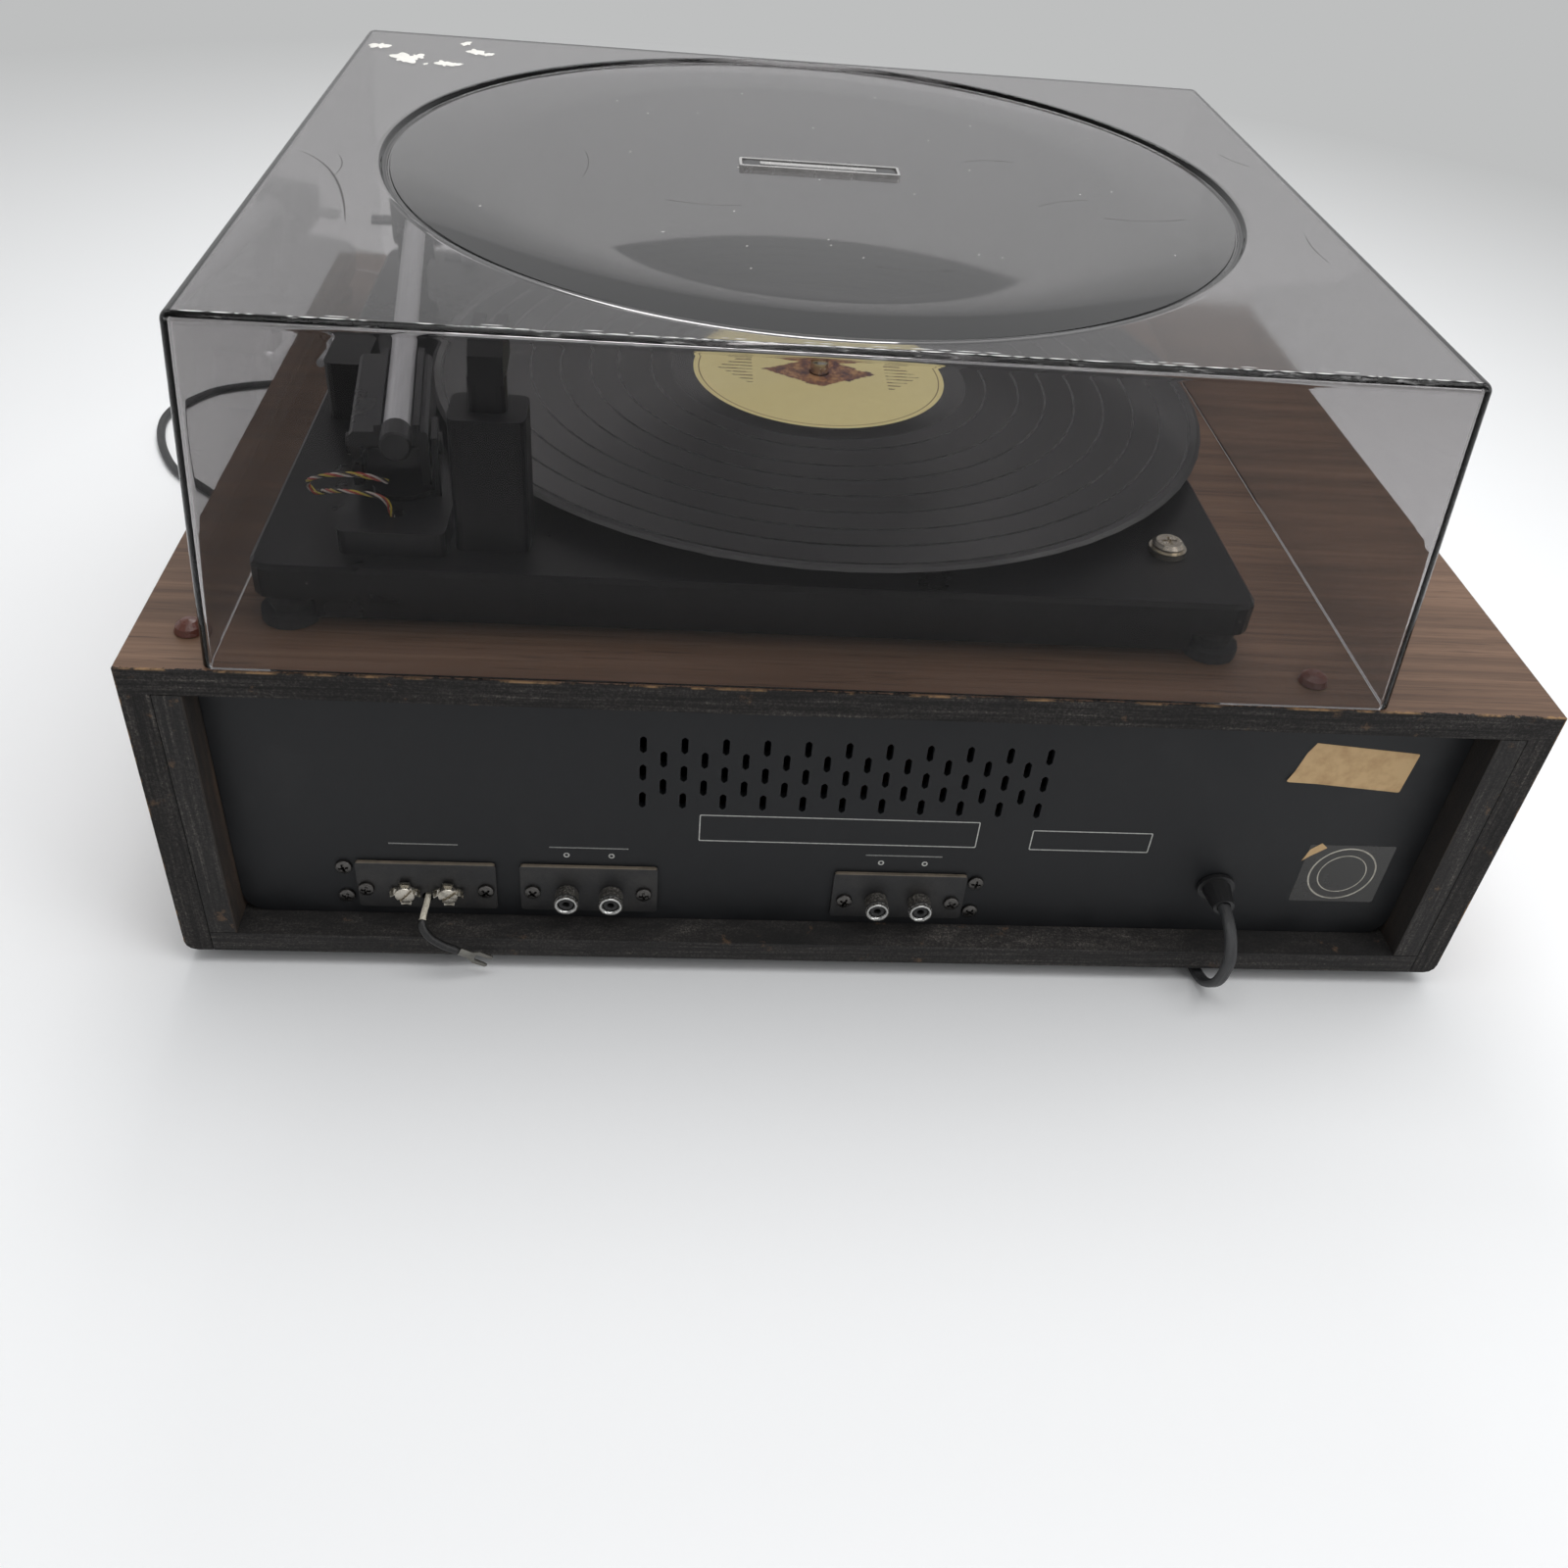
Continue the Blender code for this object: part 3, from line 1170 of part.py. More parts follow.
def make_turntable(steel, light_metal, rubber, vinyl, nickel, dark):
    """The spindle, platter, mat and record, and the motor, pulley and idler that drive the platter's rim."""
    x, y = TURNTABLE_X, back(TURNTABLE_INSET)
    centre = (x, y, TOP)
    foot = WELL_FLOOR + SEAT
    low = WELL_FLOOR - WELL_THICKNESS - OVERRUN
    flange = foot + SPINDLE_FLANGE_HEIGHT
    profile = [(0, low), (SPINDLE_RADIUS, low), (SPINDLE_RADIUS, foot), (SPINDLE_FLANGE, foot)]
    profile += [(SPINDLE_FLANGE, flange), (SPINDLE_RADIUS, flange)]
    profile += [(a, SPINDLE_TOP - SPINDLE_RADIUS + b) for a, b in arc(0, 0, SPINDLE_RADIUS, 0, 90)[:-1]]
    profile.append((0, SPINDLE_TOP))
    piece("spindle", turned(profile, centre), steel)

    bore = SPINDLE_RADIUS + RUNNING_GAP
    hub_foot = foot + SPINDLE_FLANGE_HEIGHT + RUNNING_GAP
    inside = PLATTER_RADIUS - PLATTER_RIM
    web = PLATTER_TOP - PLATTER_PLATE
    profile = [(bore, hub_foot), (PLATTER_HUB, hub_foot), (PLATTER_HUB, web), (inside, web)]
    profile += [(inside, PLATTER_RIM_FOOT), (PLATTER_RADIUS, PLATTER_RIM_FOOT)]
    profile += [(PLATTER_RADIUS, PLATTER_TOP - PLATTER_PLATE / 2)]
    profile += [(PLATTER_RADIUS - PLATTER_PLATE / 2, PLATTER_TOP), (bore, PLATTER_TOP)]
    piece("platter", turned(profile, centre, steps=COUNT_WIDE, closed=True), light_metal, origin=centre)

    mat_foot = PLATTER_TOP + SEAT
    mat_top = mat_foot + MAT_THICKNESS
    profile = [(bore, mat_foot), (MAT_RADIUS, mat_foot), (MAT_RADIUS, mat_top), (bore, mat_top)]
    piece("platter_mat", turned(profile, centre, steps=COUNT_WIDE, closed=True), rubber, origin=centre)

    record_foot = mat_top + SEAT
    top = record_foot + RECORD_THICKNESS
    middle = record_foot + RECORD_THICKNESS / 2
    edge = RECORD_THICKNESS
    profile = [(bore, record_foot), (RECORD_RADIUS - edge, record_foot), (RECORD_RADIUS, middle)]
    profile += [(RECORD_RADIUS - edge, top), (RECORD_RADIUS - RECORD_EDGE, top - RECORD_WEB)]
    profile += [(RECORD_LABEL_RADIUS + RECORD_WEB, top - RECORD_WEB), (RECORD_LABEL_RADIUS, top), (bore, top)]
    piece("record", turned(profile, centre, steps=COUNT_FINE, closed=True), vinyl, origin=centre)

    motor, idler = drive_places()
    roof = WELL_FLOOR - WELL_THICKNESS - SEAT
    pulley_foot = IDLER_HEIGHT + IDLER_THICKNESS / 2 - PULLEY_HEIGHT / 2
    shaft_top = pulley_foot + PULLEY_HEIGHT + SEAT
    profile = [(0, roof - MOTOR_HEIGHT), (MOTOR_RADIUS - OVERRUN, roof - MOTOR_HEIGHT)]
    profile += [(MOTOR_RADIUS, roof - MOTOR_HEIGHT + OVERRUN), (MOTOR_RADIUS, roof)]
    profile += [(MOTOR_BOSS_RADIUS, roof), (MOTOR_BOSS_RADIUS, WELL_FLOOR), (MOTOR_SHAFT_RADIUS, WELL_FLOOR)]
    profile += [(MOTOR_SHAFT_RADIUS, shaft_top), (0, shaft_top)]
    ears = box(
        motor[0] - MOTOR_RADIUS - MOTOR_EAR,
        motor[0] + MOTOR_RADIUS + MOTOR_EAR,
        motor[1] - MOTOR_EAR,
        motor[1] + MOTOR_EAR,
        over(roof - MOTOR_EAR_THICKNESS),
        over(roof),
    )
    piece("motor", turned(profile, motor), steel, add=[ears])
    hole = MOTOR_SHAFT_RADIUS + SEAT
    waist = PULLEY_RADIUS * PULLEY_STEP_SHARE
    half = pulley_foot + PULLEY_HEIGHT * PULLEY_LOWER_SHARE
    profile = [(hole, pulley_foot), (PULLEY_RADIUS, pulley_foot), (PULLEY_RADIUS, half), (waist, half)]
    profile += [(waist, pulley_foot + PULLEY_HEIGHT), (hole, pulley_foot + PULLEY_HEIGHT)]
    piece("motor_pulley", turned(profile, motor, closed=True), nickel, origin=motor)
    hole = IDLER_PIN + RUNNING_GAP
    tyre = IDLER_RADIUS - IDLER_EDGE
    top = IDLER_HEIGHT + IDLER_THICKNESS
    profile = [(hole, IDLER_HEIGHT), (tyre, IDLER_HEIGHT), (IDLER_RADIUS, IDLER_HEIGHT + IDLER_EDGE)]
    profile += [(IDLER_RADIUS, top - IDLER_EDGE), (tyre, top), (hole, top)]
    piece("idler_wheel", turned(profile, idler, steps=COUNT_ROUND, closed=True), dark, origin=idler)


def arm_box(side_low, side_high, along_low, along_high, low, high):
    return in_arm_frame(box(side_low, side_high, -along_high, -along_low, low, high))


def arm_prism(outline, along_low, along_high):
    """An outline across the arm, of (side, height) points, extruded along it."""
    return in_arm_frame(prism(outline, -along_high, -along_low, "y"))


def make_arm_stand(look, wire, dark):
    """What stands round the arm: its pedestal, the overarm post, the rest and the loop of leads."""
    foot = DECK_TOP + SEAT
    block = prism(
        rectangle(
            ARM_X - PEDESTAL_LEFT,
            ARM_X + PEDESTAL_RIGHT,
            back(ARM_INSET + PEDESTAL_AHEAD),
            back(ARM_INSET - PEDESTAL_BEHIND),
            PEDESTAL_CORNER,
        ),
        over(foot),
        over(PEDESTAL_TOP),
    )
    bores = []
    pivot_hole = GIMBAL_STEM_RADIUS + RUNNING_GAP
    for radius, inset in ((pivot_hole, ARM_INSET), (WIRE_HOLE_RADIUS, WIRE_HOLE_INSET)):
        profile = [(0, foot - OVERRUN), (radius, foot - OVERRUN)]
        profile += [(radius, PEDESTAL_TOP + OVERRUN), (0, PEDESTAL_TOP + OVERRUN)]
        bores.append(turned(profile, (ARM_X, back(inset), TOP), steps=COUNT_JACK))
    piece("arm_pedestal", block, look, cut=[several(bores)])

    post = prism(
        rectangle(POST_LEFT, POST_RIGHT, back(POST_FRONT), back(POST_REAR), POST_CORNER),
        over(foot),
        over(POST_SHOULDER),
    )
    neck = prism(
        rectangle(
            POST_LEFT + POST_NECK,
            POST_RIGHT - POST_NECK,
            back(POST_FRONT - POST_NECK),
            back(POST_REAR + POST_NECK),
            POST_CORNER,
        ),
        over(POST_SHOULDER - OVERRUN),
        over(POST_TOP),
    )
    claw_front, claw_rear = back(POST_FRONT + CLAW_REACH), back(POST_REAR + POST_NECK)
    claw = prism(
        [
            (claw_front, over(POST_TOP)),
            (back(POST_FRONT - POST_NECK), over(POST_TOP - OVERRUN)),
            (claw_rear, over(POST_TOP - OVERRUN)),
            (claw_rear, over(CLAW_TOP - CLAW_SLOT)),
            (claw_rear - CLAW_SLOT, over(CLAW_TOP)),
            (claw_front, over(CLAW_TOP)),
        ],
        CLAW_LEFT,
        CLAW_RIGHT,
        "x",
    )
    middle = (CLAW_LEFT + CLAW_RIGHT) / 2
    slot = box(
        middle - CLAW_SLOT / 2,
        middle + CLAW_SLOT / 2,
        claw_front - OVERRUN,
        claw_front + CLAW_REACH,
        over(POST_TOP - OVERRUN),
        over(CLAW_TOP + OVERRUN),
    )
    piece("overarm_post", post, look, add=[neck, claw], cut=[slot])

    cradle = TUBE_HEIGHT - TUBE_RADIUS - REST_GAP
    column = REST_HALF / 2
    outline = [
        (-REST_HALF, foot),
        (REST_HALF, foot),
        (REST_HALF, foot + REST_FLANGE),
        (column, foot + 2 * REST_FLANGE),
        (column, cradle - 3 * REST_FLANGE),
        (REST_HALF, cradle - 2 * REST_FLANGE),
        (REST_HALF, cradle + REST_HORN),
        (REST_HALF - REST_WALL, cradle + REST_HORN),
        (REST_HALF - REST_WALL, cradle),
        (-REST_HALF, cradle),
        (-REST_HALF, cradle - REST_FLANGE),
        (-column, cradle - 3 * REST_FLANGE),
        (-column, foot + 2 * REST_FLANGE),
        (-REST_HALF, foot + REST_FLANGE),
    ]
    piece("arm_rest", arm_prism(outline, REST_AHEAD, REST_AHEAD + REST_LENGTH), dark)
    route = [Vector((x, back(inset), over(height))) for x, inset, height in LEADS_ROUTE]
    tube("arm_leads", through(route, 2 * LEADS_DIAMETER), LEADS_DIAMETER, wire, resolution=1)


# The arm leads' route as x, inset and height over the top, chosen by hand: out, round and into the hole
LEADS_ROUTE = [
    (0.1560, 0.0517, 0.0405),
    (0.1590, 0.0500, 0.0425),
    (0.1660, 0.0490, 0.0440),
    (0.1745, 0.0515, 0.0420),
    (0.1815, 0.0570, 0.0375),
    (0.1840, 0.0615, 0.0330),
    (0.1815, 0.0605, 0.0310),
    (0.1760, 0.0550, 0.0345),
    (0.1690, 0.0480, 0.0385),
    (0.1610, 0.0450, 0.0395),
    (0.1563, 0.0460, 0.0370),
    (0.1549, 0.0469, 0.0320),
    (0.1549, 0.0470, 0.0270),
]


def make_arm(look, tube_look):
    """The gimbal that swings level, and the housing, tube and headshell that tilt on its pin."""
    centre = (ARM_X, back(ARM_INSET), TOP)
    low = PEDESTAL_TOP + SEAT
    high = low + GIMBAL_DISC
    stem = [(0, DECK_TOP + SEAT), (GIMBAL_STEM_RADIUS, DECK_TOP + SEAT), (GIMBAL_STEM_RADIUS, low)]
    stem += [(GIMBAL_DISC_RADIUS, low), (GIMBAL_DISC_RADIUS, high), (0, high)]
    outside = CHEEK_SIDE + CHEEK_THICKNESS
    cheek = arm_box(-outside, -CHEEK_SIDE, -CHEEK_BEHIND, CHEEK_AHEAD, low + SEAT, CHEEK_TOP)
    half = GIMBAL_DISC_RADIUS / 2
    within = -CHEEK_SIDE - CHEEK_THICKNESS / 2
    bridge = arm_box(within, 0, -half, half, low + SEAT, high - SEAT)
    first, last = -outside - PITCH_HEAD, HOUSING_OUTER + SEAT
    pin = [(0, first), (PITCH_HEAD_RADIUS, first), (PITCH_HEAD_RADIUS, within)]
    pin += [(PITCH_PIN_RADIUS, within), (PITCH_PIN_RADIUS, last), (PITCH_HEAD_RADIUS, last)]
    pin += [(PITCH_HEAD_RADIUS, last + PITCH_HEAD), (0, last + PITCH_HEAD)]
    axle = in_arm_frame(turned(pin, (0, 0, PITCH_HEIGHT), "x", COUNT_JACK))
    piece("arm_gimbal", turned(stem, centre), look, add=[cheek, bridge, axle], origin=centre)

    pivot = (ARM_X, back(ARM_INSET), over(PITCH_HEIGHT))
    groove = TUBE_RADIUS + SEAT
    dip = math.degrees(math.asin((TUBE_HEIGHT - HOUSING_TOP) / groove))
    ridge = groove + SEAT
    channel = HOUSING_TOP - HOUSING_ROOF
    outline = [
        (-HOUSING_INNER, HOUSING_FOOT),
        (-HOUSING_INNER + HOUSING_WALL, HOUSING_FOOT),
        (-HOUSING_INNER + HOUSING_WALL, channel),
        (HOUSING_OUTER - HOUSING_WALL, channel),
        (HOUSING_OUTER - HOUSING_WALL, HOUSING_FOOT),
        (HOUSING_OUTER, HOUSING_FOOT),
        (HOUSING_OUTER, HOUSING_TOP - HOUSING_EDGE),
        (HOUSING_OUTER - HOUSING_EDGE, HOUSING_TOP),
        (ridge + RIDGE_WIDTH, HOUSING_TOP),
        (ridge + RIDGE_WIDTH, HOUSING_TOP + RIDGE_HEIGHT),
        (ridge, HOUSING_TOP + RIDGE_HEIGHT),
        (ridge, HOUSING_TOP),
        *arc(0, TUBE_HEIGHT, groove, -dip, dip - 180, 2 * COUNT_CORNER),
        (-ridge, HOUSING_TOP),
        (-ridge, HOUSING_TOP + RIDGE_HEIGHT),
        (-ridge - RIDGE_WIDTH, HOUSING_TOP + RIDGE_HEIGHT),
        (-ridge - RIDGE_WIDTH, HOUSING_TOP),
        (-HOUSING_INNER + HOUSING_EDGE, HOUSING_TOP),
        (-HOUSING_INNER, HOUSING_TOP - HOUSING_EDGE),
    ]
    front = arm_box(
        -HOUSING_INNER + HOUSING_EDGE,
        HOUSING_OUTER - HOUSING_EDGE,
        HOUSING_AHEAD - HOUSING_WALL,
        HOUSING_AHEAD - SEAT,
        HOUSING_FOOT + SEAT,
        channel + SEAT,
    )
    reach = HOUSING_OUTER + OVERRUN
    bore = PITCH_PIN_RADIUS + RUNNING_GAP / 2
    profile = [(0, -reach), (bore, -reach), (bore, reach), (0, reach)]
    hole = in_arm_frame(turned(profile, (0, 0, PITCH_HEIGHT), "x", COUNT_JACK))
    body = arm_prism(outline, -HOUSING_BEHIND, HOUSING_AHEAD)
    piece("arm_housing", body, look, add=[front], cut=[hole], origin=pivot)

    bored = TUBE_AHEAD - HEAD_BORE_DEPTH
    stub = TUBE_BEHIND - STUB_LENGTH
    edge = STUB_RADIUS - TUBE_RADIUS
    profile = [(0, -bored), (TUBE_BORE, -bored), (TUBE_BORE, -TUBE_AHEAD), (TUBE_RADIUS, -TUBE_AHEAD)]
    profile += [(TUBE_RADIUS, stub), (STUB_RADIUS, stub + edge), (STUB_RADIUS, TUBE_BEHIND - edge)]
    profile += [(TUBE_RADIUS, TUBE_BEHIND), (0, TUBE_BEHIND)]
    shape = in_arm_frame(turned(profile, (0, 0, TUBE_HEIGHT), "y", COUNT_ROUND))
    piece("arm_tube", shape, tube_look, origin=pivot)

    sections = []
    for along, half_width, foot, top in (
        (HEAD_START, HEAD_REAR_HALF, TUBE_HEIGHT - HEAD_REAR_HALF, TUBE_HEIGHT + HEAD_REAR_HALF),
        (TUBE_AHEAD + OVERRUN, HEAD_REAR_HALF, TUBE_HEIGHT - HEAD_REAR_HALF, TUBE_HEIGHT + HEAD_REAR_HALF),
        (CARTRIDGE_START + 2 * OVERRUN, HEAD_HALF, HEAD_FOOT, HEAD_TOP),
        (CARTRIDGE_END, HEAD_HALF, HEAD_FOOT, (HEAD_TOP + HEAD_TIP_TOP) / 2),
        (HEAD_END, HEAD_HALF - HEAD_CORNER, HEAD_FOOT + HEAD_CORNER, HEAD_TIP_TOP),
    ):
        edges = rectangle(-half_width, half_width, foot, top, HEAD_CORNER, 2)
        sections.append([(x, -along, z) for x, z in edges])
    shell = in_arm_frame(loft(sections))
    cartridge = arm_box(
        -CARTRIDGE_HALF,
        CARTRIDGE_HALF,
        CARTRIDGE_START + OVERRUN,
        CARTRIDGE_END,
        CARTRIDGE_FOOT,
        HEAD_FOOT + OVERRUN,
    )
    point = [(0, STYLUS_TIP), (STYLUS_RADIUS, CARTRIDGE_FOOT), (STYLUS_RADIUS, CARTRIDGE_FOOT + OVERRUN)]
    point.append((0, CARTRIDGE_FOOT + OVERRUN))
    stylus = in_arm_frame(turned(point, (0, -STYLUS_AHEAD, 0), steps=COUNT_SMALL))
    finger = arm_box(
        HEAD_HALF - OVERRUN,
        HEAD_HALF + FINGER_REACH,
        FINGER_START,
        FINGER_END,
        FINGER_TOP - FINGER_THICKNESS,
        FINGER_TOP,
    )
    socket = [(0, -HEAD_START - HEAD_BORE_DEPTH), (TUBE_RADIUS + SEAT, -HEAD_START - HEAD_BORE_DEPTH)]
    socket += [(TUBE_RADIUS + SEAT, OVERRUN - HEAD_START), (0, OVERRUN - HEAD_START)]
    bore = in_arm_frame(turned(socket, (0, 0, TUBE_HEIGHT), "y", COUNT_ROUND))
    piece("headshell", shell, look, add=[cartridge, stylus, finger], cut=[bore], origin=pivot)


def make_levers(chrome, look):
    """The cue lever in the deck's turret, and the two slide levers in slots at the front right."""
    axis = (TURRET_RIGHT, back(CUE_INSET), over(CUE_HEIGHT))
    out = CUE_REACH - CUE_ROOT
    root = turned([(0, -CUE_ROOT), (CUE_ROD, -CUE_ROOT), (CUE_ROD, out), (0, out)], axis, "x", COUNT_SMALL)
    start = (TURRET_RIGHT + out, back(CUE_INSET), over(CUE_HEIGHT))
    profile = [(0, -CUE_LENGTH), (CUE_KNOB * CUE_TIP_SHARE, -CUE_LENGTH), (CUE_KNOB, CUE_KNOB - CUE_LENGTH)]
    profile += [(CUE_KNOB, 3 * CUE_KNOB - CUE_LENGTH), (CUE_ROD, 4 * CUE_KNOB - CUE_LENGTH)]
    profile += [(CUE_ROD, CUE_ROD), (0, CUE_ROD)]
    rod = turned(profile, (0, 0, 0), "y", COUNT_SMALL)
    drop = Matrix.Translation(start) @ Matrix.Rotation(math.asin(CUE_DROP / CUE_LENGTH), 4, "X")
    bmesh.ops.transform(rod, matrix=drop, verts=rod.verts)
    piece("cue_lever", root, chrome, add=[rod], origin=axis)
    top = DECK_TOP + SEAT
    for name, x in (("start_lever", START_X - LEVER_TRAVEL), ("speed_lever", SPEED_X - LEVER_TRAVEL)):
        y = back(SLIDE_INSET)
        cap = rectangle(
            x - LEVER_CAP_LENGTH / 2,
            x + LEVER_CAP_LENGTH / 2,
            y - LEVER_CAP_WIDTH / 2,
            y + LEVER_CAP_WIDTH / 2,
            LEVER_BLADE / 2,
            2,
        )
        waist = [(x + (a - x) * LEVER_TOP_SHARE, y + (b - y) * LEVER_TOP_SHARE) for a, b in cap]
        rings = ((cap, top), (cap, top + LEVER_BLADE / 2), (waist, top + LEVER_CAP_HEIGHT))
        shape = loft([flat(outline, over(height)) for outline, height in rings])
        half = (LEVER_SLOT_LENGTH - 2 * LEVER_TRAVEL) / 2 - LEVER_BLADE / 2
        blade = box(
            x - half,
            x + half,
            y - LEVER_BLADE / 2,
            y + LEVER_BLADE / 2,
            over(top - LEVER_SHANK),
            over(top + LEVER_BLADE / 2),
        )
        piece(name, shape, look, add=[blade], origin=(x, y, over(top)))


def make_dust_cover(look):
    """The clear lid: a shell with drafted walls, round edges and a round field let into its top."""
    foot_edges = (LID_LEFT, LID_RIGHT, back(LID_DEPTH), back(LID_REAR_GAP))
    top_edges = (
        LID_LEFT + LID_SIDE_DRAFT,
        LID_RIGHT - LID_SIDE_DRAFT,
        back(LID_DEPTH - LID_FRONT_DRAFT),
        back(LID_TOP_REAR_INSET),
    )
    x, y = FIELD_X, back(FIELD_INSET)
    top = spread(rectangle(*top_edges, LID_CORNER), x, y, COUNT_WIDE)

    def fitted(point):
        """A point of the top's outline at the same share of the foot's."""
        across = (point[0] - top_edges[0]) / (top_edges[1] - top_edges[0])
        along = (point[1] - top_edges[2]) / (top_edges[3] - top_edges[2])
        return (
            foot_edges[0] + across * (foot_edges[1] - foot_edges[0]),
            foot_edges[2] + along * (foot_edges[3] - foot_edges[2]),
        )

    foot = [fitted(point) for point in top]

    def ring(by, height):
        return flat(drawn_in(top, top_edges, LID_CORNER, by), over(height))

    def rounded(by, height, radius):
        """The rings of a round edge, from the wall up to the top."""
        return [
            ring(by + radius * (1 - c), height - radius * (1 - s))
            for c, s in arc(0, 0, 1, 0, 90, LID_EDGE_STEPS)
        ]

    def field(height):
        """The step down into the round field, from its rim to its floor."""
        return [
            round_about(top, x, y, FIELD_RADIUS, over(height)),
            round_about(top, x, y, FIELD_RADIUS - FIELD_SLOPE, over(height - FIELD_STEP)),
        ]

    inner_foot = flat(drawn_in(foot, foot_edges, LID_CORNER, LID_WALL), over(SEAT))
    inside = rounded(LID_WALL, LID_HEIGHT - LID_WALL, LID_EDGE - LID_WALL) + field(LID_HEIGHT - LID_WALL)
    outside = rounded(0, LID_HEIGHT, LID_EDGE) + field(LID_HEIGHT)
    sections = [*reversed(inside), inner_foot, flat(foot, over(SEAT)), *outside]
    plate = rectangle(
        NAME_PLATE_X - NAME_PLATE_WIDTH / 2,
        NAME_PLATE_X + NAME_PLATE_WIDTH / 2,
        back(NAME_PLATE_INSET) - NAME_PLATE_DEPTH / 2,
        back(NAME_PLATE_INSET) + NAME_PLATE_DEPTH / 2,
    )
    floor = LID_HEIGHT - FIELD_STEP
    recess = prism(plate, over(floor - NAME_PLATE_RECESS), over(floor + OVERRUN))
    origin = ((LID_LEFT + LID_RIGHT) / 2, back(LID_DEPTH / 2), TOP)
    piece("dust_cover", loft(sections), look, cut=[recess], origin=origin)


def make_knob(name, x, radius, look):
    """A turned and fluted knob with its shaft, which ends just clear of the chassis."""
    length = KNOB_FRONT - FASCIA_INSET
    skirt = radius + KNOB_SKIRT
    shaft = FASCIA_INSET - CHASSIS_FRONT - SEAT
    axis = (x, back(FASCIA_INSET), up(CONTROL_HEIGHT))
    sections = []
    for size, height, flute in (
        (SHAFT_RADIUS, shaft, 0),
        (SHAFT_RADIUS, -KNOB_GAP, 0),
        (skirt, -KNOB_GAP, 0),
        (skirt, -KNOB_GAP - KNOB_SKIRT_LENGTH, 0),
        (radius, -KNOB_GAP - KNOB_SKIRT_LENGTH, KNOB_FLUTE_DEPTH),
        (radius, KNOB_EDGE - length, KNOB_FLUTE_DEPTH),
        (radius - KNOB_EDGE, -length, 0),
    ):
        ring = []
        for i in range(KNOB_POINTS):
            angle = math.tau * i / KNOB_POINTS
            r = size - flute * (i % 2)
            ring.append((axis[0] + r * math.cos(angle), axis[1] + height, axis[2] + r * math.sin(angle)))
        sections.append(ring)
    piece(name, loft(sections), look, origin=axis)


def make_front(look, glass, red, knob_look):
    """The fascia with its dial pocket, the glass and pointer, the knobs and the power button."""
    front, rear = back(FASCIA_INSET), back(FASCIA_BACK)
    half = ROOM_HALF - SEAT
    panel = box(-half, half, front, rear, up(ROOM_FOOT), up(ROOM_TOP))
    z = up(CONTROL_HEIGHT)
    proud = -SOCKET_RING_HEIGHT
    ring = [(0, proud), (SOCKET_RING, proud), (SOCKET_RING, OVERRUN), (0, OVERRUN)]
    ring = turned(ring, (SOCKET_X, front, z), "y", COUNT_JACK)

    def dial(grow, depth):
        outline = rectangle(
            -DIAL_HALF_WIDTH - grow, DIAL_HALF_WIDTH + grow, up(DIAL_FOOT - grow), up(DIAL_TOP + grow)
        )
        return prism(outline, front - OVERRUN, front + depth, "y")

    bores = []
    for x, radius in (
        (SOCKET_X, SOCKET_RADIUS),
        (FUNCTION_X, SHAFT_RADIUS + SHAFT_GAP),
        (TONE_X, SHAFT_RADIUS + SHAFT_GAP),
        (VOLUME_X, SHAFT_RADIUS + SHAFT_GAP),
        (TUNING_X, SHAFT_RADIUS + SHAFT_GAP),
    ):
        profile = [(0, -OVERRUN), (radius, -OVERRUN), (radius, FASCIA_THICKNESS + OVERRUN)]
        profile.append((0, FASCIA_THICKNESS + OVERRUN))
        bores.append(turned(profile, (x, front, z), "y", COUNT_JACK))

    def button(grow, near, far):
        outline = rectangle(
            BUTTON_X - BUTTON_WIDTH / 2 - grow,
            BUTTON_X + BUTTON_WIDTH / 2 + grow,
            z - BUTTON_HEIGHT / 2 - grow,
            z + BUTTON_HEIGHT / 2 + grow,
            BUTTON_CORNER,
            2,
        )
        return prism(outline, near, far, "y")

    bores.append(button(BUTTON_GAP, front - OVERRUN, rear + OVERRUN))
    cuts = [dial(0, DIAL_DEPTH), dial(GLASS_LEDGE, GLASS_THICKNESS + SEAT), several(bores)]
    piece("fascia", panel, look, add=[ring], cut=cuts)
    reach = DIAL_HALF_WIDTH + GLASS_LEDGE - SEAT
    lift = GLASS_LEDGE - SEAT
    pane = box(-reach, reach, front, front + GLASS_THICKNESS, up(DIAL_FOOT - lift), up(DIAL_TOP + lift))
    piece("dial_glass", pane, glass)

    floor = front + DIAL_DEPTH - SEAT
    middle = up((DIAL_FOOT + DIAL_TOP) / 2)
    tall = (DIAL_TOP - DIAL_FOOT) * POINTER_SHARE / 2
    thin, wide = POINTER_WIDTH / 2, POINTER_WIDTH * 2
    outline = [(-wide, middle - tall), (wide, middle - tall), (wide, middle - tall + POINTER_WIDTH)]
    outline += [(thin, middle - tall + 2 * POINTER_WIDTH), (thin, middle + tall), (-thin, middle + tall)]
    outline += [(-thin, middle - tall + 2 * POINTER_WIDTH), (-wide, middle - tall + POINTER_WIDTH)]
    stick = prism(outline, floor - POINTER_THICKNESS, floor, "y")
    piece("dial_pointer", stick, red, origin=(0, floor, middle))

    make_knob("function_knob", FUNCTION_X, KNOB_RADIUS, knob_look)
    make_knob("tone_knob", TONE_X, KNOB_RADIUS, knob_look)
    make_knob("volume_knob", VOLUME_X, KNOB_RADIUS, knob_look)
    make_knob("tuning_knob", TUNING_X, TUNING_RADIUS, knob_look)
    inner = back(CHASSIS_FRONT + BUTTON_TRAVEL + 2 * SEAT)
    flange = button(BUTTON_CORNER, rear + SEAT, inner)
    cap = button(0, front - BUTTON_REACH, inner - SEAT)
    piece("power_button", cap, knob_look, add=[flange], origin=(BUTTON_X, front, z))


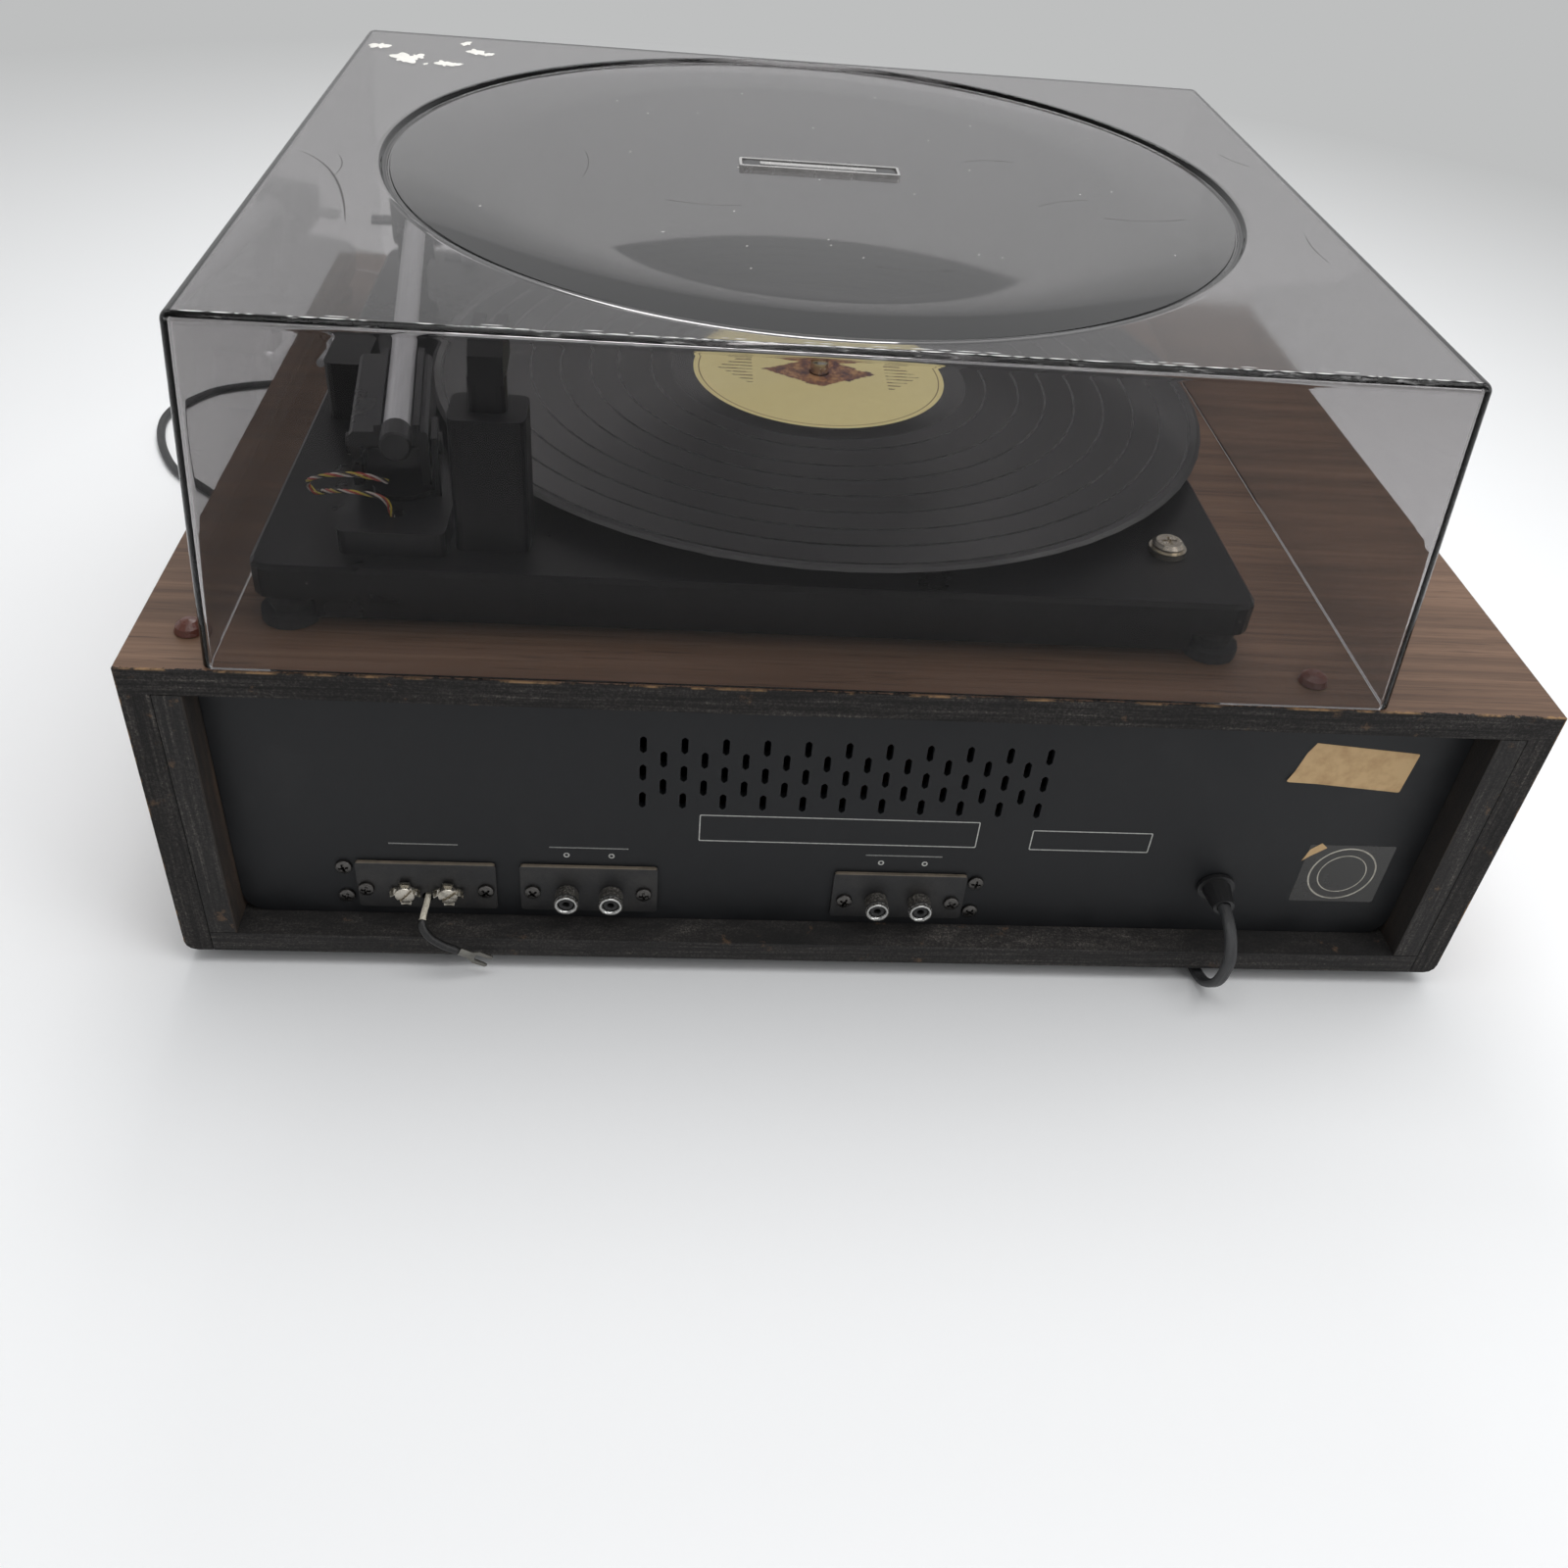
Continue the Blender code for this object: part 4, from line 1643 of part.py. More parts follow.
def make_inside(steel, core, board_look, light_metal):
    """The chassis tray with the transformer, the circuit board and the tuning capacitor on it."""
    front, rear = back(CHASSIS_FRONT), back(CHASSIS_REAR)
    low, floor = up(ROOM_FOOT), up(CHASSIS_TOP)
    lip = floor + CHASSIS_LIP
    tray = [(front, low), (rear, low), (rear, lip), (rear - CHASSIS_SHEET, lip)]
    tray += [(rear - CHASSIS_SHEET, floor), (front + CHASSIS_SHEET, floor)]
    tray += [(front + CHASSIS_SHEET, up(CHASSIS_WALL)), (front, up(CHASSIS_WALL))]
    piece("chassis", prism(tray, -CHASSIS_HALF_WIDTH, CHASSIS_HALF_WIDTH, "x"), steel)

    base = floor + SEAT
    left, right = TRANSFORMER_LEFT, TRANSFORMER_LEFT + TRANSFORMER_WIDTH
    near, far = back(TRANSFORMER_REAR + TRANSFORMER_DEPTH), back(TRANSFORMER_REAR)
    middle = base + TRANSFORMER_HEIGHT / 2
    winding = prism(
        rectangle(
            left + COIL_OVERHANG,
            right - COIL_OVERHANG,
            middle - COIL_HEIGHT / 2,
            middle + COIL_HEIGHT / 2,
            COIL_OVERHANG,
        ),
        near - COIL_OVERHANG,
        far + COIL_OVERHANG,
        "y",
    )
    stack = box(left, right, near, far, base, base + TRANSFORMER_HEIGHT)
    piece("transformer", stack, core, add=[winding])

    near, far = back(BOARD_FRONT), back(BOARD_REAR)
    sheet = base + BOARD_LIFT
    top = sheet + BOARD_SHEET

    def place(share_x, share_y):
        return BOARD_LEFT + (BOARD_RIGHT - BOARD_LEFT) * share_x, near + (far - near) * share_y

    parts = []
    for x in (BOARD_LEFT + BOARD_POST_INSET, BOARD_RIGHT - BOARD_POST_INSET):
        for y in (near + BOARD_POST_INSET, far - BOARD_POST_INSET):
            profile = [(0, base), (BOARD_POST_RADIUS, base)]
            profile += [(BOARD_POST_RADIUS, sheet + SEAT), (0, sheet + SEAT)]
            parts.append(turned(profile, (x, y, 0), steps=COUNT_SMALL))
    for shares in CAN_SHARES:
        x, y = place(*shares)
        profile = [(0, top - SEAT), (CAN_RADIUS, top - SEAT), (CAN_RADIUS, top + CAN_HEIGHT - CAN_EDGE)]
        profile += [(CAN_RADIUS - CAN_EDGE, top + CAN_HEIGHT), (0, top + CAN_HEIGHT)]
        parts.append(turned(profile, (x, y, 0), steps=COUNT_JACK))
    for shares in FILTER_SHARES:
        x, y = place(*shares)
        side = FILTER_SIDE / 2
        parts.append(box(x - side, x + side, y - side, y + side, top - SEAT, top + FILTER_HEIGHT))
    start, end = (place(*shares) for shares in SINK_SHARES)
    parts.append(box(start[0], end[0], start[1], start[1] + SINK_THICKNESS, top - SEAT, top + SINK_HEIGHT))
    panel = box(BOARD_LEFT, BOARD_RIGHT, near, far, sheet, top)
    piece("circuit_board", panel, board_look, add=[several(parts)])

    near, far = back(TUNER_INSET + TUNER_DEPTH / 2), back(TUNER_INSET - TUNER_DEPTH / 2)
    left, right = TUNER_X - TUNER_WIDTH / 2, TUNER_X + TUNER_WIDTH / 2
    frame = box(left, right, near, far, base, base + TUNER_HEIGHT)
    pitch = (TUNER_DEPTH - TUNER_SHEET) / TUNER_PLATES
    gaps = [
        box(
            left + TUNER_SHEET,
            right + OVERRUN,
            near + TUNER_SHEET + i * pitch,
            near + (i + 1) * pitch,
            base + TUNER_SHEET,
            base + TUNER_HEIGHT + OVERRUN,
        )
        for i in range(TUNER_PLATES)
    ]
    drum_back = -2 * SEAT
    drum_front = drum_back - TUNER_DRUM
    drum = [(0, drum_front), (TUNER_DRUM_RADIUS, drum_front), (TUNER_DRUM_RADIUS, drum_back)]
    drum += [(SHAFT_RADIUS, drum_back), (SHAFT_RADIUS, TUNER_SHEET / 2), (0, TUNER_SHEET / 2)]
    axis = (TUNER_X, near, base + TUNER_HEIGHT / 2)
    piece("tuning_capacitor", frame, light_metal, add=[turned(drum, axis, "y")], cut=[several(gaps)])


def main():
    clear_scene()
    walnut = material("walnut_wrap", (0.16, 0.075, 0.045), 0.45)
    raw_board = material("painted_board_edge", (0.02, 0.018, 0.017), 0.85)
    black_steel = material("black_panel", (0.018, 0.018, 0.02), 0.5, 0.3)
    black_plastic = material("black_plastic", (0.012, 0.012, 0.013), 0.3)
    dull_plastic = material("dull_plastic", (0.02, 0.02, 0.02), 0.6)
    rubber = material("rubber", (0.02, 0.02, 0.02), 0.8)
    brown = material("brown_bumper", (0.09, 0.03, 0.02), 0.4)
    nickel = material("nickel", (0.65, 0.63, 0.6), 0.25, 1.0)
    chrome = material("chrome", (0.8, 0.8, 0.8), 0.1, 1.0)
    steel = material("zinc_steel", (0.5, 0.5, 0.48), 0.45, 1.0)
    cord_cover = material("cord_cover", (0.03, 0.03, 0.032), 0.55)
    lead_cover = material("lead_cover", (0.05, 0.05, 0.05), 0.6)
    thin_wires = material("thin_wires", (0.5, 0.35, 0.1), 0.5)
    cast = material("cast_aluminium", (0.6, 0.6, 0.6), 0.4, 1.0)
    silver = material("silver_tube", (0.62, 0.62, 0.62), 0.35, 0.8)
    vinyl = material("vinyl", (0.01, 0.01, 0.011), 0.25)
    clear = material("smoked_clear", (0.45, 0.43, 0.42), 0.1)
    dial_clear = material("dial_clear", (0.3, 0.35, 0.35), 0.1)
    red = material("pointer_red", (0.6, 0.05, 0.03), 0.4)
    knob_metal = material("spun_aluminium", (0.7, 0.7, 0.68), 0.3, 1.0)
    core = material("transformer_core", (0.12, 0.12, 0.13), 0.6, 0.5)
    brown_board = material("circuit_board", (0.16, 0.1, 0.03), 0.6)
    make_cabinet(walnut, raw_board, rubber, brown)
    make_rear(black_steel, nickel, dull_plastic)
    make_cord(cord_cover)
    make_aerial_lead(lead_cover, nickel)
    make_deck(black_plastic, rubber, nickel)
    make_turntable(steel, cast, rubber, vinyl, nickel, dull_plastic)
    make_arm_stand(black_plastic, thin_wires, dull_plastic)
    make_arm(dull_plastic, silver)
    make_levers(chrome, dull_plastic)
    make_dust_cover(clear)
    make_front(black_plastic, dial_clear, red, knob_metal)
    make_inside(steel, core, brown_board, cast)


main()
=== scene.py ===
"""Looks for the record player stereo system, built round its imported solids.

The row frame is in metres: x along the cabinet, the rear face towards +y, z up from the table.
"""

import math

import bmesh
import bpy
import numpy as np
from mathutils import Matrix, Vector


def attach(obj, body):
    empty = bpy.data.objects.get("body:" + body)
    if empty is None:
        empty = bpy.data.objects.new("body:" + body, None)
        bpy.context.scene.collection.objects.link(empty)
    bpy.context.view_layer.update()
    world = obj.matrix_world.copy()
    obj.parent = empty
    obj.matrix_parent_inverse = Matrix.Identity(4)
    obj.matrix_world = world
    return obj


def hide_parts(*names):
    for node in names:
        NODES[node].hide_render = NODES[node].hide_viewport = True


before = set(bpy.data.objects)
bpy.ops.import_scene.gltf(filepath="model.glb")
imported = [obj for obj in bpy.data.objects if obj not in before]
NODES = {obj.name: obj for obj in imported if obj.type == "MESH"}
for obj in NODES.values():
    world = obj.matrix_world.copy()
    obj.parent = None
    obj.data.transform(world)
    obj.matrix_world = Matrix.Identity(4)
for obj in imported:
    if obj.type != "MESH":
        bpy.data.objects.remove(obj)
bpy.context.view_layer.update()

# Places taken from the cabinet's solids
PANEL_FACE = 0.1715
PLATE_FACE = 0.1730
TOP = 0.1305
JACK_END = 0.1795
JACK_Z = 0.0290
TERMINAL_Z = 0.0288
DIAL_FLOOR = -0.1595
FASCIA_FACE = -0.1675
CONTROL_Z = 0.0430
KNOBS = (("function", -0.115, 0.011), ("tone", -0.055, 0.011), ("volume", 0.005, 0.011), ("tuning", 0.150, 0.019))
TURNTABLE = (0.0083, 0.0100)

# Lid: left, right, front and rear of its foot and of its top, its heights and wall, its round field, the hair that lies
# on it, how fast its smoke tint darkens, and how much of the room its surface mirrors
LID_FOOT_EDGES = (-0.1736, 0.2084, -0.1475, 0.1832)
LID_TOP_EDGES = (-0.1666, 0.2014, -0.1385, 0.1805)
LID_FOOT, LID_TOP, LID_WALL = 0.1308, 0.2425, 0.0025
LID_FIELD_MIDDLE, LID_FIELD_RIM = (0.0168, 0.0190), 0.1508
LID_HAIR = ((0.1926, 0.0383), (0.1760, 0.0520), (0.1667, 0.1032))
LID_SMOKE = 200.0
LID_SHINE = (0.2, 0.2, 0.2, 1.0)

# Lamps: name, place, width and height, watts. Sky: its strength as light, and where it is seen by height.
# Table: how far it reaches, and between which distances from the object it turns grey.
LAMPS = (
    ("overhead", (-0.20, 0.05, 1.9), (1.8, 1.8), 29.5),
    ("behind", (0.05, -0.95, 1.25), (0.6, 0.5), 4.5),
    ("beside", (-1.6, 1.2, 1.3), (1.0, 1.0), 8.0),
)
SKY_LIGHT = 0.34
SKY_SEEN = ((0, 0.53), (0.12, 0.60), (0.22, 0.78), (0.38, 0.78), (0.55, 0.45), (1, 0.45))
TABLE_REACH, TABLE_FADES = 8, (0.45, 1.25)

# Photographed view: where the lens stands, how it is turned, and its focal length for a 36 mm wide picture
EYE = (0.06616, 0.55392, 0.39757)
EYE_YAW, EYE_PITCH, EYE_ROLL = -0.1107, 0.6862, 0.0996
EYE_LENS = 32.96

# Mains cord, flat with two cores, along the same route as its solids
CORD_WIDTH = 0.0045
CORD_THICK = 0.0034
CORD_REST = 0.0025
CORD_ROUTE = [
    (-0.1420, 0.1604, 0.0395), (-0.1420, 0.1715, 0.0395), (-0.1420, 0.1835, 0.0395), (-0.1422, 0.1915, 0.0377),
    (-0.1424, 0.1974, 0.0328), (-0.1427, 0.1995, 0.0260), (-0.1428, 0.1968, 0.0143), (-0.1426, 0.1895, 0.0057),
    (-0.1420, 0.1828, 0.0029), (-0.1400, 0.1710, 0.0025), (-0.1300, 0.1560, 0.0025), (-0.1000, 0.1380, 0.0025),
    (-0.0600, 0.1150, 0.0025), (-0.0200, 0.0835, 0.0025), (0.0300, 0.0480, 0.0025), (0.0800, 0.0135, 0.0025),
    (0.1300, -0.0190, 0.0025), (0.1800, -0.0515, 0.0025), (0.2300, -0.0870, 0.0025), (0.2800, -0.1270, 0.0025),
    (0.3198, -0.1638, 0.0025), (0.3398, -0.1852, 0.0025), (0.3550, -0.2160, 0.0025), (0.3612, -0.2470, 0.0025),
    (0.3540, -0.2740, 0.0025), (0.3350, -0.2925, 0.0025), (0.3000, -0.3020, 0.0025), (0.2500, -0.2930, 0.0025),
    (0.2050, -0.2790, 0.0025), (0.1600, -0.2750, 0.0025),
]
COIL_CENTRE = (0.110, -0.2415)
COIL_INNER, COIL_OUTER = 0.0217, 0.0333
COIL_LAYER = 0.0057
COIL_TURNS = 2
COIL_TAIL = 0.027

# Aerial lead and the arm's four thin wires
LEAD_ROUTE = [
    (0.1491, 0.1655, 0.0258), (0.1491, 0.1735, 0.0258), (0.1491, 0.1780, 0.0261), (0.1492, 0.1838, 0.0268),
    (0.1490, 0.1876, 0.0250), (0.1465, 0.1890, 0.0212), (0.1420, 0.1890, 0.0172), (0.1372, 0.1885, 0.0142),
]
WIRES_ROUTE = [
    (0.1560, 0.1318, 0.0405), (0.1590, 0.1335, 0.0425), (0.1660, 0.1345, 0.0440), (0.1745, 0.1320, 0.0420),
    (0.1815, 0.1265, 0.0375), (0.1840, 0.1220, 0.0330), (0.1815, 0.1230, 0.0310), (0.1760, 0.1285, 0.0345),
    (0.1690, 0.1355, 0.0385), (0.1610, 0.1385, 0.0395), (0.1563, 0.1375, 0.0370), (0.1549, 0.1366, 0.0320),
    (0.1549, 0.1365, 0.0270),
]

# Screws on the rear: x, z, and 1 where the head sits on a plate and 0 where it sits on the panel
PANEL_SCREWS = [
    (0.1706, 0.0297, 1), (0.1281, 0.0297, 1), (0.1778, 0.0389, 0), (0.1781, 0.0249, 0), (0.1114, 0.0298, 1),
    (0.0712, 0.0298, 1), (-0.0027, 0.0289, 1), (-0.0429, 0.0289, 1), (-0.0510, 0.0381, 0), (-0.0509, 0.0238, 0),
]
JACKS_X = (0.0830, 0.0990, -0.03075, -0.01465)
TERMINALS_X = (0.1415, 0.1568)


def shade(red, green, blue):
    """A colour read off as 0 to 255, as the linear numbers a shader takes."""
    values = np.array((red, green, blue)) / 255
    linear = np.where(values <= 0.04045, values / 12.92, ((values + 0.055) / 1.055) ** 2.4)
    return (*linear.tolist(), 1.0)


def toned(colour, times, plus=0.0):
    """The same colour darker or paler, held at full white."""
    return (*(min(1.0, channel * times + plus) for channel in colour[:3]), 1.0)


class Number:
    """A number in a node tree: arithmetic on it adds the Math nodes that work it out."""

    def __init__(self, nodes, socket):
        self.nodes, self.socket = nodes, socket

    def __add__(self, other):
        return self.nodes.math("ADD", self, other)

    def __sub__(self, other):
        return self.nodes.math("SUBTRACT", self, other)

    def __rsub__(self, other):
        return self.nodes.math("SUBTRACT", other, self)

    def __mul__(self, other):
        return self.nodes.math("MULTIPLY", self, other)

    def __pow__(self, other):
        return self.nodes.math("POWER", self, other)

    def __gt__(self, other):
        return self.nodes.math("GREATER_THAN", self, other)

    def __abs__(self):
        return self.nodes.math("ABSOLUTE", self)

    def most(self, other):
        return self.nodes.math("MAXIMUM", self, other)

    def least(self, other):
        return self.nodes.math("MINIMUM", self, other)


class Nodes:
    """Short ways to add nodes to a tree and to join them."""

    def __init__(self, tree):
        self.tree = tree

    def feed(self, socket, value):
        if isinstance(value, Number):
            value = value.socket
        if isinstance(value, bpy.types.NodeSocket):
            self.tree.links.new(value, socket)
        elif value is not None:
            socket.default_value = value

    def node(self, kind, *values, **named):
        """A new node, its inputs fed in order and then by name, with _ for each space in a name."""
        made = self.tree.nodes.new(kind)
        for socket, value in zip(made.inputs, values):
            self.feed(socket, value)
        for name, value in named.items():
            self.feed(made.inputs[name.replace("_", " ")], value)
        return made

    def math(self, operation, *values):
        node = self.node("ShaderNodeMath", *values)
        node.operation = operation
        return Number(self, node.outputs[0])

    def length(self, first, second):
        return self.math("SQRT", first**2.0 + second**2.0)

    def parts(self, vector):
        node = self.node("ShaderNodeSeparateXYZ", vector)
        return [Number(self, socket) for socket in node.outputs]

    def seen(self):
        """1 for a ray from the camera, or one that was mirrored or let through on its way, and 0 otherwise."""
        rays = self.node("ShaderNodeLightPath").outputs
        most = Number(self, rays["Is Camera Ray"])
        for kind in ("Is Glossy Ray", "Is Transmission Ray"):
            most = most.most(rays[kind])
        return most

    def steps(self, value, *stops):
        """A run of colours: (place, colour) pairs."""
        node = self.node("ShaderNodeValToRGB", value)
        ramp = node.color_ramp.elements
        while len(ramp) < len(stops):
            ramp.new(0.5)
        for element, (position, colour) in zip(ramp, stops):
            element.position = position
            element.color = colour
        return node.outputs[0]


class Look(Nodes):
    """A material being mixed: one Principled shader, and short ways to add what feeds it."""

    def __init__(self, name, colour, roughness=0.5, metallic=0.0, **sockets):
        self.material = bpy.data.materials.new(name)
        self.material.use_nodes = True
        super().__init__(self.material.node_tree)
        self.shader = self.tree.nodes["Principled BSDF"]
        self.out = self.tree.nodes["Material Output"]
        self.set(Base_Color=colour, Roughness=roughness, Metallic=metallic, **sockets)
        self.material.diffuse_color = colour

    def set(self, **sockets):
        for name, value in sockets.items():
            self.feed(self.shader.inputs[name.replace("_", " ")], value)

    def place(self, scale=1, shift=(0, 0, 0)):
        """The point on the piece, scaled and shifted."""
        source = self.node("ShaderNodeTexCoord").outputs["Object"]
        scale = scale if isinstance(scale, tuple) else (scale, scale, scale)
        return self.node("ShaderNodeMapping", Vector=source, Location=shift, Scale=scale).outputs["Vector"]

    def along(self, scale=(1, 1, 1)):
        """The piece's own UV map, scaled: along a cord first, and round it second."""
        source = self.node("ShaderNodeUVMap").outputs["UV"]
        return self.node("ShaderNodeMapping", Vector=source, Scale=scale).outputs["Vector"]

    def noise(self, over, detail=4, roughness=0.55, distortion=0):
        """Noise over the piece at a scale, or over a vector that has its scale already."""
        vector = over if isinstance(over, bpy.types.NodeSocket) else self.place(over)
        values = {"Detail": detail, "Roughness": roughness, "Distortion": distortion}
        return Number(self, self.node("ShaderNodeTexNoise", Vector=vector, Scale=1, **values).outputs["Fac"])

    def cells(self, scale):
        node = self.node("ShaderNodeTexVoronoi", Vector=self.place(), Scale=scale)
        return Number(self, node.outputs["Distance"])

    def between(self, value, low, high, to_low=0.0, to_high=1.0):
        """A value's place between two limits, held at both ends."""
        ends = {"From_Min": low, "From_Max": high, "To_Min": to_low, "To_Max": to_high}
        return Number(self, self.node("ShaderNodeMapRange", Value=value, **ends).outputs[0])

    def fall(self, value, low, high):
        """1 below the first limit and 0 above the second."""
        return self.between(value, low, high, 1.0, 0.0)

    def ease(self, share, low, high):
        """From one number at no share to another at the whole."""
        return self.between(share, 0.0, 1.0, low, high)

    def blend(self, share, first, second):
        node = self.node("ShaderNodeMix")
        node.data_type = "RGBA"
        for index, value in ((0, share), (6, first), (7, second)):
            self.feed(node.inputs[index], value)
        return node.outputs[2]

    def patches(self, noise, low, high, share, first, second):
        """One colour with patches of another where the noise is high, up to a share of it."""
        return self.blend(self.between(noise, low, high, 0.0, share), first, second)

    def done(self, colour, bump=None, **sockets):
        """The material, given what feeds its colour, its bump (height, depth, strength) and its other sockets."""
        self.set(Base_Color=colour, **sockets)
        if bump:
            height, depth, strength = bump
            bent = self.node("ShaderNodeBump", Strength=strength, Distance=depth, Height=height)
            self.set(Normal=bent.outputs[0])
        return self.material

    def radius(self, x, y):
        """How far the point is from an upright axis."""
        return self.length(*self.parts(self.place(shift=(-x, -y, 0)))[:2])

    def covered(self, share, other):
        """Another shader over the first one, by a share."""
        mix = self.node("ShaderNodeMixShader", share, self.shader.outputs[0], other.outputs[0])
        self.feed(self.out.inputs["Surface"], mix.outputs[0])

    def pass_lamps(self, tint):
        """Lamps shine through the piece: a shadow ray meets a tinted pane in place of the shader."""
        shadow = self.node("ShaderNodeLightPath").outputs["Is Shadow Ray"]
        self.covered(shadow, self.node("ShaderNodeBsdfTransparent", Color=tint))


def walnut_wrap():
    """Printed walnut over the outside of the boards, and rough black paint with worn arrises on their edges."""
    outer_side, outer_top, inner_side, inner_top, middle = 0.2346, 0.1301, 0.2254, 0.1209, 0.005
    look = Look("walnut_wrap", shade(104, 82, 68), 0.42, Specular_IOR_Level=0.35)
    streak = look.noise((4, 260, 4), 7, 0.66, 0.18)
    pore = look.noise((34, 900, 34), 3, 0.7)
    broad = look.noise((2.4, 26, 2.4), 3, 0.5, 0.9)
    grain = look.steps(
        streak * 0.6 + broad * 0.4,
        (0.34, shade(74, 54, 42)),
        (0.46, shade(98, 75, 59)),
        (0.55, shade(115, 89, 71)),
        (0.68, shade(134, 108, 88)),
    )
    grain = look.patches(pore, 0.56, 0.68, 0.62, grain, shade(66, 49, 39))
    x, y, z = look.parts(look.place())
    reach = abs(x)
    outside = (reach - outer_side).most(z - outer_top) > 0.0
    frayed = look.between(look.noise(900, 2), 0.3, 0.7, 0.1771, 0.1783)
    edge = abs(y - middle) - frayed > 0.0
    wrapped = outside * (1.0 - edge)
    level, level_height = black_board(look)
    upright, upright_height = black_board(look, (620, 60, 22))
    side = (reach - inner_side).least(inner_top - z) > 0.0
    black = look.blend(side, level, upright)
    height = look.blend(side, level_height, upright_height)
    rubbed = look.between(look.noise(60, 5, 0.7), 0.50, 0.60)
    arris = look.between((z - 0.12995).most(reach - 0.23445), 0.0, 0.0004)
    black = look.blend(rubbed * edge * arris, black, shade(146, 116, 84))
    height = look.blend(wrapped, height, pore * 0.10)
    colour = look.blend(wrapped, black, grain)
    return look.done(colour, (height, 0.0006, 0.9), Roughness=look.ease(wrapped, 0.85, 0.40))


def black_board(look, stretch=(22, 60, 620)):
    """Black paint on a sawn particle board's edge, its grit showing pale: a colour and a height."""
    coarse = look.noise(stretch, 6, 0.7)
    grit = look.noise(1250, 4, 0.75)
    lumps = look.noise(330, 5, 0.65)
    colour = look.steps(
        coarse * 0.55 + grit * 0.45,
        (0.38, shade(14, 13, 13)),
        (0.50, shade(30, 28, 27)),
        (0.58, shade(56, 53, 51)),
        (0.68, shade(112, 106, 99)),
    )
    rub = look.between(look.noise(95, 6, 0.7), 0.63, 0.70, 0.0, 0.6)
    return look.blend(rub, colour, shade(104, 80, 60)), coarse + (lumps * 0.5 + grit * 0.4)


def raw_board(name, stretch):
    """A bare board painted black, its saw marks along the board, rubbed brown in places."""
    look = Look(name, shade(38, 36, 36), 0.88)
    colour, height = black_board(look, stretch)
    return look.done(colour, (height, 0.0007, 0.95))


def batten_board():
    """An upright strip inside the opening: black on its sawn end, walnut brown on the face beside the panel."""
    look = Look("batten_board", shade(38, 36, 36), 0.85)
    black, height = black_board(look, (620, 60, 22))
    facing = look.fall(abs(look.parts(look.place())[0]), 0.2161, 0.2164)
    grain = look.noise((60, 60, 9), 6, 0.7, 0.3)
    brown = look.steps(grain, (0.36, shade(20, 17, 15)), (0.5, shade(34, 27, 22)), (0.64, shade(62, 47, 36)))
    return look.done(look.blend(facing, black, brown), (height, 0.0005, 0.8))


def panel_paint(name, colour, roughness):
    """Matt black paint on sheet, with a little dust and faint rubs."""
    look = Look(name, colour, roughness, Specular_IOR_Level=0.3)
    dust = look.noise(38, 6, 0.7)
    return look.done(
        look.patches(dust, 0.45, 0.78, 0.55, colour, toned(colour, 1.7, 0.004)),
        (look.noise(1500, 2), 0.00005, 0.5),
        Roughness=look.between(dust, 0.3, 0.7, roughness - 0.08, roughness + 0.12),
    )


def plastic(name, colour, roughness=0.3, dust=0.3, **sockets):
    """Moulded plastic with fine dust, and small rubs that dull it."""
    look = Look(name, colour, roughness, **sockets)
    cloud = look.noise(22, 5, 0.65)
    soiled = look.patches(cloud, 0.42, 0.8, dust, colour, toned(colour, 1.5, 0.006))
    spot = look.fall(look.cells(420), 0.05, 0.09) * look.between(cloud, 0.56, 0.62, 0.0, dust)
    return look.done(
        look.blend(spot, soiled, shade(150, 146, 142)),
        Roughness=look.between(cloud, 0.3, 0.75, max(0.04, roughness - 0.07), roughness + 0.10),
    )


def deck_moulding():
    """Black moulded plastic, satin, with dust lying on it."""
    look = Look("deck_moulding", shade(14, 14, 16), 0.30, Specular_IOR_Level=0.2)
    cloud = look.noise(16, 6, 0.65)
    base = look.patches(cloud, 0.42, 0.75, 0.4, shade(11, 11, 12), shade(22, 22, 24))
    spot = look.fall(look.cells(150), 0.030, 0.045) * look.between(cloud, 0.50, 0.58)
    return look.done(look.blend(spot, base, shade(150, 148, 146)), Roughness=look.between(cloud, 0.3, 0.75, 0.24, 0.40))


def metal(name, colour, roughness=0.28, stretch=300):
    """Plated or brushed metal: fine marks along one way, and dull patches."""
    look = Look(name, colour, roughness, 1.0)
    marks = look.noise(stretch, 4, 0.6)
    patch = look.between(look.noise(120, 4, 0.6), 0.45, 0.75, 0.0, 0.6)
    return look.done(
        look.blend(patch, colour, toned(colour, 0.62)),
        (marks, 0.00003, 0.6),
        Roughness=look.between(marks, 0.3, 0.7, roughness * 0.7, roughness * 1.5),
    )


def rubber(name, colour=(0.014, 0.014, 0.015, 1.0)):
    """Soft rubber, matt, with a dusty bloom."""
    look = Look(name, colour, 0.78)
    bloom = look.between(look.noise(90, 5, 0.7), 0.4, 0.8, 0.0, 0.5)
    return look.done(look.blend(bloom, colour, shade(66, 64, 62)), (look.noise(1200, 2), 0.00006, 0.5))


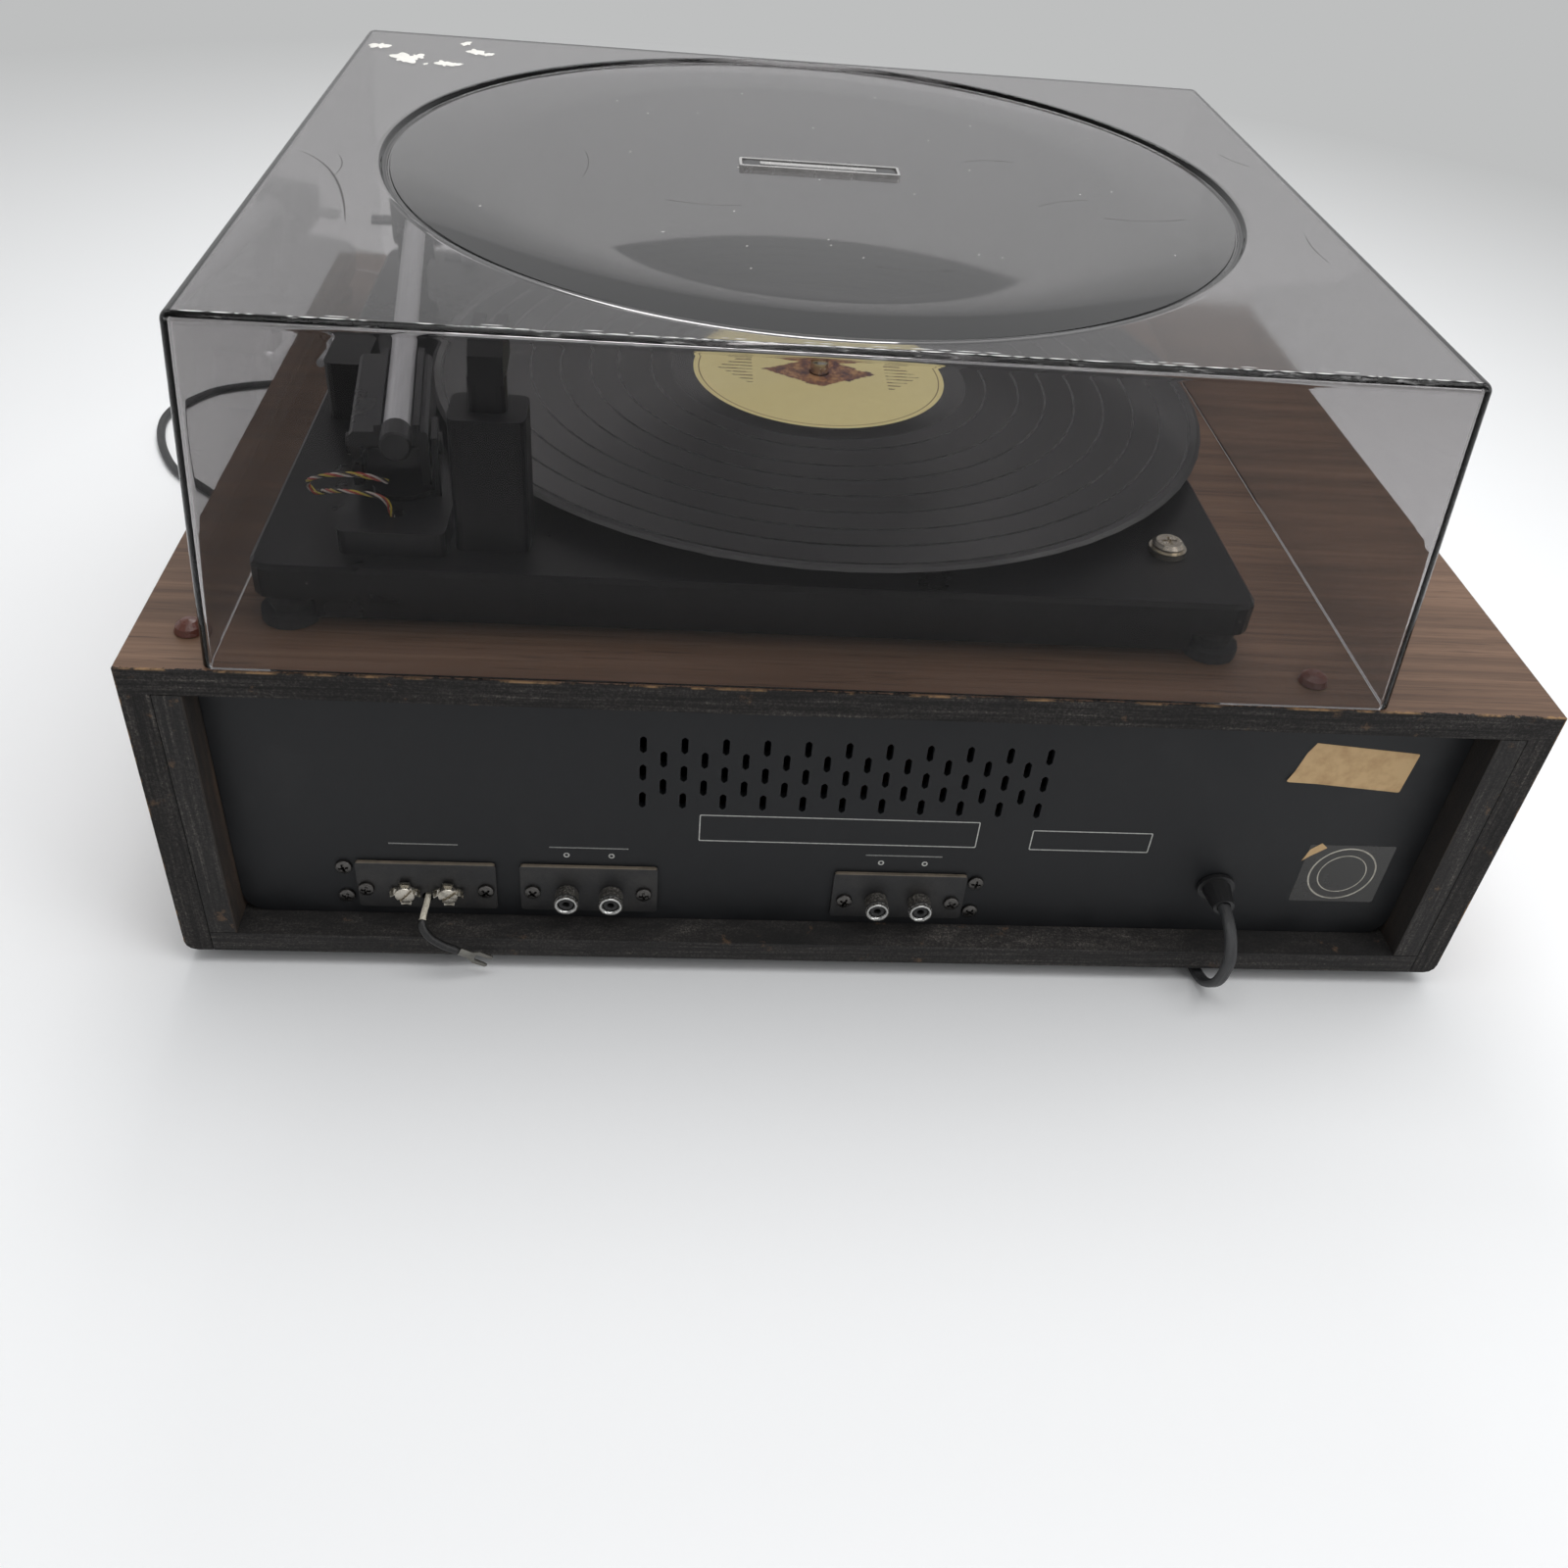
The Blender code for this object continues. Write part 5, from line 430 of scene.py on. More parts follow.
def lid_clear():
    """Smoke-tinted acrylic, darker the further light goes in it, with white wear along its upper rear edge."""
    clear = shade(250, 249, 249)
    look = Look("lid_clear", clear, 0.0, Transmission_Weight=1.0, IOR=1.49, Specular_Tint=LID_SHINE)
    _, y, z = look.parts(look.place())
    on_flat, on_field = z > 0.2395, z > 0.2380
    rim = look.between(z, 0.2400, 0.2408) * look.between(y, 0.1778, 0.1784)
    scuffs = look.between(look.noise((150, 700, 700), 5, 0.75), 0.56, 0.66)
    wear = rim * (scuffs * 0.35)
    away = look.radius(*LID_FIELD_MIDDLE)
    ring = look.fall(abs(away - LID_FIELD_RIM), 0.0009, 0.0013) * on_field
    field = look.fall(away, 0.1500, LID_FIELD_RIM) * on_field
    tint = look.blend(field, look.blend(on_flat, clear, shade(236, 235, 235)), shade(164, 163, 163))
    tint = look.blend(ring * 0.55, tint, shade(120, 118, 118))
    haze = look.between(look.noise(9, 5, 0.6), 0.40, 0.75, 0.02, 0.07) * on_flat
    look.set(
        Base_Color=look.blend(wear, tint, shade(222, 222, 220)),
        Transmission_Weight=look.ease(wear, 1.0, 0.15),
        Roughness=haze.most(look.ease(wear, 0.0, 0.45)),
    )
    smoke = look.node("ShaderNodeVolumeAbsorption", Color=shade(150, 146, 147), Density=LID_SMOKE)
    look.feed(look.out.inputs["Volume"], smoke.outputs[0])
    look.pass_lamps(clear)
    return look.material


def clear_window(name, tint):
    """A clear plastic window that lamps pass through."""
    look = Look(name, tint, 0.04, Transmission_Weight=1.0, IOR=1.49)
    look.pass_lamps(tint)
    return look.done(tint, (look.noise(60, 3), 0.00003, 0.3))


def record_vinyl():
    """Black vinyl with fine grooves, the smooth rings between its tracks, and a plain printed paper label."""
    look = Look("record_vinyl", shade(22, 22, 24), 0.24, Anisotropic=1.0, Specular_IOR_Level=1.0)
    tangent = look.node("ShaderNodeTangent")
    tangent.direction_type, tangent.axis = "RADIAL", "Z"
    radius = look.radius(*TURNTABLE)
    smooth = look.fall(radius, 0.0580, 0.0590)
    for middle in (0.0665, 0.0795, 0.0900, 0.1015, 0.1130, 0.1245, 0.1350, 0.1462):
        smooth = smooth.most(look.fall(abs(radius - middle), 0.0003, 0.0006))
    loud = look.noise(look.node("ShaderNodeCombineXYZ", radius * 700.0).outputs[0], 3, 0.8)
    vinyl = look.patches(loud, 0.35, 0.7, 1, shade(15, 15, 16), shade(26, 26, 27))
    vinyl = look.blend(smooth, vinyl, shade(4, 4, 5))
    x, y, _ = look.parts(look.place(shift=(-TURNTABLE[0], -TURNTABLE[1], 0)))
    out, along = abs(x), abs(y)
    mottle = look.noise(230, 5, 0.7)
    paper = look.patches(mottle, 0.3, 0.8, 0.5, shade(246, 233, 170), shade(232, 217, 154))
    ragged = look.between(mottle, 0.3, 0.7, -0.0016, 0.0016)
    diamond = look.fall(out * 0.62 + along + ragged, 0.0135, 0.0142)
    tone = look.steps(mottle, (0.38, shade(88, 60, 66)), (0.5, shade(140, 96, 74)), (0.62, shade(196, 150, 104)))
    paper = look.blend(diamond, paper, tone)
    rows = look.between(look.math("SINE", y * (2 * math.pi / 0.0030)), 0.45, 0.60)
    rows = rows * look.between(out, 0.0265, 0.0268) * look.fall(out + along * 0.9, 0.0405, 0.0408)
    paper = look.blend(rows * look.between(mottle, 0.40, 0.50, 0.35, 0.85), paper, shade(104, 84, 60))
    line = look.fall(abs(radius - 0.0478), 0.0001, 0.0003)
    paper = look.blend(line, paper, shade(128, 104, 72))
    labelled = look.fall(radius, 0.0498, 0.0500)
    roughness = look.ease(labelled, look.ease(smooth, 0.38, 0.08), 0.6)
    return look.done(look.blend(labelled, vinyl, paper), Roughness=roughness, Tangent=tangent.outputs[0])


def two_parts(name, axis, limit, colours, roughness, metallic, stretch):
    """One finish below a place along an axis and another beyond it, as on a tube with a moulded end."""
    near, far = colours
    look = Look(name, near, roughness[0])
    beyond = look.parts(look.place())["xyz".index(axis)] > limit
    marks = look.noise(stretch, 4, 0.6)
    first = look.patches(marks, 0.35, 0.75, 0.5, near, toned(near, 0.75))
    return look.done(
        look.blend(beyond, first, far),
        (marks, 0.00003, 0.4),
        Roughness=look.ease(beyond, *roughness),
        Metallic=look.ease(beyond, *metallic),
    )


def knob_finish(name, x, z, radius):
    """Turned metal with rings on its face, a black skirt and a black pointer line."""
    alloy = shade(176, 176, 178)
    look = Look(name, alloy, 0.3, 1.0)
    across, out, up = look.parts(look.place(shift=(-x, 0, -z)))
    rings = look.math("SINE", look.length(across, up) * (2 * math.pi / 0.0008))
    line = look.fall(abs(across), 0.0005, 0.0007) * (up > radius * 0.35)
    dark = line.most(out > -0.1815)
    return look.done(
        look.blend(dark, alloy, shade(24, 24, 25)),
        (rings, 0.00004, 0.35),
        Metallic=look.ease(dark, 1.0, 0.0),
        Roughness=look.ease(dark, 0.26, 0.4),
    )


def fascia_finish():
    """Fine brushed black over the front, and a dark floor in the dial's window."""
    look = Look("fascia_finish", shade(30, 30, 31), 0.38)
    brush = look.noise((12, 900, 900), 4, 0.6)
    floor = look.parts(look.place())[1] > -0.1605
    colour = look.patches(brush, 0.3, 0.7, 1, shade(26, 26, 27), shade(44, 44, 46))
    colour = look.blend(floor, colour, shade(16, 20, 26))
    return look.done(colour, (brush, 0.00003, 0.5), Roughness=look.between(brush, 0.3, 0.7, 0.30, 0.46))


def plate_finish():
    """Black connector plate, a pale folded top edge (dust and painted highlight), and dull plated barrels out of it."""
    look = Look("plate_finish", shade(30, 30, 31), 0.42)
    _, y, z = look.parts(look.place())
    dust = look.noise(60, 6, 0.7)
    pitting = look.noise(1500, 4, 0.8)
    black = look.patches(dust, 0.42, 0.75, 0.6, shade(26, 26, 27), shade(56, 53, 50))
    # Painted highlight: the folded top edge is painted paler, partly dust lying on it and partly light catching the
    # fold
    edge = look.between(z, 0.04150, 0.04190) * look.between(dust, 0.25, 0.55, 0.35, 1.0)
    black = look.blend(edge, black, shade(122, 112, 98))
    barrel = y > 0.17335
    dull = look.steps(pitting, (0.38, shade(38, 37, 36)), (0.52, shade(92, 89, 85)), (0.66, shade(160, 156, 148)))
    return look.done(
        look.blend(barrel, black, dull),
        (pitting, 0.00006, 0.6),
        Metallic=barrel * 0.55,
        Roughness=look.between(pitting, 0.3, 0.7, 0.36, 0.6),
    )


def cord_cover():
    """Dark grey cord cover with fine ribs along it and a dusty bloom, on the cord's own UV map."""
    look = Look("cord_cover", shade(52, 53, 55), 0.52)
    ribs = look.math("SINE", look.parts(look.along())[1] * (2 * math.pi * 18))
    dust = look.noise(look.along((160, 3, 1)), 4, 0.6)
    colour = look.patches(dust, 0.4, 0.8, 0.5, shade(44, 45, 47), shade(78, 77, 76))
    return look.done(colour, (ribs * 0.3 + dust * 0.4, 0.00012, 0.6))


def lead_cover():
    """The aerial lead's cover: a thin white sleeve out of the plate, then a black one to the lug."""
    look = Look("lead_cover", shade(40, 40, 42), 0.45)
    beyond = look.parts(look.along())[0] > 0.52
    grime = look.noise(look.along((40, 4, 1)), 4, 0.7)
    white = look.patches(grime, 0.4, 0.75, 1, shade(230, 224, 208), shade(176, 166, 148))
    black = look.patches(grime, 0.45, 0.8, 1, shade(16, 16, 17), shade(44, 43, 42))
    return look.done(look.blend(beyond, white, black), (grime, 0.00008, 0.5))


def wire_cover(name, colour):
    """Thin coloured wire insulation, slightly soiled along its length."""
    look = Look(name, colour, 0.4)
    grime = look.noise(look.along((60, 2, 1)), 3, 0.6)
    colour = look.patches(grime, 0.45, 0.8, 0.7, colour, toned(colour, 0.5))
    return look.done(colour, (grime, 0.00003, 0.4))


def aged_paper(name, colour, stain):
    """Paper or foil that has yellowed, with stains towards its edges."""
    look = Look(name, colour, 0.62)
    blot = look.between(look.noise(130, 6, 0.65), 0.42, 0.72, 0.0, 0.8)
    return look.done(look.blend(blot, colour, stain), (look.noise(900, 3, 0.6), 0.00005, 0.6))


def ink(name, colour):
    """Printed ink, a little thin in places."""
    look = Look(name, colour, 0.6)
    thin = look.between(look.noise(700, 3, 0.6), 0.4, 0.7)
    return look.done(look.blend(thin, colour, toned(colour, 0.7)))


def board_phenolic():
    """Brown circuit board with copper-green tracks showing through, and dark parts standing on it."""
    look = Look("board_phenolic", shade(120, 84, 46), 0.5)
    tracks = look.noise(120, 2, 0.4)
    base = look.patches(tracks, 0.52, 0.55, 1, shade(128, 90, 48), shade(94, 78, 36))
    tall = look.parts(look.place())[2] > 0.0262
    return look.done(look.blend(tall, base, shade(52, 60, 84)), (tracks, 0.0001, 0.4))


def put(name, points, faces, looks, body, uv=None, kinds=None, smooth=True):
    """A piece from arrays of points and faces, its doubles merged and its faces out, riding on a body."""
    mesh = bpy.data.meshes.new(name)
    mesh.from_pydata(points.tolist(), [], faces.tolist())
    if uv is not None:
        layer = mesh.uv_layers.new(name="UVMap")
        layer.data.foreach_set("uv", uv[faces.ravel()].astype(np.float32).ravel())
    if kinds is not None:
        mesh.polygons.foreach_set("material_index", kinds.astype(np.int32))
    bm = bmesh.new()
    bm.from_mesh(mesh)
    bmesh.ops.remove_doubles(bm, verts=bm.verts, dist=1e-7)
    bmesh.ops.recalc_face_normals(bm, faces=bm.faces)
    if bm.calc_volume(signed=True) < 0:
        bmesh.ops.reverse_faces(bm, faces=bm.faces)
    bm.to_mesh(mesh)
    bm.free()
    made = bpy.data.objects.new(name, mesh)
    bpy.context.scene.collection.objects.link(made)
    for look in looks if isinstance(looks, (list, tuple)) else [looks]:
        mesh.materials.append(look)
    if smooth:
        mesh.shade_smooth()
        mesh.set_sharp_from_angle(angle=math.radians(40))
    if body:
        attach(made, body)
    return made


def grid(rows, columns, round_rows=False, round_columns=False):
    """The four corners of each cell of a grid of points kept row by row; either way may close on itself."""
    down, over = np.arange(rows if round_rows else rows - 1), np.arange(columns if round_columns else columns - 1)
    r, c = np.meshgrid(down, over, indexing="ij")
    r, c = r.ravel(), c.ravel()
    below, beside = (r + 1) % rows, (c + 1) % columns
    return np.stack([r * columns + c, r * columns + beside, below * columns + beside, below * columns + c], 1)


def sheet(points, round_rows=False, round_columns=True):
    """Rows of points as one list, with the cells between them."""
    return points.reshape(-1, 3), grid(*points.shape[:2], round_rows, round_columns)


def together(parts):
    """Several (points, faces) as one pair."""
    points, faces, count = [], [], 0
    for some_points, some_faces in parts:
        points.append(some_points)
        faces.append(some_faces + count)
        count += len(some_points)
    return np.concatenate(points), np.concatenate(faces)


def circle(steps):
    """Even angles once round."""
    return np.linspace(0, 2 * np.pi, steps, endpoint=False)


def round_way(steps):
    """The points of a circle of radius 1 at even angles."""
    angle = circle(steps)
    return np.stack([np.cos(angle), np.sin(angle)], 1)


def travelled(points):
    """How far along a line each of its points lies."""
    return np.concatenate([[0], np.cumsum(np.linalg.norm(np.diff(points, axis=0), axis=1))])


def turned(profile, centre, steps, closed=False):
    """A profile of (radius, height) carried round an axis along y: x and z are the radius times (cos a, sin a)."""
    radius, height = np.asarray(profile, float).T[:, :, None]
    x, z = radius * round_way(steps).T[:, None]
    points = np.stack([x, height + 0 * x, z], -1) + np.asarray(centre)
    return sheet(points, closed)


def smooth_path(route, gap):
    """Points every gap metres on the curve through a route.

    Each stretch is a cubic that leaves and meets its ends along the line between their neighbours.
    """
    places = np.asarray(route, float)
    ends = np.vstack([2 * places[0] - places[1], places, 2 * places[-1] - places[-2]])
    before, start, end, after = (ends[i : len(ends) - 3 + i, None, :] for i in range(4))
    t = np.linspace(0, 1, 40, endpoint=False)[None, :, None]
    dense = (
        2 * start
        + (end - before) * t
        + (2 * before - 5 * start + 4 * end - after) * t**2
        + (3 * start - before - 3 * end + after) * t**3
    ) / 2
    return evenly(np.vstack([dense.reshape(-1, 3), places[-1]]), gap)


def evenly(points, gap):
    """The same line with its points an even distance apart."""
    lengths = travelled(points)
    wanted = np.linspace(0, lengths[-1], max(2, round(lengths[-1] / gap)) + 1)
    return np.stack([np.interp(wanted, lengths, points[:, k]) for k in range(3)], 1)


def stations(path, side):
    """The two directions across a path at each of its points, carried along it without twist."""
    way = np.gradient(path, axis=0)
    way /= np.linalg.norm(way, axis=1)[:, None]
    across = np.empty_like(way)
    side = np.asarray(side, float)
    for i, ahead in enumerate(way):
        side = side - ahead * (side @ ahead)
        side = side / np.linalg.norm(side)
        across[i] = side
    return across, np.cross(way, across)


def carried(path, outline, side, grown=1.0):
    """A closed outline of (across, up) carried along a path, its ends drawn shut to points.

    UV runs along the path, then up one half of the outline and down the other.
    """
    across, up = stations(path, side)
    grown = np.broadcast_to(np.asarray(grown, float), (len(path),))[:, None, None]
    ring = outline[None, :, :1] * across[:, None] + outline[None, :, 1:] * up[:, None]
    first, last = (np.repeat(end[:, None], len(outline), 1) for end in (path[:1], path[-1:]))
    points = np.concatenate([first, path[:, None] + ring * grown, last])
    rows, columns = points.shape[:2]
    lengths = travelled(path)
    u = np.concatenate([[0], lengths, lengths[-1:]]) / lengths[-1]
    v = 1 - np.abs(np.linspace(-1, 1, columns, endpoint=False))
    uv = np.stack(np.meshgrid(u, v, indexing="ij"), -1).reshape(-1, 2)
    return points.reshape(-1, 3), grid(rows, columns, round_columns=True), uv


def two_core_outline(width, thick, waist=0.14, steps=28):
    """A flat cord's outline: an ellipse raised to a squarer curve, drawn in at the middle between its two cores."""
    x, z = round_way(steps).T
    x = np.sign(x) * np.abs(x) ** 0.85
    z = np.sign(z) * np.abs(z) ** 0.7 * (1 - waist * np.exp(-((x / 0.22) ** 2)))
    return np.stack([x * width / 2, z * thick / 2], 1)


def coil_line():
    """The coil's centre line: a spiral inwards, half a turn's climb, a spiral outwards on top, and a tail."""
    per_turn, climb, sag = 48, 24, 0.00005
    layer = per_turn * COIL_TURNS
    i = np.arange(2 * layer + climb + 1)
    stops = [0, layer, layer + climb, 2 * layer + climb]
    radius = np.interp(i, stops, [COIL_OUTER, COIL_INNER, COIL_INNER, COIL_OUTER])
    height = np.interp(i, stops, [0, 0, COIL_LAYER, COIL_LAYER])
    angle = -np.pi / 2 - 2 * np.pi * i / per_turn
    x, y = COIL_CENTRE[0] + radius * np.cos(angle), COIL_CENTRE[1] + radius * np.sin(angle)
    turns = np.stack([x, y, CORD_REST - sag + height], 1)
    tail = turns[-1] + np.array([[CORD_WIDTH, 0, 0], [COIL_TAIL, 0, 0]])
    return np.vstack([turns[:1] + np.array([[CORD_WIDTH, 0, 0]]), turns, tail])


def round_cornered(edges, corner, z, along=54, around=10):
    """Rings of points round corners, one for each row of edges (left, right, low, high), corner radius and height.

    Each ring has even turns about each corner's middle, then even steps to the next corner.
    """
    left, right, low, high = np.asarray(edges, float).T[:, :, None]
    corner = np.asarray(corner, float)[:, None]
    turn = np.linspace(0, np.pi / 2, around + 1)
    step = np.linspace(0, 1, along, endpoint=False)[1:]
    right, high, left, low = right - corner, high - corner, left + corner, low + corner
    arcs = [
        (x + corner * np.cos(turn + (k - 1) * np.pi / 2), y + corner * np.sin(turn + (k - 1) * np.pi / 2))
        for k, (x, y) in enumerate(((right, low), (right, high), (left, high), (left, low)))
    ]
    parts = []
    for here, ahead in zip(arcs, arcs[1:] + arcs[:1]):
        parts.append(here)
        parts.append(tuple(a[:, -1:] + (b[:, :1] - a[:, -1:]) * step for a, b in zip(here, ahead)))
    x, y = (np.concatenate([part[k] for part in parts], 1) for k in (0, 1))
    return np.stack([x, y, np.broadcast_to(np.asarray(z, float)[:, None], x.shape)], -1)


def lid_skin(inset, top, edge, step_out, groove):
    """One skin of the lid, from its foot to the field's middle.

    Walls lean in from the foot's edges to the top's. A quarter round of the edge's radius follows, then the flat, and
    a smooth step down to the field: its depth times s squared times (3 - 2 s).
    """
    corner, least_corner, beyond_edge, step_wide, step_deep = 0.004, 0.0004, 0.0006, 0.0017, 0.0015
    turn = np.linspace(0, np.pi / 2, 9)
    wall = np.array([0.0, 0.005, 0.995])
    share = np.concatenate([[0], wall, np.ones(10)])
    drawn = [[inset + groove], [inset] * 3, inset + edge * (1 - np.cos(turn)), [inset + edge + beyond_edge]]
    drawn = np.concatenate(drawn)
    low = LID_FOOT + groove
    z = np.concatenate([[LID_FOOT], low + (top - edge - low) * wall, top - edge * (1 - np.sin(turn)), [top]])
    if not groove:
        share, drawn, z = share[1:], drawn[1:], z[1:]
    edges = np.array(LID_FOOT_EDGES) + (np.array(LID_TOP_EDGES) - np.array(LID_FOOT_EDGES)) * share[:, None]
    edges = edges + drawn[:, None] * np.array((1, -1, 1, -1))
    rings = round_cornered(edges, np.maximum(corner - drawn, least_corner), z)
    s = np.linspace(0, 1, 11)
    radius = [0.1535, *(step_out - step_wide * s)]
    height = [top, *(top - step_deep * s**2 * (3 - 2 * s))]
    if groove:
        radius += [0.1494, 0.1491, 0.1486, 0.1483]
        height += [top - step_deep, top - 0.0019, top - 0.0019, top - step_deep]
    radius, height = np.array([*radius, 0.11, 0.06, 0.0]), np.array([*height, *[top - step_deep] * 3])
    way = rings[-1, :, :2] - LID_FIELD_MIDDLE
    way /= np.linalg.norm(way, axis=1)[:, None]
    flat = np.array(LID_FIELD_MIDDLE) + radius[:, None, None] * way
    circles = np.concatenate([flat, np.broadcast_to(height[:, None, None], (*flat.shape[:2], 1))], -1)
    return np.concatenate([rings, circles])


def make_lid(look):
    """The clear lid as one closed wall: its inner skin from the middle down to the foot, then its outer skin up."""
    inner = lid_skin(LID_WALL, LID_TOP - LID_WALL, 0.0009, 0.1514, 0.0)
    outer = lid_skin(0.0, LID_TOP, 0.0030, 0.1520, 0.0004)
    points = np.concatenate([inner[::-1], outer])
    made = put("clear_lid", *sheet(points), look, "cover")
    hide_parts("dust_cover")


def ribbon(line, z, width, rise=0.00006):
    """A hair-thin raised line along points (x, y): a flat diamond section, drawn to nothing at both ends."""
    line = evenly(np.column_stack([np.asarray(line, float), np.full(len(line), z)]), 0.0012)
    way = np.gradient(line, axis=0)
    side = np.stack([-way[:, 1], way[:, 0], 0 * way[:, 0]], -1)
    side /= np.linalg.norm(side, axis=1)[:, None]
    half = 0.5 * width * np.sin(np.linspace(0.02, np.pi - 0.02, len(line)))[:, None] ** 0.5
    up = np.array([0, 0, rise])
    rings = np.stack([line - side * half, line + up, line + side * half, line - up * 0.2], 1)
    first, last = (np.repeat(ring.mean(1, keepdims=True), 4, 1) for ring in (rings[:1], rings[-1:]))
    rings = np.concatenate([first, rings, last])
    return sheet(rings)


def make_lid_marks(dark, pale):
    """Fine scratches on the lid's top: each a quadratic curve from one place to another by way of a third."""
    t = np.linspace(0, 1, 24)[:, None]

    def curve(start, middle, end):
        start, middle, end = (np.array(p) for p in (start, middle, end))
        return (1 - t) ** 2 * start + 2 * t * (1 - t) * middle + t**2 * end

    top, field = LID_TOP + 0.00001, LID_TOP - 0.00149
    put("lid_hair", *ribbon(curve(*LID_HAIR), top, 0.0007), dark, "cover")
    thin = [
        ((0.178, 0.060), (0.176, 0.048), (0.181, 0.038), top),
        ((-0.150, 0.085), (-0.148, 0.070), (-0.151, 0.058), top),
        ((-0.155, -0.020), (-0.149, -0.026), (-0.147, -0.034), top),
        ((-0.112, 0.045), (-0.096, 0.052), (-0.082, 0.049), field),
        ((-0.080, 0.030), (-0.068, 0.033), (-0.060, 0.041), field),
        ((-0.060, -0.010), (-0.048, -0.012), (-0.040, -0.006), field),
        ((0.045, 0.060), (0.055, 0.063), (0.070, 0.059), field),
        ((0.100, 0.010), (0.096, 0.025), (0.099, 0.041), field),
        ((-0.020, 0.110), (-0.008, 0.113), (0.004, 0.110), field),
    ]
    put("lid_scratches", *together([ribbon(curve(a, b, c), z, 0.00035) for a, b, c, z in thin]), dark, "cover")
    dust = [((0.0700, 0.0900), (0.0705, 0.0905), (0.0712, 0.0907), field)]
    spots = np.random.default_rng(7).uniform((-0.10, -0.09), (0.13, 0.12), (26, 2))
    dust += [(spot, spot + 0.0003, spot + 0.0007, field) for spot in spots]
    put("lid_dust", *together([ribbon(curve(a, b, c), z, 0.0006) for a, b, c, z in dust]), pale, "cover")


def make_lid_wear(look):
    """White wear along the lid's upper rear edge: short straight strips, their lengths and gaps by chance."""
    chance = np.random.default_rng(11)
    z = LID_TOP - 0.00001
    parts = []
    for y, width, share in ((0.1776, 0.00070, 0.85), (0.1760, 0.00045, 0.35)):
        ends = np.cumsum(chance.uniform(0.0022, 0.0090, 80)) + LID_TOP_EDGES[0] + 0.003
        starts = np.concatenate([[LID_TOP_EDGES[0] + 0.003], ends[:-1]]) + chance.uniform(0.0006, 0.0016, 80)
        for start, end in zip(starts, ends):
            if end < LID_TOP_EDGES[1] - 0.004 and chance.random() < share:
                shift = chance.uniform(-0.00008, 0.00008)
                parts.append(ribbon([(start, y + shift), (0.5 * (start + end), y + shift), (end, y + shift)], z, width))
    put("lid_wear", *together(parts), look, "cover")


def make_lug(look):
    """The forked lug: a band round its slot from tip to tip, its outer edge narrowing into the barrel behind."""
    half, barrel_rise = np.array([0, 0.00035, 0]), 0.0010
    end, before = np.array(LEAD_ROUTE[-1]), np.array(LEAD_ROUTE[-2])
    way = (end - before) / np.linalg.norm(end - before)
    side = np.cross((0, 1, 0), way)
    t = np.linspace(-1, 1, 61)
    reach, sign = np.abs(t), np.sign(t)
    slot_u = np.interp(reach, [0, 0.5, 1], [0.0063, 0.0072, 0.0124])
    slot_v = sign * np.interp(reach, [0, 0.25, 0.5, 0.85, 1], [0, 0.0011, 0.0015, 0.0015, 0.0019])
    stops = [0, 0.16, 0.17, 0.42, 0.6, 0.92, 1]
    rim_u = np.interp(reach, stops, [0, 0, 0.0002, 0.0048, 0.0068, 0.0119, 0.0124])
    rim_v = sign * np.interp(reach, stops, [0, 0.0017, 0.0018, 0.0018, 0.0032, 0.0031, 0.0022])
    across = np.linspace(0, 1, 9)[:, None]
    u = slot_u + (rim_u - slot_u) * across
    v = slot_v + (rim_v - slot_v) * across
    rise = barrel_rise * np.clip(1 - u / 0.0050, 0, 1) ** 0.5 * np.cos(np.clip(v / 0.0018, -1, 1) * np.pi / 2)
    flat = end + way * 0.0003 + u[..., None] * way + v[..., None] * side
    points = np.concatenate([flat + half + rise[..., None] * np.array([0, 1, 0]), (flat - half)[::-1]])
    first, last = (points[:, k, None].mean(0, keepdims=True).repeat(len(points), 0) for k in (0, -1))
    ring = np.concatenate([first, points, last], 1)
    made = put("spade_lug", *sheet(ring, True, False), look, "cabinet")
    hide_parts("antenna_lug")
    return made


def make_cord(look):
    """The mains cord from its strain relief, under the cabinet and round to the coil and the plug."""
    coil = coil_line()
    free = smooth_path([*CORD_ROUTE, coil[0]], 0.002)
    line = evenly(np.vstack([free, coil[1:]]), 0.0022)
    points, faces, uv = carried(line, two_core_outline(CORD_WIDTH, CORD_THICK), (1, 0, 0))
    made = put("mains_cord", points, faces, look, "cabinet", uv)
    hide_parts("power_cord", "cord_coil")


def make_aerial_lead(look, lug):
    """The aerial lead, thin in its white sleeve and thicker in its black one."""
    radius = 0.0015
    line = smooth_path(LEAD_ROUTE, 0.0004)
    grown = np.interp(np.linspace(0, 1, len(line)), [0, 0.50, 0.53, 0.97, 1], [0.72, 0.72, 1, 1, 0.8])
    points, faces, uv = carried(line, radius * round_way(20), (1, 0, 0), grown)
    made = put("aerial_lead", points, faces, look, "cabinet", uv)
    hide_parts("antenna_lead")


def make_arm_wires(looks):
    """Four thin wires twisted about one line: each keeps a set distance from it and turns once in a pitch."""
    pitch, radius, apart = 0.012, 0.00030, 0.00050
    line = smooth_path([(x, y, TOP + z) for x, y, z in WIRES_ROUTE], 0.0005)
    across, up = stations(line, (0, 0, 1))
    lengths = travelled(line)[:, None]
    spread = apart * (1 + 0.25 * np.sin(2 * np.pi * lengths / lengths[-1] * 2.5))
    wires = []
    for k in range(4):
        turn = 2 * np.pi * lengths / pitch + k * np.pi / 2
        own = line + spread * (np.cos(turn) * across + np.sin(turn) * up)
        wires.append(carried(own, radius * round_way(8), (0, 0, 1)))
    points, faces = together([wire[:2] for wire in wires])
    uv = np.concatenate([wire[2] for wire in wires])
    made = put("arm_wires", points, faces, looks, "cabinet", uv, np.repeat(np.arange(4), len(faces) // 4))
    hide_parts("arm_leads")


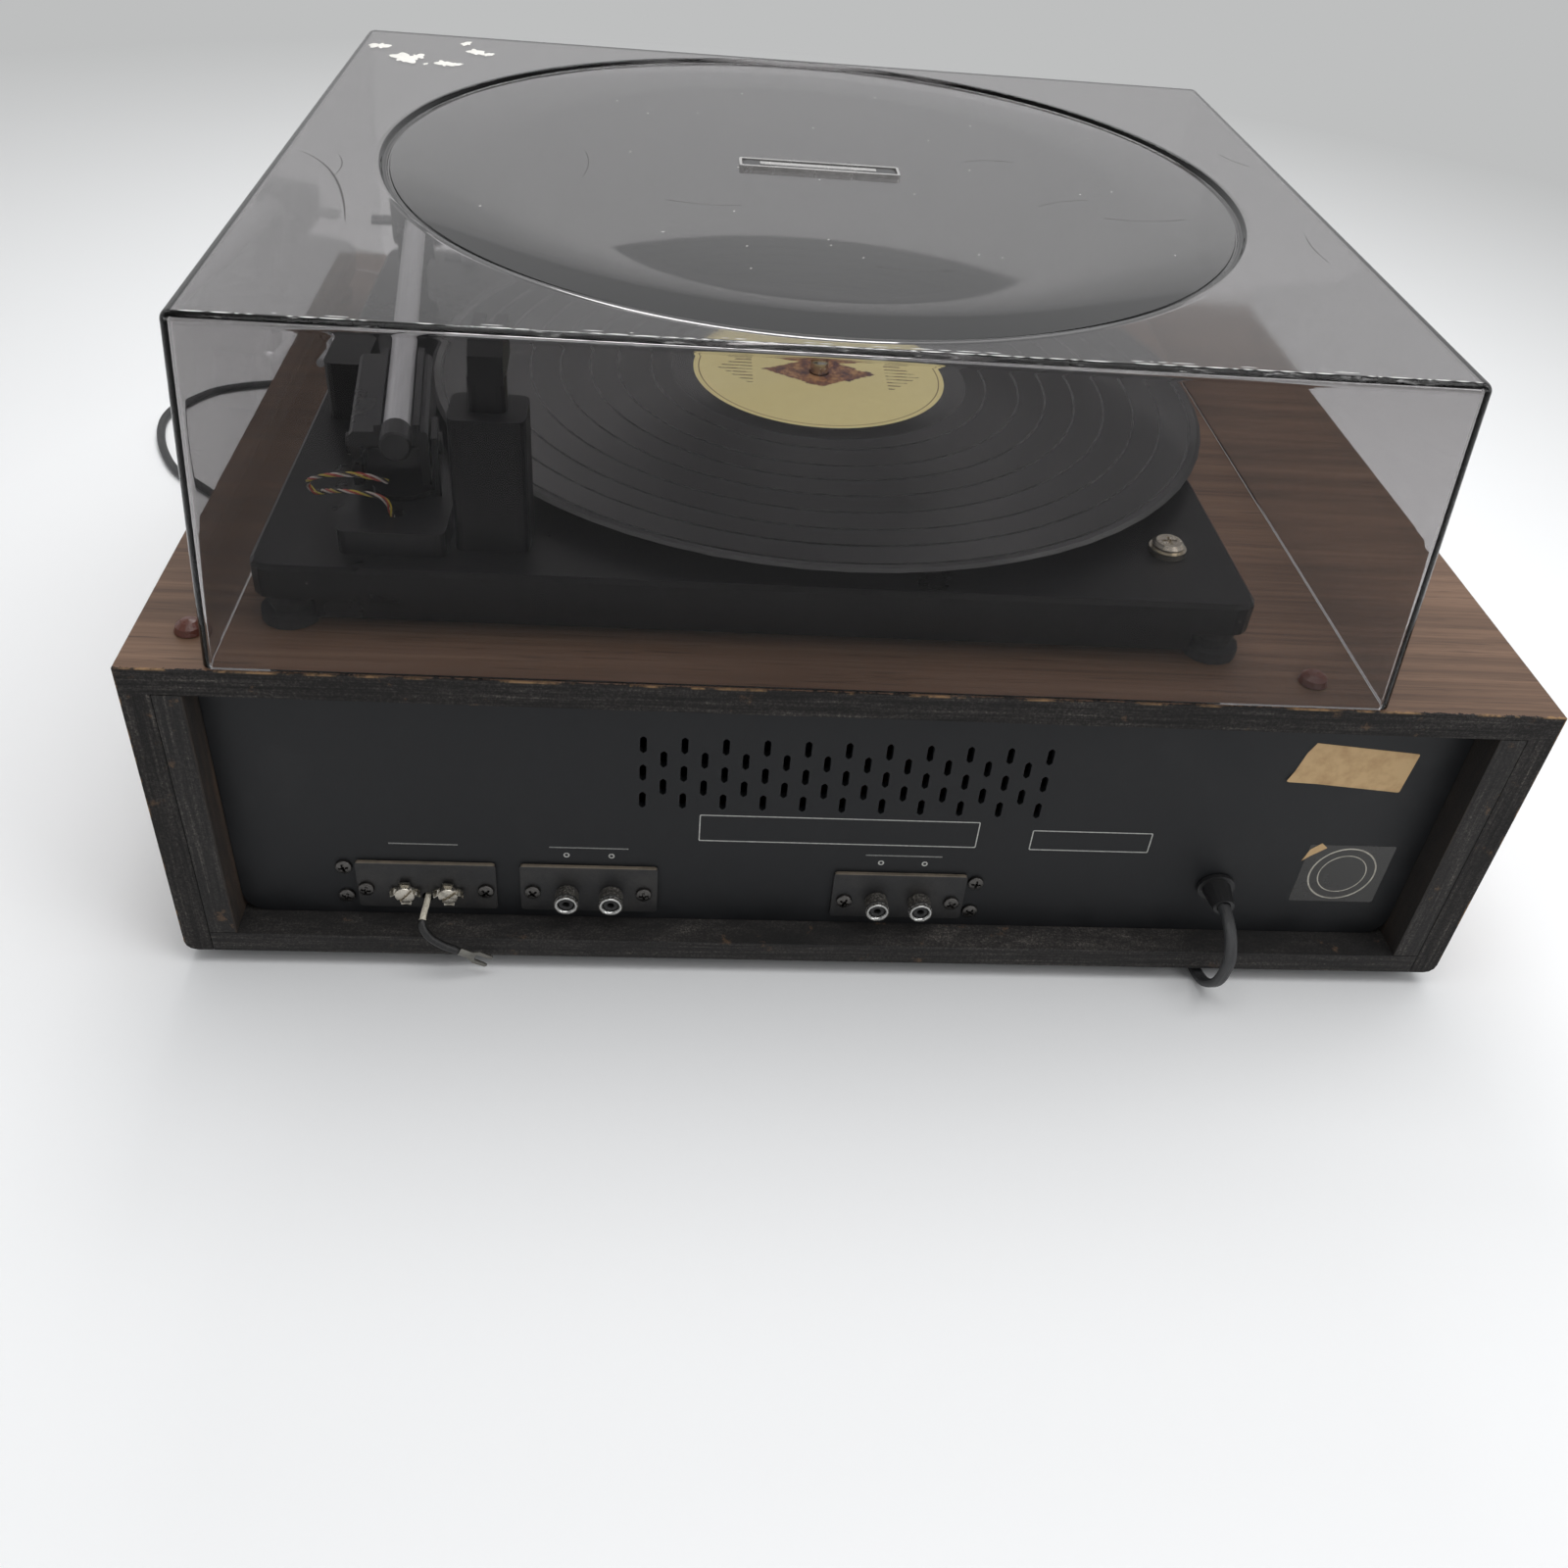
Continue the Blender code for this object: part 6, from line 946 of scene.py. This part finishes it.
def screw_head(centre, radius, height, recess, turn=0.0, domed=0.35, steps=56):
    """A head on +y: a low dome over the radius, less a recess whose depth is a function of the two ways across it."""
    reach = np.concatenate([np.linspace(0, 0.94, 16), [0.98, 1.0]])
    r, a = np.meshgrid(reach, circle(steps), indexing="ij")
    x, z = r * np.cos(a), r * np.sin(a)
    rise = height * (1 - domed * r**2) * np.where(r > 0.97, 1 - (r - 0.97) / 0.03 * 0.3, 1)
    u, v = x * np.cos(turn) + z * np.sin(turn), z * np.cos(turn) - x * np.sin(turn)
    rise = rise - recess(u, v) * height
    top = np.stack([centre[0] + radius * x, centre[1] + rise, centre[2] + radius * z], -1)
    skirt = np.stack([top[-1, :, 0], np.full(steps, centre[1]), top[-1, :, 2]], -1)[None]
    foot = np.broadcast_to(np.asarray(centre, float), (1, steps, 3))
    points = np.concatenate([top, skirt, foot])
    return sheet(points)


def cross_recess(u, v):
    """Depth of a cross recess: two slots that taper towards their ends."""
    reach = np.hypot(u, v)
    width = 0.15 - 0.05 * reach
    arm = (np.abs(u) < width) | (np.abs(v) < width)
    return np.where(arm & (reach < 0.62), 0.85 * (1 - 0.5 * reach), 0)


def slot_recess(u, v):
    """Depth of one straight slot across the head."""
    return np.where(np.abs(u) < 0.13, 0.42, 0)


def make_panel_screws(look):
    """The dark cross-head screws of the plates and the panel."""
    turns = np.linspace(0.2, 5.4, len(PANEL_SCREWS))
    parts = []
    for (x, z, on_plate), turn in zip(PANEL_SCREWS, turns):
        face = PLATE_FACE if on_plate else PANEL_FACE
        parts.append(screw_head((x, face + 0.00002, z), 0.0029, 0.0018, cross_recess, turn))
    put("panel_screws", *together(parts), look, "cabinet")


def make_terminals(look, screws):
    """Two screws on their clamping clips; a clip's edge is that of two crossed bars, and its four tips curl up."""
    shank = [(0, -0.0085), (0.0016, -0.0085), (0.0016, 0.0011), (0, 0.0011)]
    r, a = np.meshgrid(np.linspace(0.30, 1, 14), circle(96), indexing="ij")
    c, s = np.abs(np.cos(a)) + 1e-6, np.abs(np.sin(a)) + 1e-6
    bars = np.maximum(np.minimum(0.0054 / c, 0.0017 / s), np.minimum(0.0052 / s, 0.0019 / c))
    curl = 0.0013 * np.clip((r * bars - 0.0040) / 0.0014, 0, 1) ** 1.5
    upper = np.stack([r * bars * np.cos(a), 0.0008 + curl, r * bars * np.sin(a)], -1)
    clip = np.concatenate([upper, upper[::-1] - np.array([0, 0.0006, 0])])
    for side, x, turn in (("left", TERMINALS_X[0], 0.9), ("right", TERMINALS_X[1], 0.7)):
        head = screw_head((x, PLATE_FACE + 0.0010, TERMINAL_Z), 0.0036, 0.0025, slot_recess, turn, 0.18)
        place = (x, PLATE_FACE, TERMINAL_Z)
        made = put(f"terminal_screw_{side}", *together([head, turned(shank, place, 20)]), screws, "cabinet")
        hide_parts(f"terminal_{side}")
        put(f"terminal_clip_{side}", *sheet(clip + place, True), look, "cabinet")


def make_jack_trim(chrome, dark):
    """A bright rolled lip round each socket's mouth, and the dark core with its pin hole inside."""
    lip = [(0.0029, 0.0000), (0.0030, 0.0007), (0.0034, 0.0011), (0.0039, 0.0010), (0.00420, 0.0005)]
    lip += [(0.00428, -0.0002), (0.00436, -0.0008), (0.00431, -0.0009), (0.00431, -0.0001), (0.0029, -0.0001)]
    core = [(0.0028, -0.0052), (0.0028, -0.0006), (0.0025, -0.0003), (0.0014, -0.0003), (0.0012, -0.0006)]
    core += [(0.0012, -0.0052)]
    for name, profile, back, steps, look in (
        ("jack_lips", lip, 0.0009, 40, chrome),
        ("jack_cores", core, 0.0003, 32, dark),
    ):
        parts = [turned(profile, (x, JACK_END - back, JACK_Z), steps, True) for x in JACKS_X]
        put(name, *together(parts), look, "cabinet")


def flat_ring(outer, inner, low, high):
    """A frame between two outlines of (x, z) with the same number of points, from one y to another."""
    rings = [(outer, low), (outer, high), (inner, high), (inner, low)]
    points = np.stack([np.stack([line[:, 0], np.full(len(line), y), line[:, 1]], -1) for line, y in rings])
    return sheet(points, True)


def oblong(left, right, low, high, corner=0.0004, steps=4):
    """Points round a rectangle with rounded corners."""
    angle = np.linspace(0, np.pi / 2, steps)
    left, right, low, high = left + corner, right - corner, low + corner, high - corner
    arcs = [
        (x + corner * np.cos(angle + k * np.pi / 2), z + corner * np.sin(angle + k * np.pi / 2))
        for k, (x, z) in enumerate(((right, high), (left, high), (left, low), (right, low)))
    ]
    return np.concatenate([np.stack(arc, -1) for arc in arcs])


def make_print(look):
    """The thin printed frames on the panel, left empty, and plain marks over the sockets."""
    frames = [
        (-0.0482, 0.0522, 0.0551, 0.0674, 0.0004, 0.0006, 0.0003),
        (-0.1123, -0.0678, 0.0548, 0.0643, 0.0004, 0.0006, 0.0003),
    ]
    for middle, half in ((0.0910, 0.0140), (-0.0227, 0.0140), (0.1492, 0.0120)):
        frames.append((middle - half, middle + half, 0.0500, 0.0504, 0.0001, 0.0001, 0.00005))
    frames += [(x - 0.0011, x + 0.0011, 0.0455, 0.0477, 0.0005, 0.0010, 0.0005) for x in JACKS_X]
    parts = []
    for left, right, foot, head, line, corner, inner_corner in frames:
        outer = oblong(left, right, foot, head, corner)
        inner = oblong(left + line, right - line, foot + line, head - line, inner_corner)
        parts.append(flat_ring(outer, inner, PANEL_FACE + 0.00001, PANEL_FACE + 0.00006))
    put("panel_print", *together(parts), look, "cabinet", smooth=False)


def leaf(outline, y, thick, curl):
    """A thin leaf within an outline of (x, z): rings drawn in to its middle, its height off the panel by curl."""
    middle = outline.mean(0)
    shares = np.linspace(0, 1, 9)[:, None, None]
    flat = middle + (outline - middle) * shares
    height = y + thick + curl(flat[..., 0], flat[..., 1])
    upper = np.stack([flat[..., 0], height, flat[..., 1]], -1)
    lower = upper[::-1] - np.array([0, thick, 0])
    points = np.concatenate([upper, lower])
    return sheet(points)


def added(outline, count):
    """A closed outline with each side cut into equal steps."""
    step = (np.arange(count) / count)[None, :, None]
    ahead = np.roll(outline, -1, 0) - outline
    return (outline[:, None] + ahead[:, None] * step).reshape(-1, 2)


def make_stickers(beige, silver, film):
    """Bare stickers on the panel: a tilted torn paper with a lifted corner, and a ring on a dark film with a scrap."""
    tilt = 0.09
    dense = added(oblong(-0.0245, 0.0185, -0.0088, 0.0088, 0.0006, 3), 4)
    dense = dense[np.argsort(np.arctan2(dense[:, 1] / 0.0088, (dense[:, 0] + 0.0030) / 0.0215))]
    torn = np.clip((dense[:, 0] - 0.0100) / 0.0085, 0, 1)
    dense[:, 0] += torn * (-0.0020 - 0.22 * dense[:, 1] + 0.0004 * np.sin(dense[:, 1] * 2100))
    turn = np.array([(np.cos(tilt), np.sin(tilt)), (-np.sin(tilt), np.cos(tilt))])
    outline = dense @ turn + np.array([-0.1732, 0.0978])

    def lifted(x, z):
        return 0.0022 * np.clip((x + 0.1635) / 0.010, 0, 1) ** 2 * np.clip((0.0965 - z) / 0.010, 0, 1) ** 2

    def flat(x, z):
        return 0 * x

    put("paper_sticker", *leaf(outline, PANEL_FACE + 0.00002, 0.00008, lifted), beige, "cabinet")
    middle = np.array((-0.1890, 0.0468))
    sheet = middle + oblong(-0.0165, 0.0165, -0.0142, 0.0142, 0.0008)
    put("film_square", *leaf(sheet, PANEL_FACE + 0.00001, 0.00005, flat), film, "cabinet")
    way, low, high = round_way(96), PANEL_FACE + 0.00005, PANEL_FACE + 0.00009
    radii = ((0.0128, 0.0122), (0.0092, 0.0088))
    rings = [flat_ring(middle + outer * way, middle + inner * way, low, high) for outer, inner in radii]
    put("film_rings", *together(rings), silver, "cabinet")
    scrap = np.array([(0.0098, 0.0128), (0.0152, 0.0085), (0.0176, 0.0062), (0.0160, 0.0118), (0.0124, 0.0150)])
    put("torn_scrap", *leaf(middle + added(scrap, 2), PANEL_FACE + 0.00008, 0.00006, flat), beige, "cabinet")


def make_name_bar(frame_look, bar_look):
    """A slim bare bar on the lid's field, raised in a thin bright frame, with a plain bright strip on it."""
    left, right, front, rear = 0.0157 - 0.0290, 0.0157 + 0.0290, 0.0155 - 0.0048, 0.0155 + 0.0048
    floor, top = LID_TOP - 0.0015, LID_TOP - 0.0001
    outer = oblong(left, right, front, rear, 0.0010)
    inner = oblong(left + 0.0010, right - 0.0010, front + 0.0012, rear - 0.0012, 0.0005)
    bar = oblong(left + 0.0011, right - 0.0011, front + 0.0013, rear - 0.0013, 0.0005)
    strip = oblong(left + 0.0085, right - 0.0075, front + 0.0032, rear - 0.0032, 0.0006)
    frame_rings = [(outer, 1, floor), (outer, 1, top - 0.0004), (outer, 0.998, top), (inner, 1, top), (inner, 1, floor)]
    bar_rings = [(bar, 0, floor), (bar, 1, floor), (bar, 1, top - 0.0006), (bar, 0.94, top - 0.0003)]
    bar_rings += [(bar, 0, top - 0.0003)]
    strip_rings = [(strip, share, top - down) for share, down in ((0, 4e-4), (1, 4e-4), (1, 1e-4), (0, 1e-4))]
    for name, rings, closed, look in (
        ("name_bar_frame", frame_rings, True, frame_look),
        ("name_bar", bar_rings, False, bar_look),
        ("name_strip", strip_rings, False, frame_look),
    ):
        drawn = [(line.mean(0) + (line - line.mean(0)) * share, z) for line, share, z in rings]
        points = np.stack([np.column_stack([line, np.full(len(line), z)]) for line, z in drawn])
        put(name, *sheet(points, closed), look, "cover")


def make_paint_flecks(look):
    """Dried white paint on the lid's top: flat drops, each edge an ellipse swung by waves, so it runs out in points."""
    z = LID_TOP + 0.00001
    drops = [
        (0.1918, -0.1100, 0.0048, 0.0062, 1.4),
        (0.1790, -0.0935, 0.0060, 0.0105, 2.6),
        (0.1745, -0.0960, 0.0034, 0.0070, 0.2),
        (0.1695, -0.0860, 0.0010, 0.0022, 0.7),
        (0.1624, -0.0888, 0.0042, 0.0060, 2.0),
        (0.1585, -0.0885, 0.0034, 0.0034, 1.1),
        (0.1578, -0.1235, 0.0022, 0.0052, 0.6),
        (0.1520, -0.1105, 0.0042, 0.0066, 2.2),
        (0.1468, -0.1080, 0.0024, 0.0036, 0.9),
    ]
    angle = circle(60)
    shares = np.array([0.0, 0.5, 0.85, 1.0])[:, None]
    height = np.array([0.00027, 0.00024, 0.00016, 0.0])[:, None] + 0 * angle
    parts = []
    for x, y, wide, deep, phase in drops:
        edge = 0.62 + 0.22 * np.sin(2 * angle + phase) + 0.24 * np.abs(np.sin(2.5 * angle + 2 * phase)) ** 3
        reach = shares * (edge + 0.10 * np.sin(7 * angle + phase))
        upper = np.stack([x + reach * wide * np.cos(angle), y + reach * deep * np.sin(angle), z + height], -1)
        points = np.concatenate([upper, np.broadcast_to((x, y, z), (1, 60, 3))])
        parts.append(sheet(points))
    put("paint_flecks", *together(parts), look, "cover")


def number(text, x, y, z, size, depth=0.00006):
    """A numeral lying on a face that looks along -y, as points and faces."""
    curve = bpy.data.curves.new("numeral", "FONT")
    curve.body = text
    curve.size = size
    curve.align_x = "CENTER"
    curve.align_y = "CENTER"
    curve.extrude = depth / 2
    curve.resolution_u = 3
    made = bpy.data.objects.new("numeral", curve)
    bpy.context.scene.collection.objects.link(made)
    bpy.context.view_layer.update()
    mesh = made.evaluated_get(bpy.context.evaluated_depsgraph_get()).to_mesh()
    mesh.calc_loop_triangles()
    co = np.empty(len(mesh.vertices) * 3, np.float32)
    mesh.vertices.foreach_get("co", co)
    tris = np.empty(len(mesh.loop_triangles) * 3, np.int32)
    mesh.loop_triangles.foreach_get("vertices", tris)
    co = co.reshape(-1, 3)
    bpy.data.objects.remove(made)
    return np.stack([x + co[:, 0], y - co[:, 2], z + co[:, 1]], 1), tris.reshape(-1, 3)


def strokes(lines, y, thick, depth=0.00006):
    """Straight strokes on a face that looks along -y, each a thin box from one (x, z) to another."""
    ends = np.asarray(lines, float)
    start, end = ends[:, :2], ends[:, 2:]
    way = (end - start) / np.linalg.norm(end - start, axis=1)[:, None]
    side = np.stack([-way[:, 1], way[:, 0]], 1) * thick / 2
    corners = np.stack([start - side, start + side, end + side, end - side] * 2, 1)
    depths = np.broadcast_to(np.repeat([y, y - depth], 4), (len(ends), 8))
    points = np.stack([corners[..., 0], depths, corners[..., 1]], -1)
    cell = np.array([(0, 1, 2, 3), (4, 7, 6, 5), (0, 4, 5, 1), (1, 5, 6, 2), (2, 6, 7, 3), (3, 7, 4, 0)])
    faces = (cell[None] + 8 * np.arange(len(ends))[:, None, None]).reshape(-1, 4)
    return points.reshape(-1, 3), faces


def make_dial(look, warm):
    """The dial's two rows of numbers with their scale lines, and the marks round the three small knobs."""
    left, size, proud = 0.165, 0.0052, 0.00006
    numbers = [
        number(text, left - step * i, DIAL_FLOOR - proud, height, size)
        for texts, step, height in (("88 92 98 104 108", 0.0825, 0.1035), ("54 60 80 100 130 160", 0.066, 0.0855))
        for i, text in enumerate(texts.split())
    ]
    put("dial_numbers", *together(numbers), look, "cabinet", smooth=False)
    x = np.linspace(-0.170, 0.170, 69)
    tall = np.where(np.arange(69) % 4 == 0, 0.0030, 0.0016)
    ticks = [np.stack([x, 0 * x + z, x, z + way * tall], 1) for z, way in ((0.0985, -1), (0.0905, 1))]
    rails = [(-0.172, 0.0987, 0.172, 0.0987), (-0.172, 0.0903, 0.172, 0.0903)]
    scale = strokes(np.concatenate([*ticks, rails]), DIAL_FLOOR - 0.00002, 0.0004)
    put("dial_scale", *scale, warm, "cabinet", smooth=False)
    marks = []
    for middle, reach, count, outer in ((0.005, 150, 11, 0.0172), (-0.055, 150, 11, 0.0172), (-0.115, 60, 4, 0.0178)):
        angle = np.radians(np.linspace(-reach, reach, count))
        ends = [(middle + radius * np.sin(angle), CONTROL_Z + radius * np.cos(angle)) for radius in (0.0150, outer)]
        marks.append(np.stack([*ends[0], *ends[1]], 1))
    put("knob_marks", *strokes(np.concatenate(marks), FASCIA_FACE - 0.00002, 0.0005), look, "cabinet", smooth=False)


def dress_nodes():
    """A finish for every solid that shows."""
    soft = plastic("arm_plastic", shade(16, 16, 18), 0.33, 0.25, Specular_IOR_Level=0.3)
    steel = metal("zinc_steel", shade(150, 148, 142), 0.35, (40, 300, 300))
    black_rubber = rubber("black_rubber")
    batten = batten_board()
    plate = plate_finish()
    plug = ((shade(46, 47, 49), shade(188, 160, 104)), (0.5, 0.3), (0.0, 1.0), 300)
    tube = ((shade(192, 193, 196), shade(20, 20, 22)), (0.34, 0.4), (0.35, 0.0), (400, 30, 400))
    finishes = {
        "cabinet_wrap": walnut_wrap(),
        "bottom_board": raw_board("bottom_paint", (22, 60, 620)),
        "batten_left": batten,
        "batten_right": batten,
        "rear_panel": panel_paint("panel_paint", shade(25, 26, 28), 0.5),
        "antenna_plate": plate,
        "tape_plate": plate,
        "speaker_plate": plate,
        "strain_relief": plastic("relief_plastic", shade(28, 28, 29), 0.42, 0.5),
        "power_plug": two_parts("plug_finish", "x", 0.1716, *plug),
        "lid_dome_left": plastic("dome_brown", shade(92, 48, 36), 0.3, 0.2),
        "lid_dome_right": plastic("dome_brown_right", shade(92, 48, 36), 0.3, 0.2),
        "deck_plate": deck_moulding(),
        "platter": metal("platter_alloy", shade(186, 187, 190), 0.3, (300, 300, 20)),
        "platter_mat": rubber("mat_rubber", shade(30, 30, 31)),
        "record": record_vinyl(),
        "spindle": metal("nickel", shade(198, 194, 186), 0.22),
        "motor": steel,
        "motor_pulley": metal("pulley_brass", shade(196, 172, 120)),
        "idler_wheel": black_rubber,
        "transit_screw_rear": metal("transit_nickel", shade(214, 206, 190), 0.2),
        "transit_screw_front": metal("transit_nickel_front", shade(214, 206, 190), 0.2),
        "arm_pedestal": soft,
        "arm_gimbal": soft,
        "arm_housing": plastic("housing_plastic", shade(16, 16, 18), 0.28, Specular_IOR_Level=0.35),
        "arm_tube": two_parts("arm_tube_finish", "y", 0.1277, *tube),
        "headshell": plastic("headshell_plastic", shade(24, 24, 26), 0.28),
        "arm_rest": soft,
        "overarm_post": plastic("post_plastic", shade(14, 14, 16), 0.36, 0.25, Specular_IOR_Level=0.25),
        "cue_lever": metal("cue_chrome", shade(176, 176, 178), 0.2),
        "start_lever": plastic("start_cap", shade(150, 152, 156)),
        "speed_lever": plastic("speed_cap", shade(150, 152, 156)),
        "fascia": fascia_finish(),
        "dial_glass": clear_window("dial_window", shade(232, 236, 238)),
        "dial_pointer": ink("pointer_red", shade(196, 44, 30)),
        "power_button": plastic("button_grey", shade(168, 168, 170)),
        "chassis": steel,
        "transformer": metal("core_steel", shade(96, 92, 88), 0.5, (30, 30, 900)),
        "circuit_board": board_phenolic(),
        "tuning_capacitor": metal("tuner_plates", shade(190, 190, 188), 0.3, (700, 30, 30)),
    }
    for corner in ("rear_left", "rear_right", "front_left", "front_right"):
        finishes[f"foot_{corner}"] = finishes[f"deck_mount_{corner}"] = black_rubber
    for kind, x, radius in KNOBS:
        finishes[f"{kind}_knob"] = knob_finish(f"{kind}_knob_finish", x, CONTROL_Z, radius)
    for name, look in finishes.items():
        node = NODES[name]
        node.data.materials.clear()
        node.data.materials.append(look)


def make_table():
    """A white table that turns into an even pale grey away from the object, for what is seen and not for light."""
    look = Look("table_white", shade(240, 241, 242), 0.7)
    fade = look.noise(1.5, 2)
    look.set(Base_Color=look.blend(fade, shade(238, 239, 240), shade(243, 244, 245)))
    wall = look.node("ShaderNodeEmission", Color=shade(190, 191, 191))
    look.covered(look.seen() * look.between(look.radius(0.0, 0.0), *TABLE_FADES), wall)
    span = np.linspace(-TABLE_REACH, TABLE_REACH, 33)
    x, y = np.meshgrid(span, span, indexing="ij")
    points = np.stack([x, y, 0 * x], -1).reshape(-1, 3)
    put("table_top", points, grid(33, 33)[:, ::-1], look.material, None, smooth=False)


def make_sky():
    """A sky with one strength as light, and another, by height, where it is seen."""
    world = bpy.data.worlds.new("studio")
    bpy.context.scene.world = world
    world.use_nodes = True
    sky = Nodes(world.node_tree)
    height = sky.parts(sky.node("ShaderNodeTexCoord").outputs["Generated"])[2]
    strength = sky.node("ShaderNodeMix")
    seen = sky.steps(height, *((place, (level, level, level, 1)) for place, level in SKY_SEEN))
    for index, value in ((0, sky.seen()), (2, SKY_LIGHT), (3, seen)):
        sky.feed(strength.inputs[index], value)
    back = sky.tree.nodes["Background"]
    sky.feed(back.inputs["Strength"], strength.outputs[0])
    back.inputs["Color"].default_value = (0.985, 0.99, 1.0, 1)


def stand(name, data):
    """An object for a lamp or a lens."""
    holder = bpy.data.objects.new(name, data)
    bpy.context.scene.collection.objects.link(holder)
    return holder


def make_lamps():
    """Soft lamps, each turned towards the object."""
    aim = Vector((0, 0, 0.1))
    for name, place, size, energy in LAMPS:
        lamp = bpy.data.lights.new(name, "AREA")
        lamp.shape = "RECTANGLE"
        lamp.size, lamp.size_y = size
        lamp.energy = energy
        holder = stand(name, lamp)
        holder.location = place
        holder.rotation_mode = "QUATERNION"
        holder.rotation_quaternion = (aim - Vector(place)).to_track_quat("-Z", "Y")


def make_camera():
    """The lens where the photograph was taken from: forward from yaw and pitch, then rolled about that way."""
    level = math.cos(EYE_PITCH)
    ahead = Vector((math.sin(EYE_YAW) * level, -math.cos(EYE_YAW) * level, -math.sin(EYE_PITCH)))
    right = Vector((-math.cos(EYE_YAW), -math.sin(EYE_YAW), 0))
    up = right.cross(ahead)
    across = right * math.cos(EYE_ROLL) + up * math.sin(EYE_ROLL)
    above = -right * math.sin(EYE_ROLL) + up * math.cos(EYE_ROLL)
    lens = bpy.data.cameras.new("photo_view")
    lens.lens = EYE_LENS
    lens.sensor_width = 36
    lens.clip_start = 0.01
    holder = stand("photo_view", lens)
    holder.matrix_world = Matrix.Translation(EYE) @ Matrix((across, above, -ahead)).transposed().to_4x4()
    bpy.context.scene.camera = holder


for thing in [o for o in bpy.context.scene.objects if o.type in ("LIGHT", "CAMERA")]:
    bpy.data.objects.remove(thing)
make_camera()
make_cord(cord_cover())
make_aerial_lead(lead_cover(), make_lug(metal("tinned_lug", shade(132, 130, 124), 0.40)))
make_lid(lid_clear())
make_arm_wires(
    [
        wire_cover("wire_yellow", shade(196, 176, 70)),
        wire_cover("wire_red", shade(176, 74, 66)),
        wire_cover("wire_white", shade(204, 196, 188)),
        wire_cover("wire_black", shade(34, 32, 32)),
    ]
)
dress_nodes()
bright = metal("bright_plate", shade(206, 202, 192), 0.24)
make_terminals(bright, metal("screw_nickel", shade(200, 194, 182), 0.26))
make_jack_trim(metal("jack_chrome", shade(190, 190, 188), 0.2), plastic("jack_core", shade(22, 22, 23), 0.5, 0.35))
make_panel_screws(metal("dark_screw", shade(92, 90, 88), 0.32))
make_print(ink("panel_ink", shade(188, 188, 184)))
make_stickers(
    aged_paper("paper_beige", shade(200, 168, 122), shade(166, 130, 86)),
    aged_paper("ring_grey", shade(186, 182, 170), shade(120, 116, 108)),
    plastic("film_dark", shade(38, 37, 35), 0.14),
)
make_name_bar(metal("name_frame", shade(206, 204, 202), 0.2), plastic("name_black", shade(14, 14, 16), 0.25, 0.35))
make_lid_wear(ink("wear_white", shade(224, 224, 222)))
make_lid_marks(ink("scratch_dark", shade(70, 68, 68)), ink("dust_pale", shade(196, 194, 190)))
make_paint_flecks(plastic("fleck_white", shade(226, 224, 218), 0.5, 0.2))
make_dial(ink("dial_white", shade(206, 208, 204)), ink("dial_line", shade(150, 170, 160)))
make_table()
make_sky()
make_lamps()
bpy.context.scene.view_settings.view_transform = "Standard"
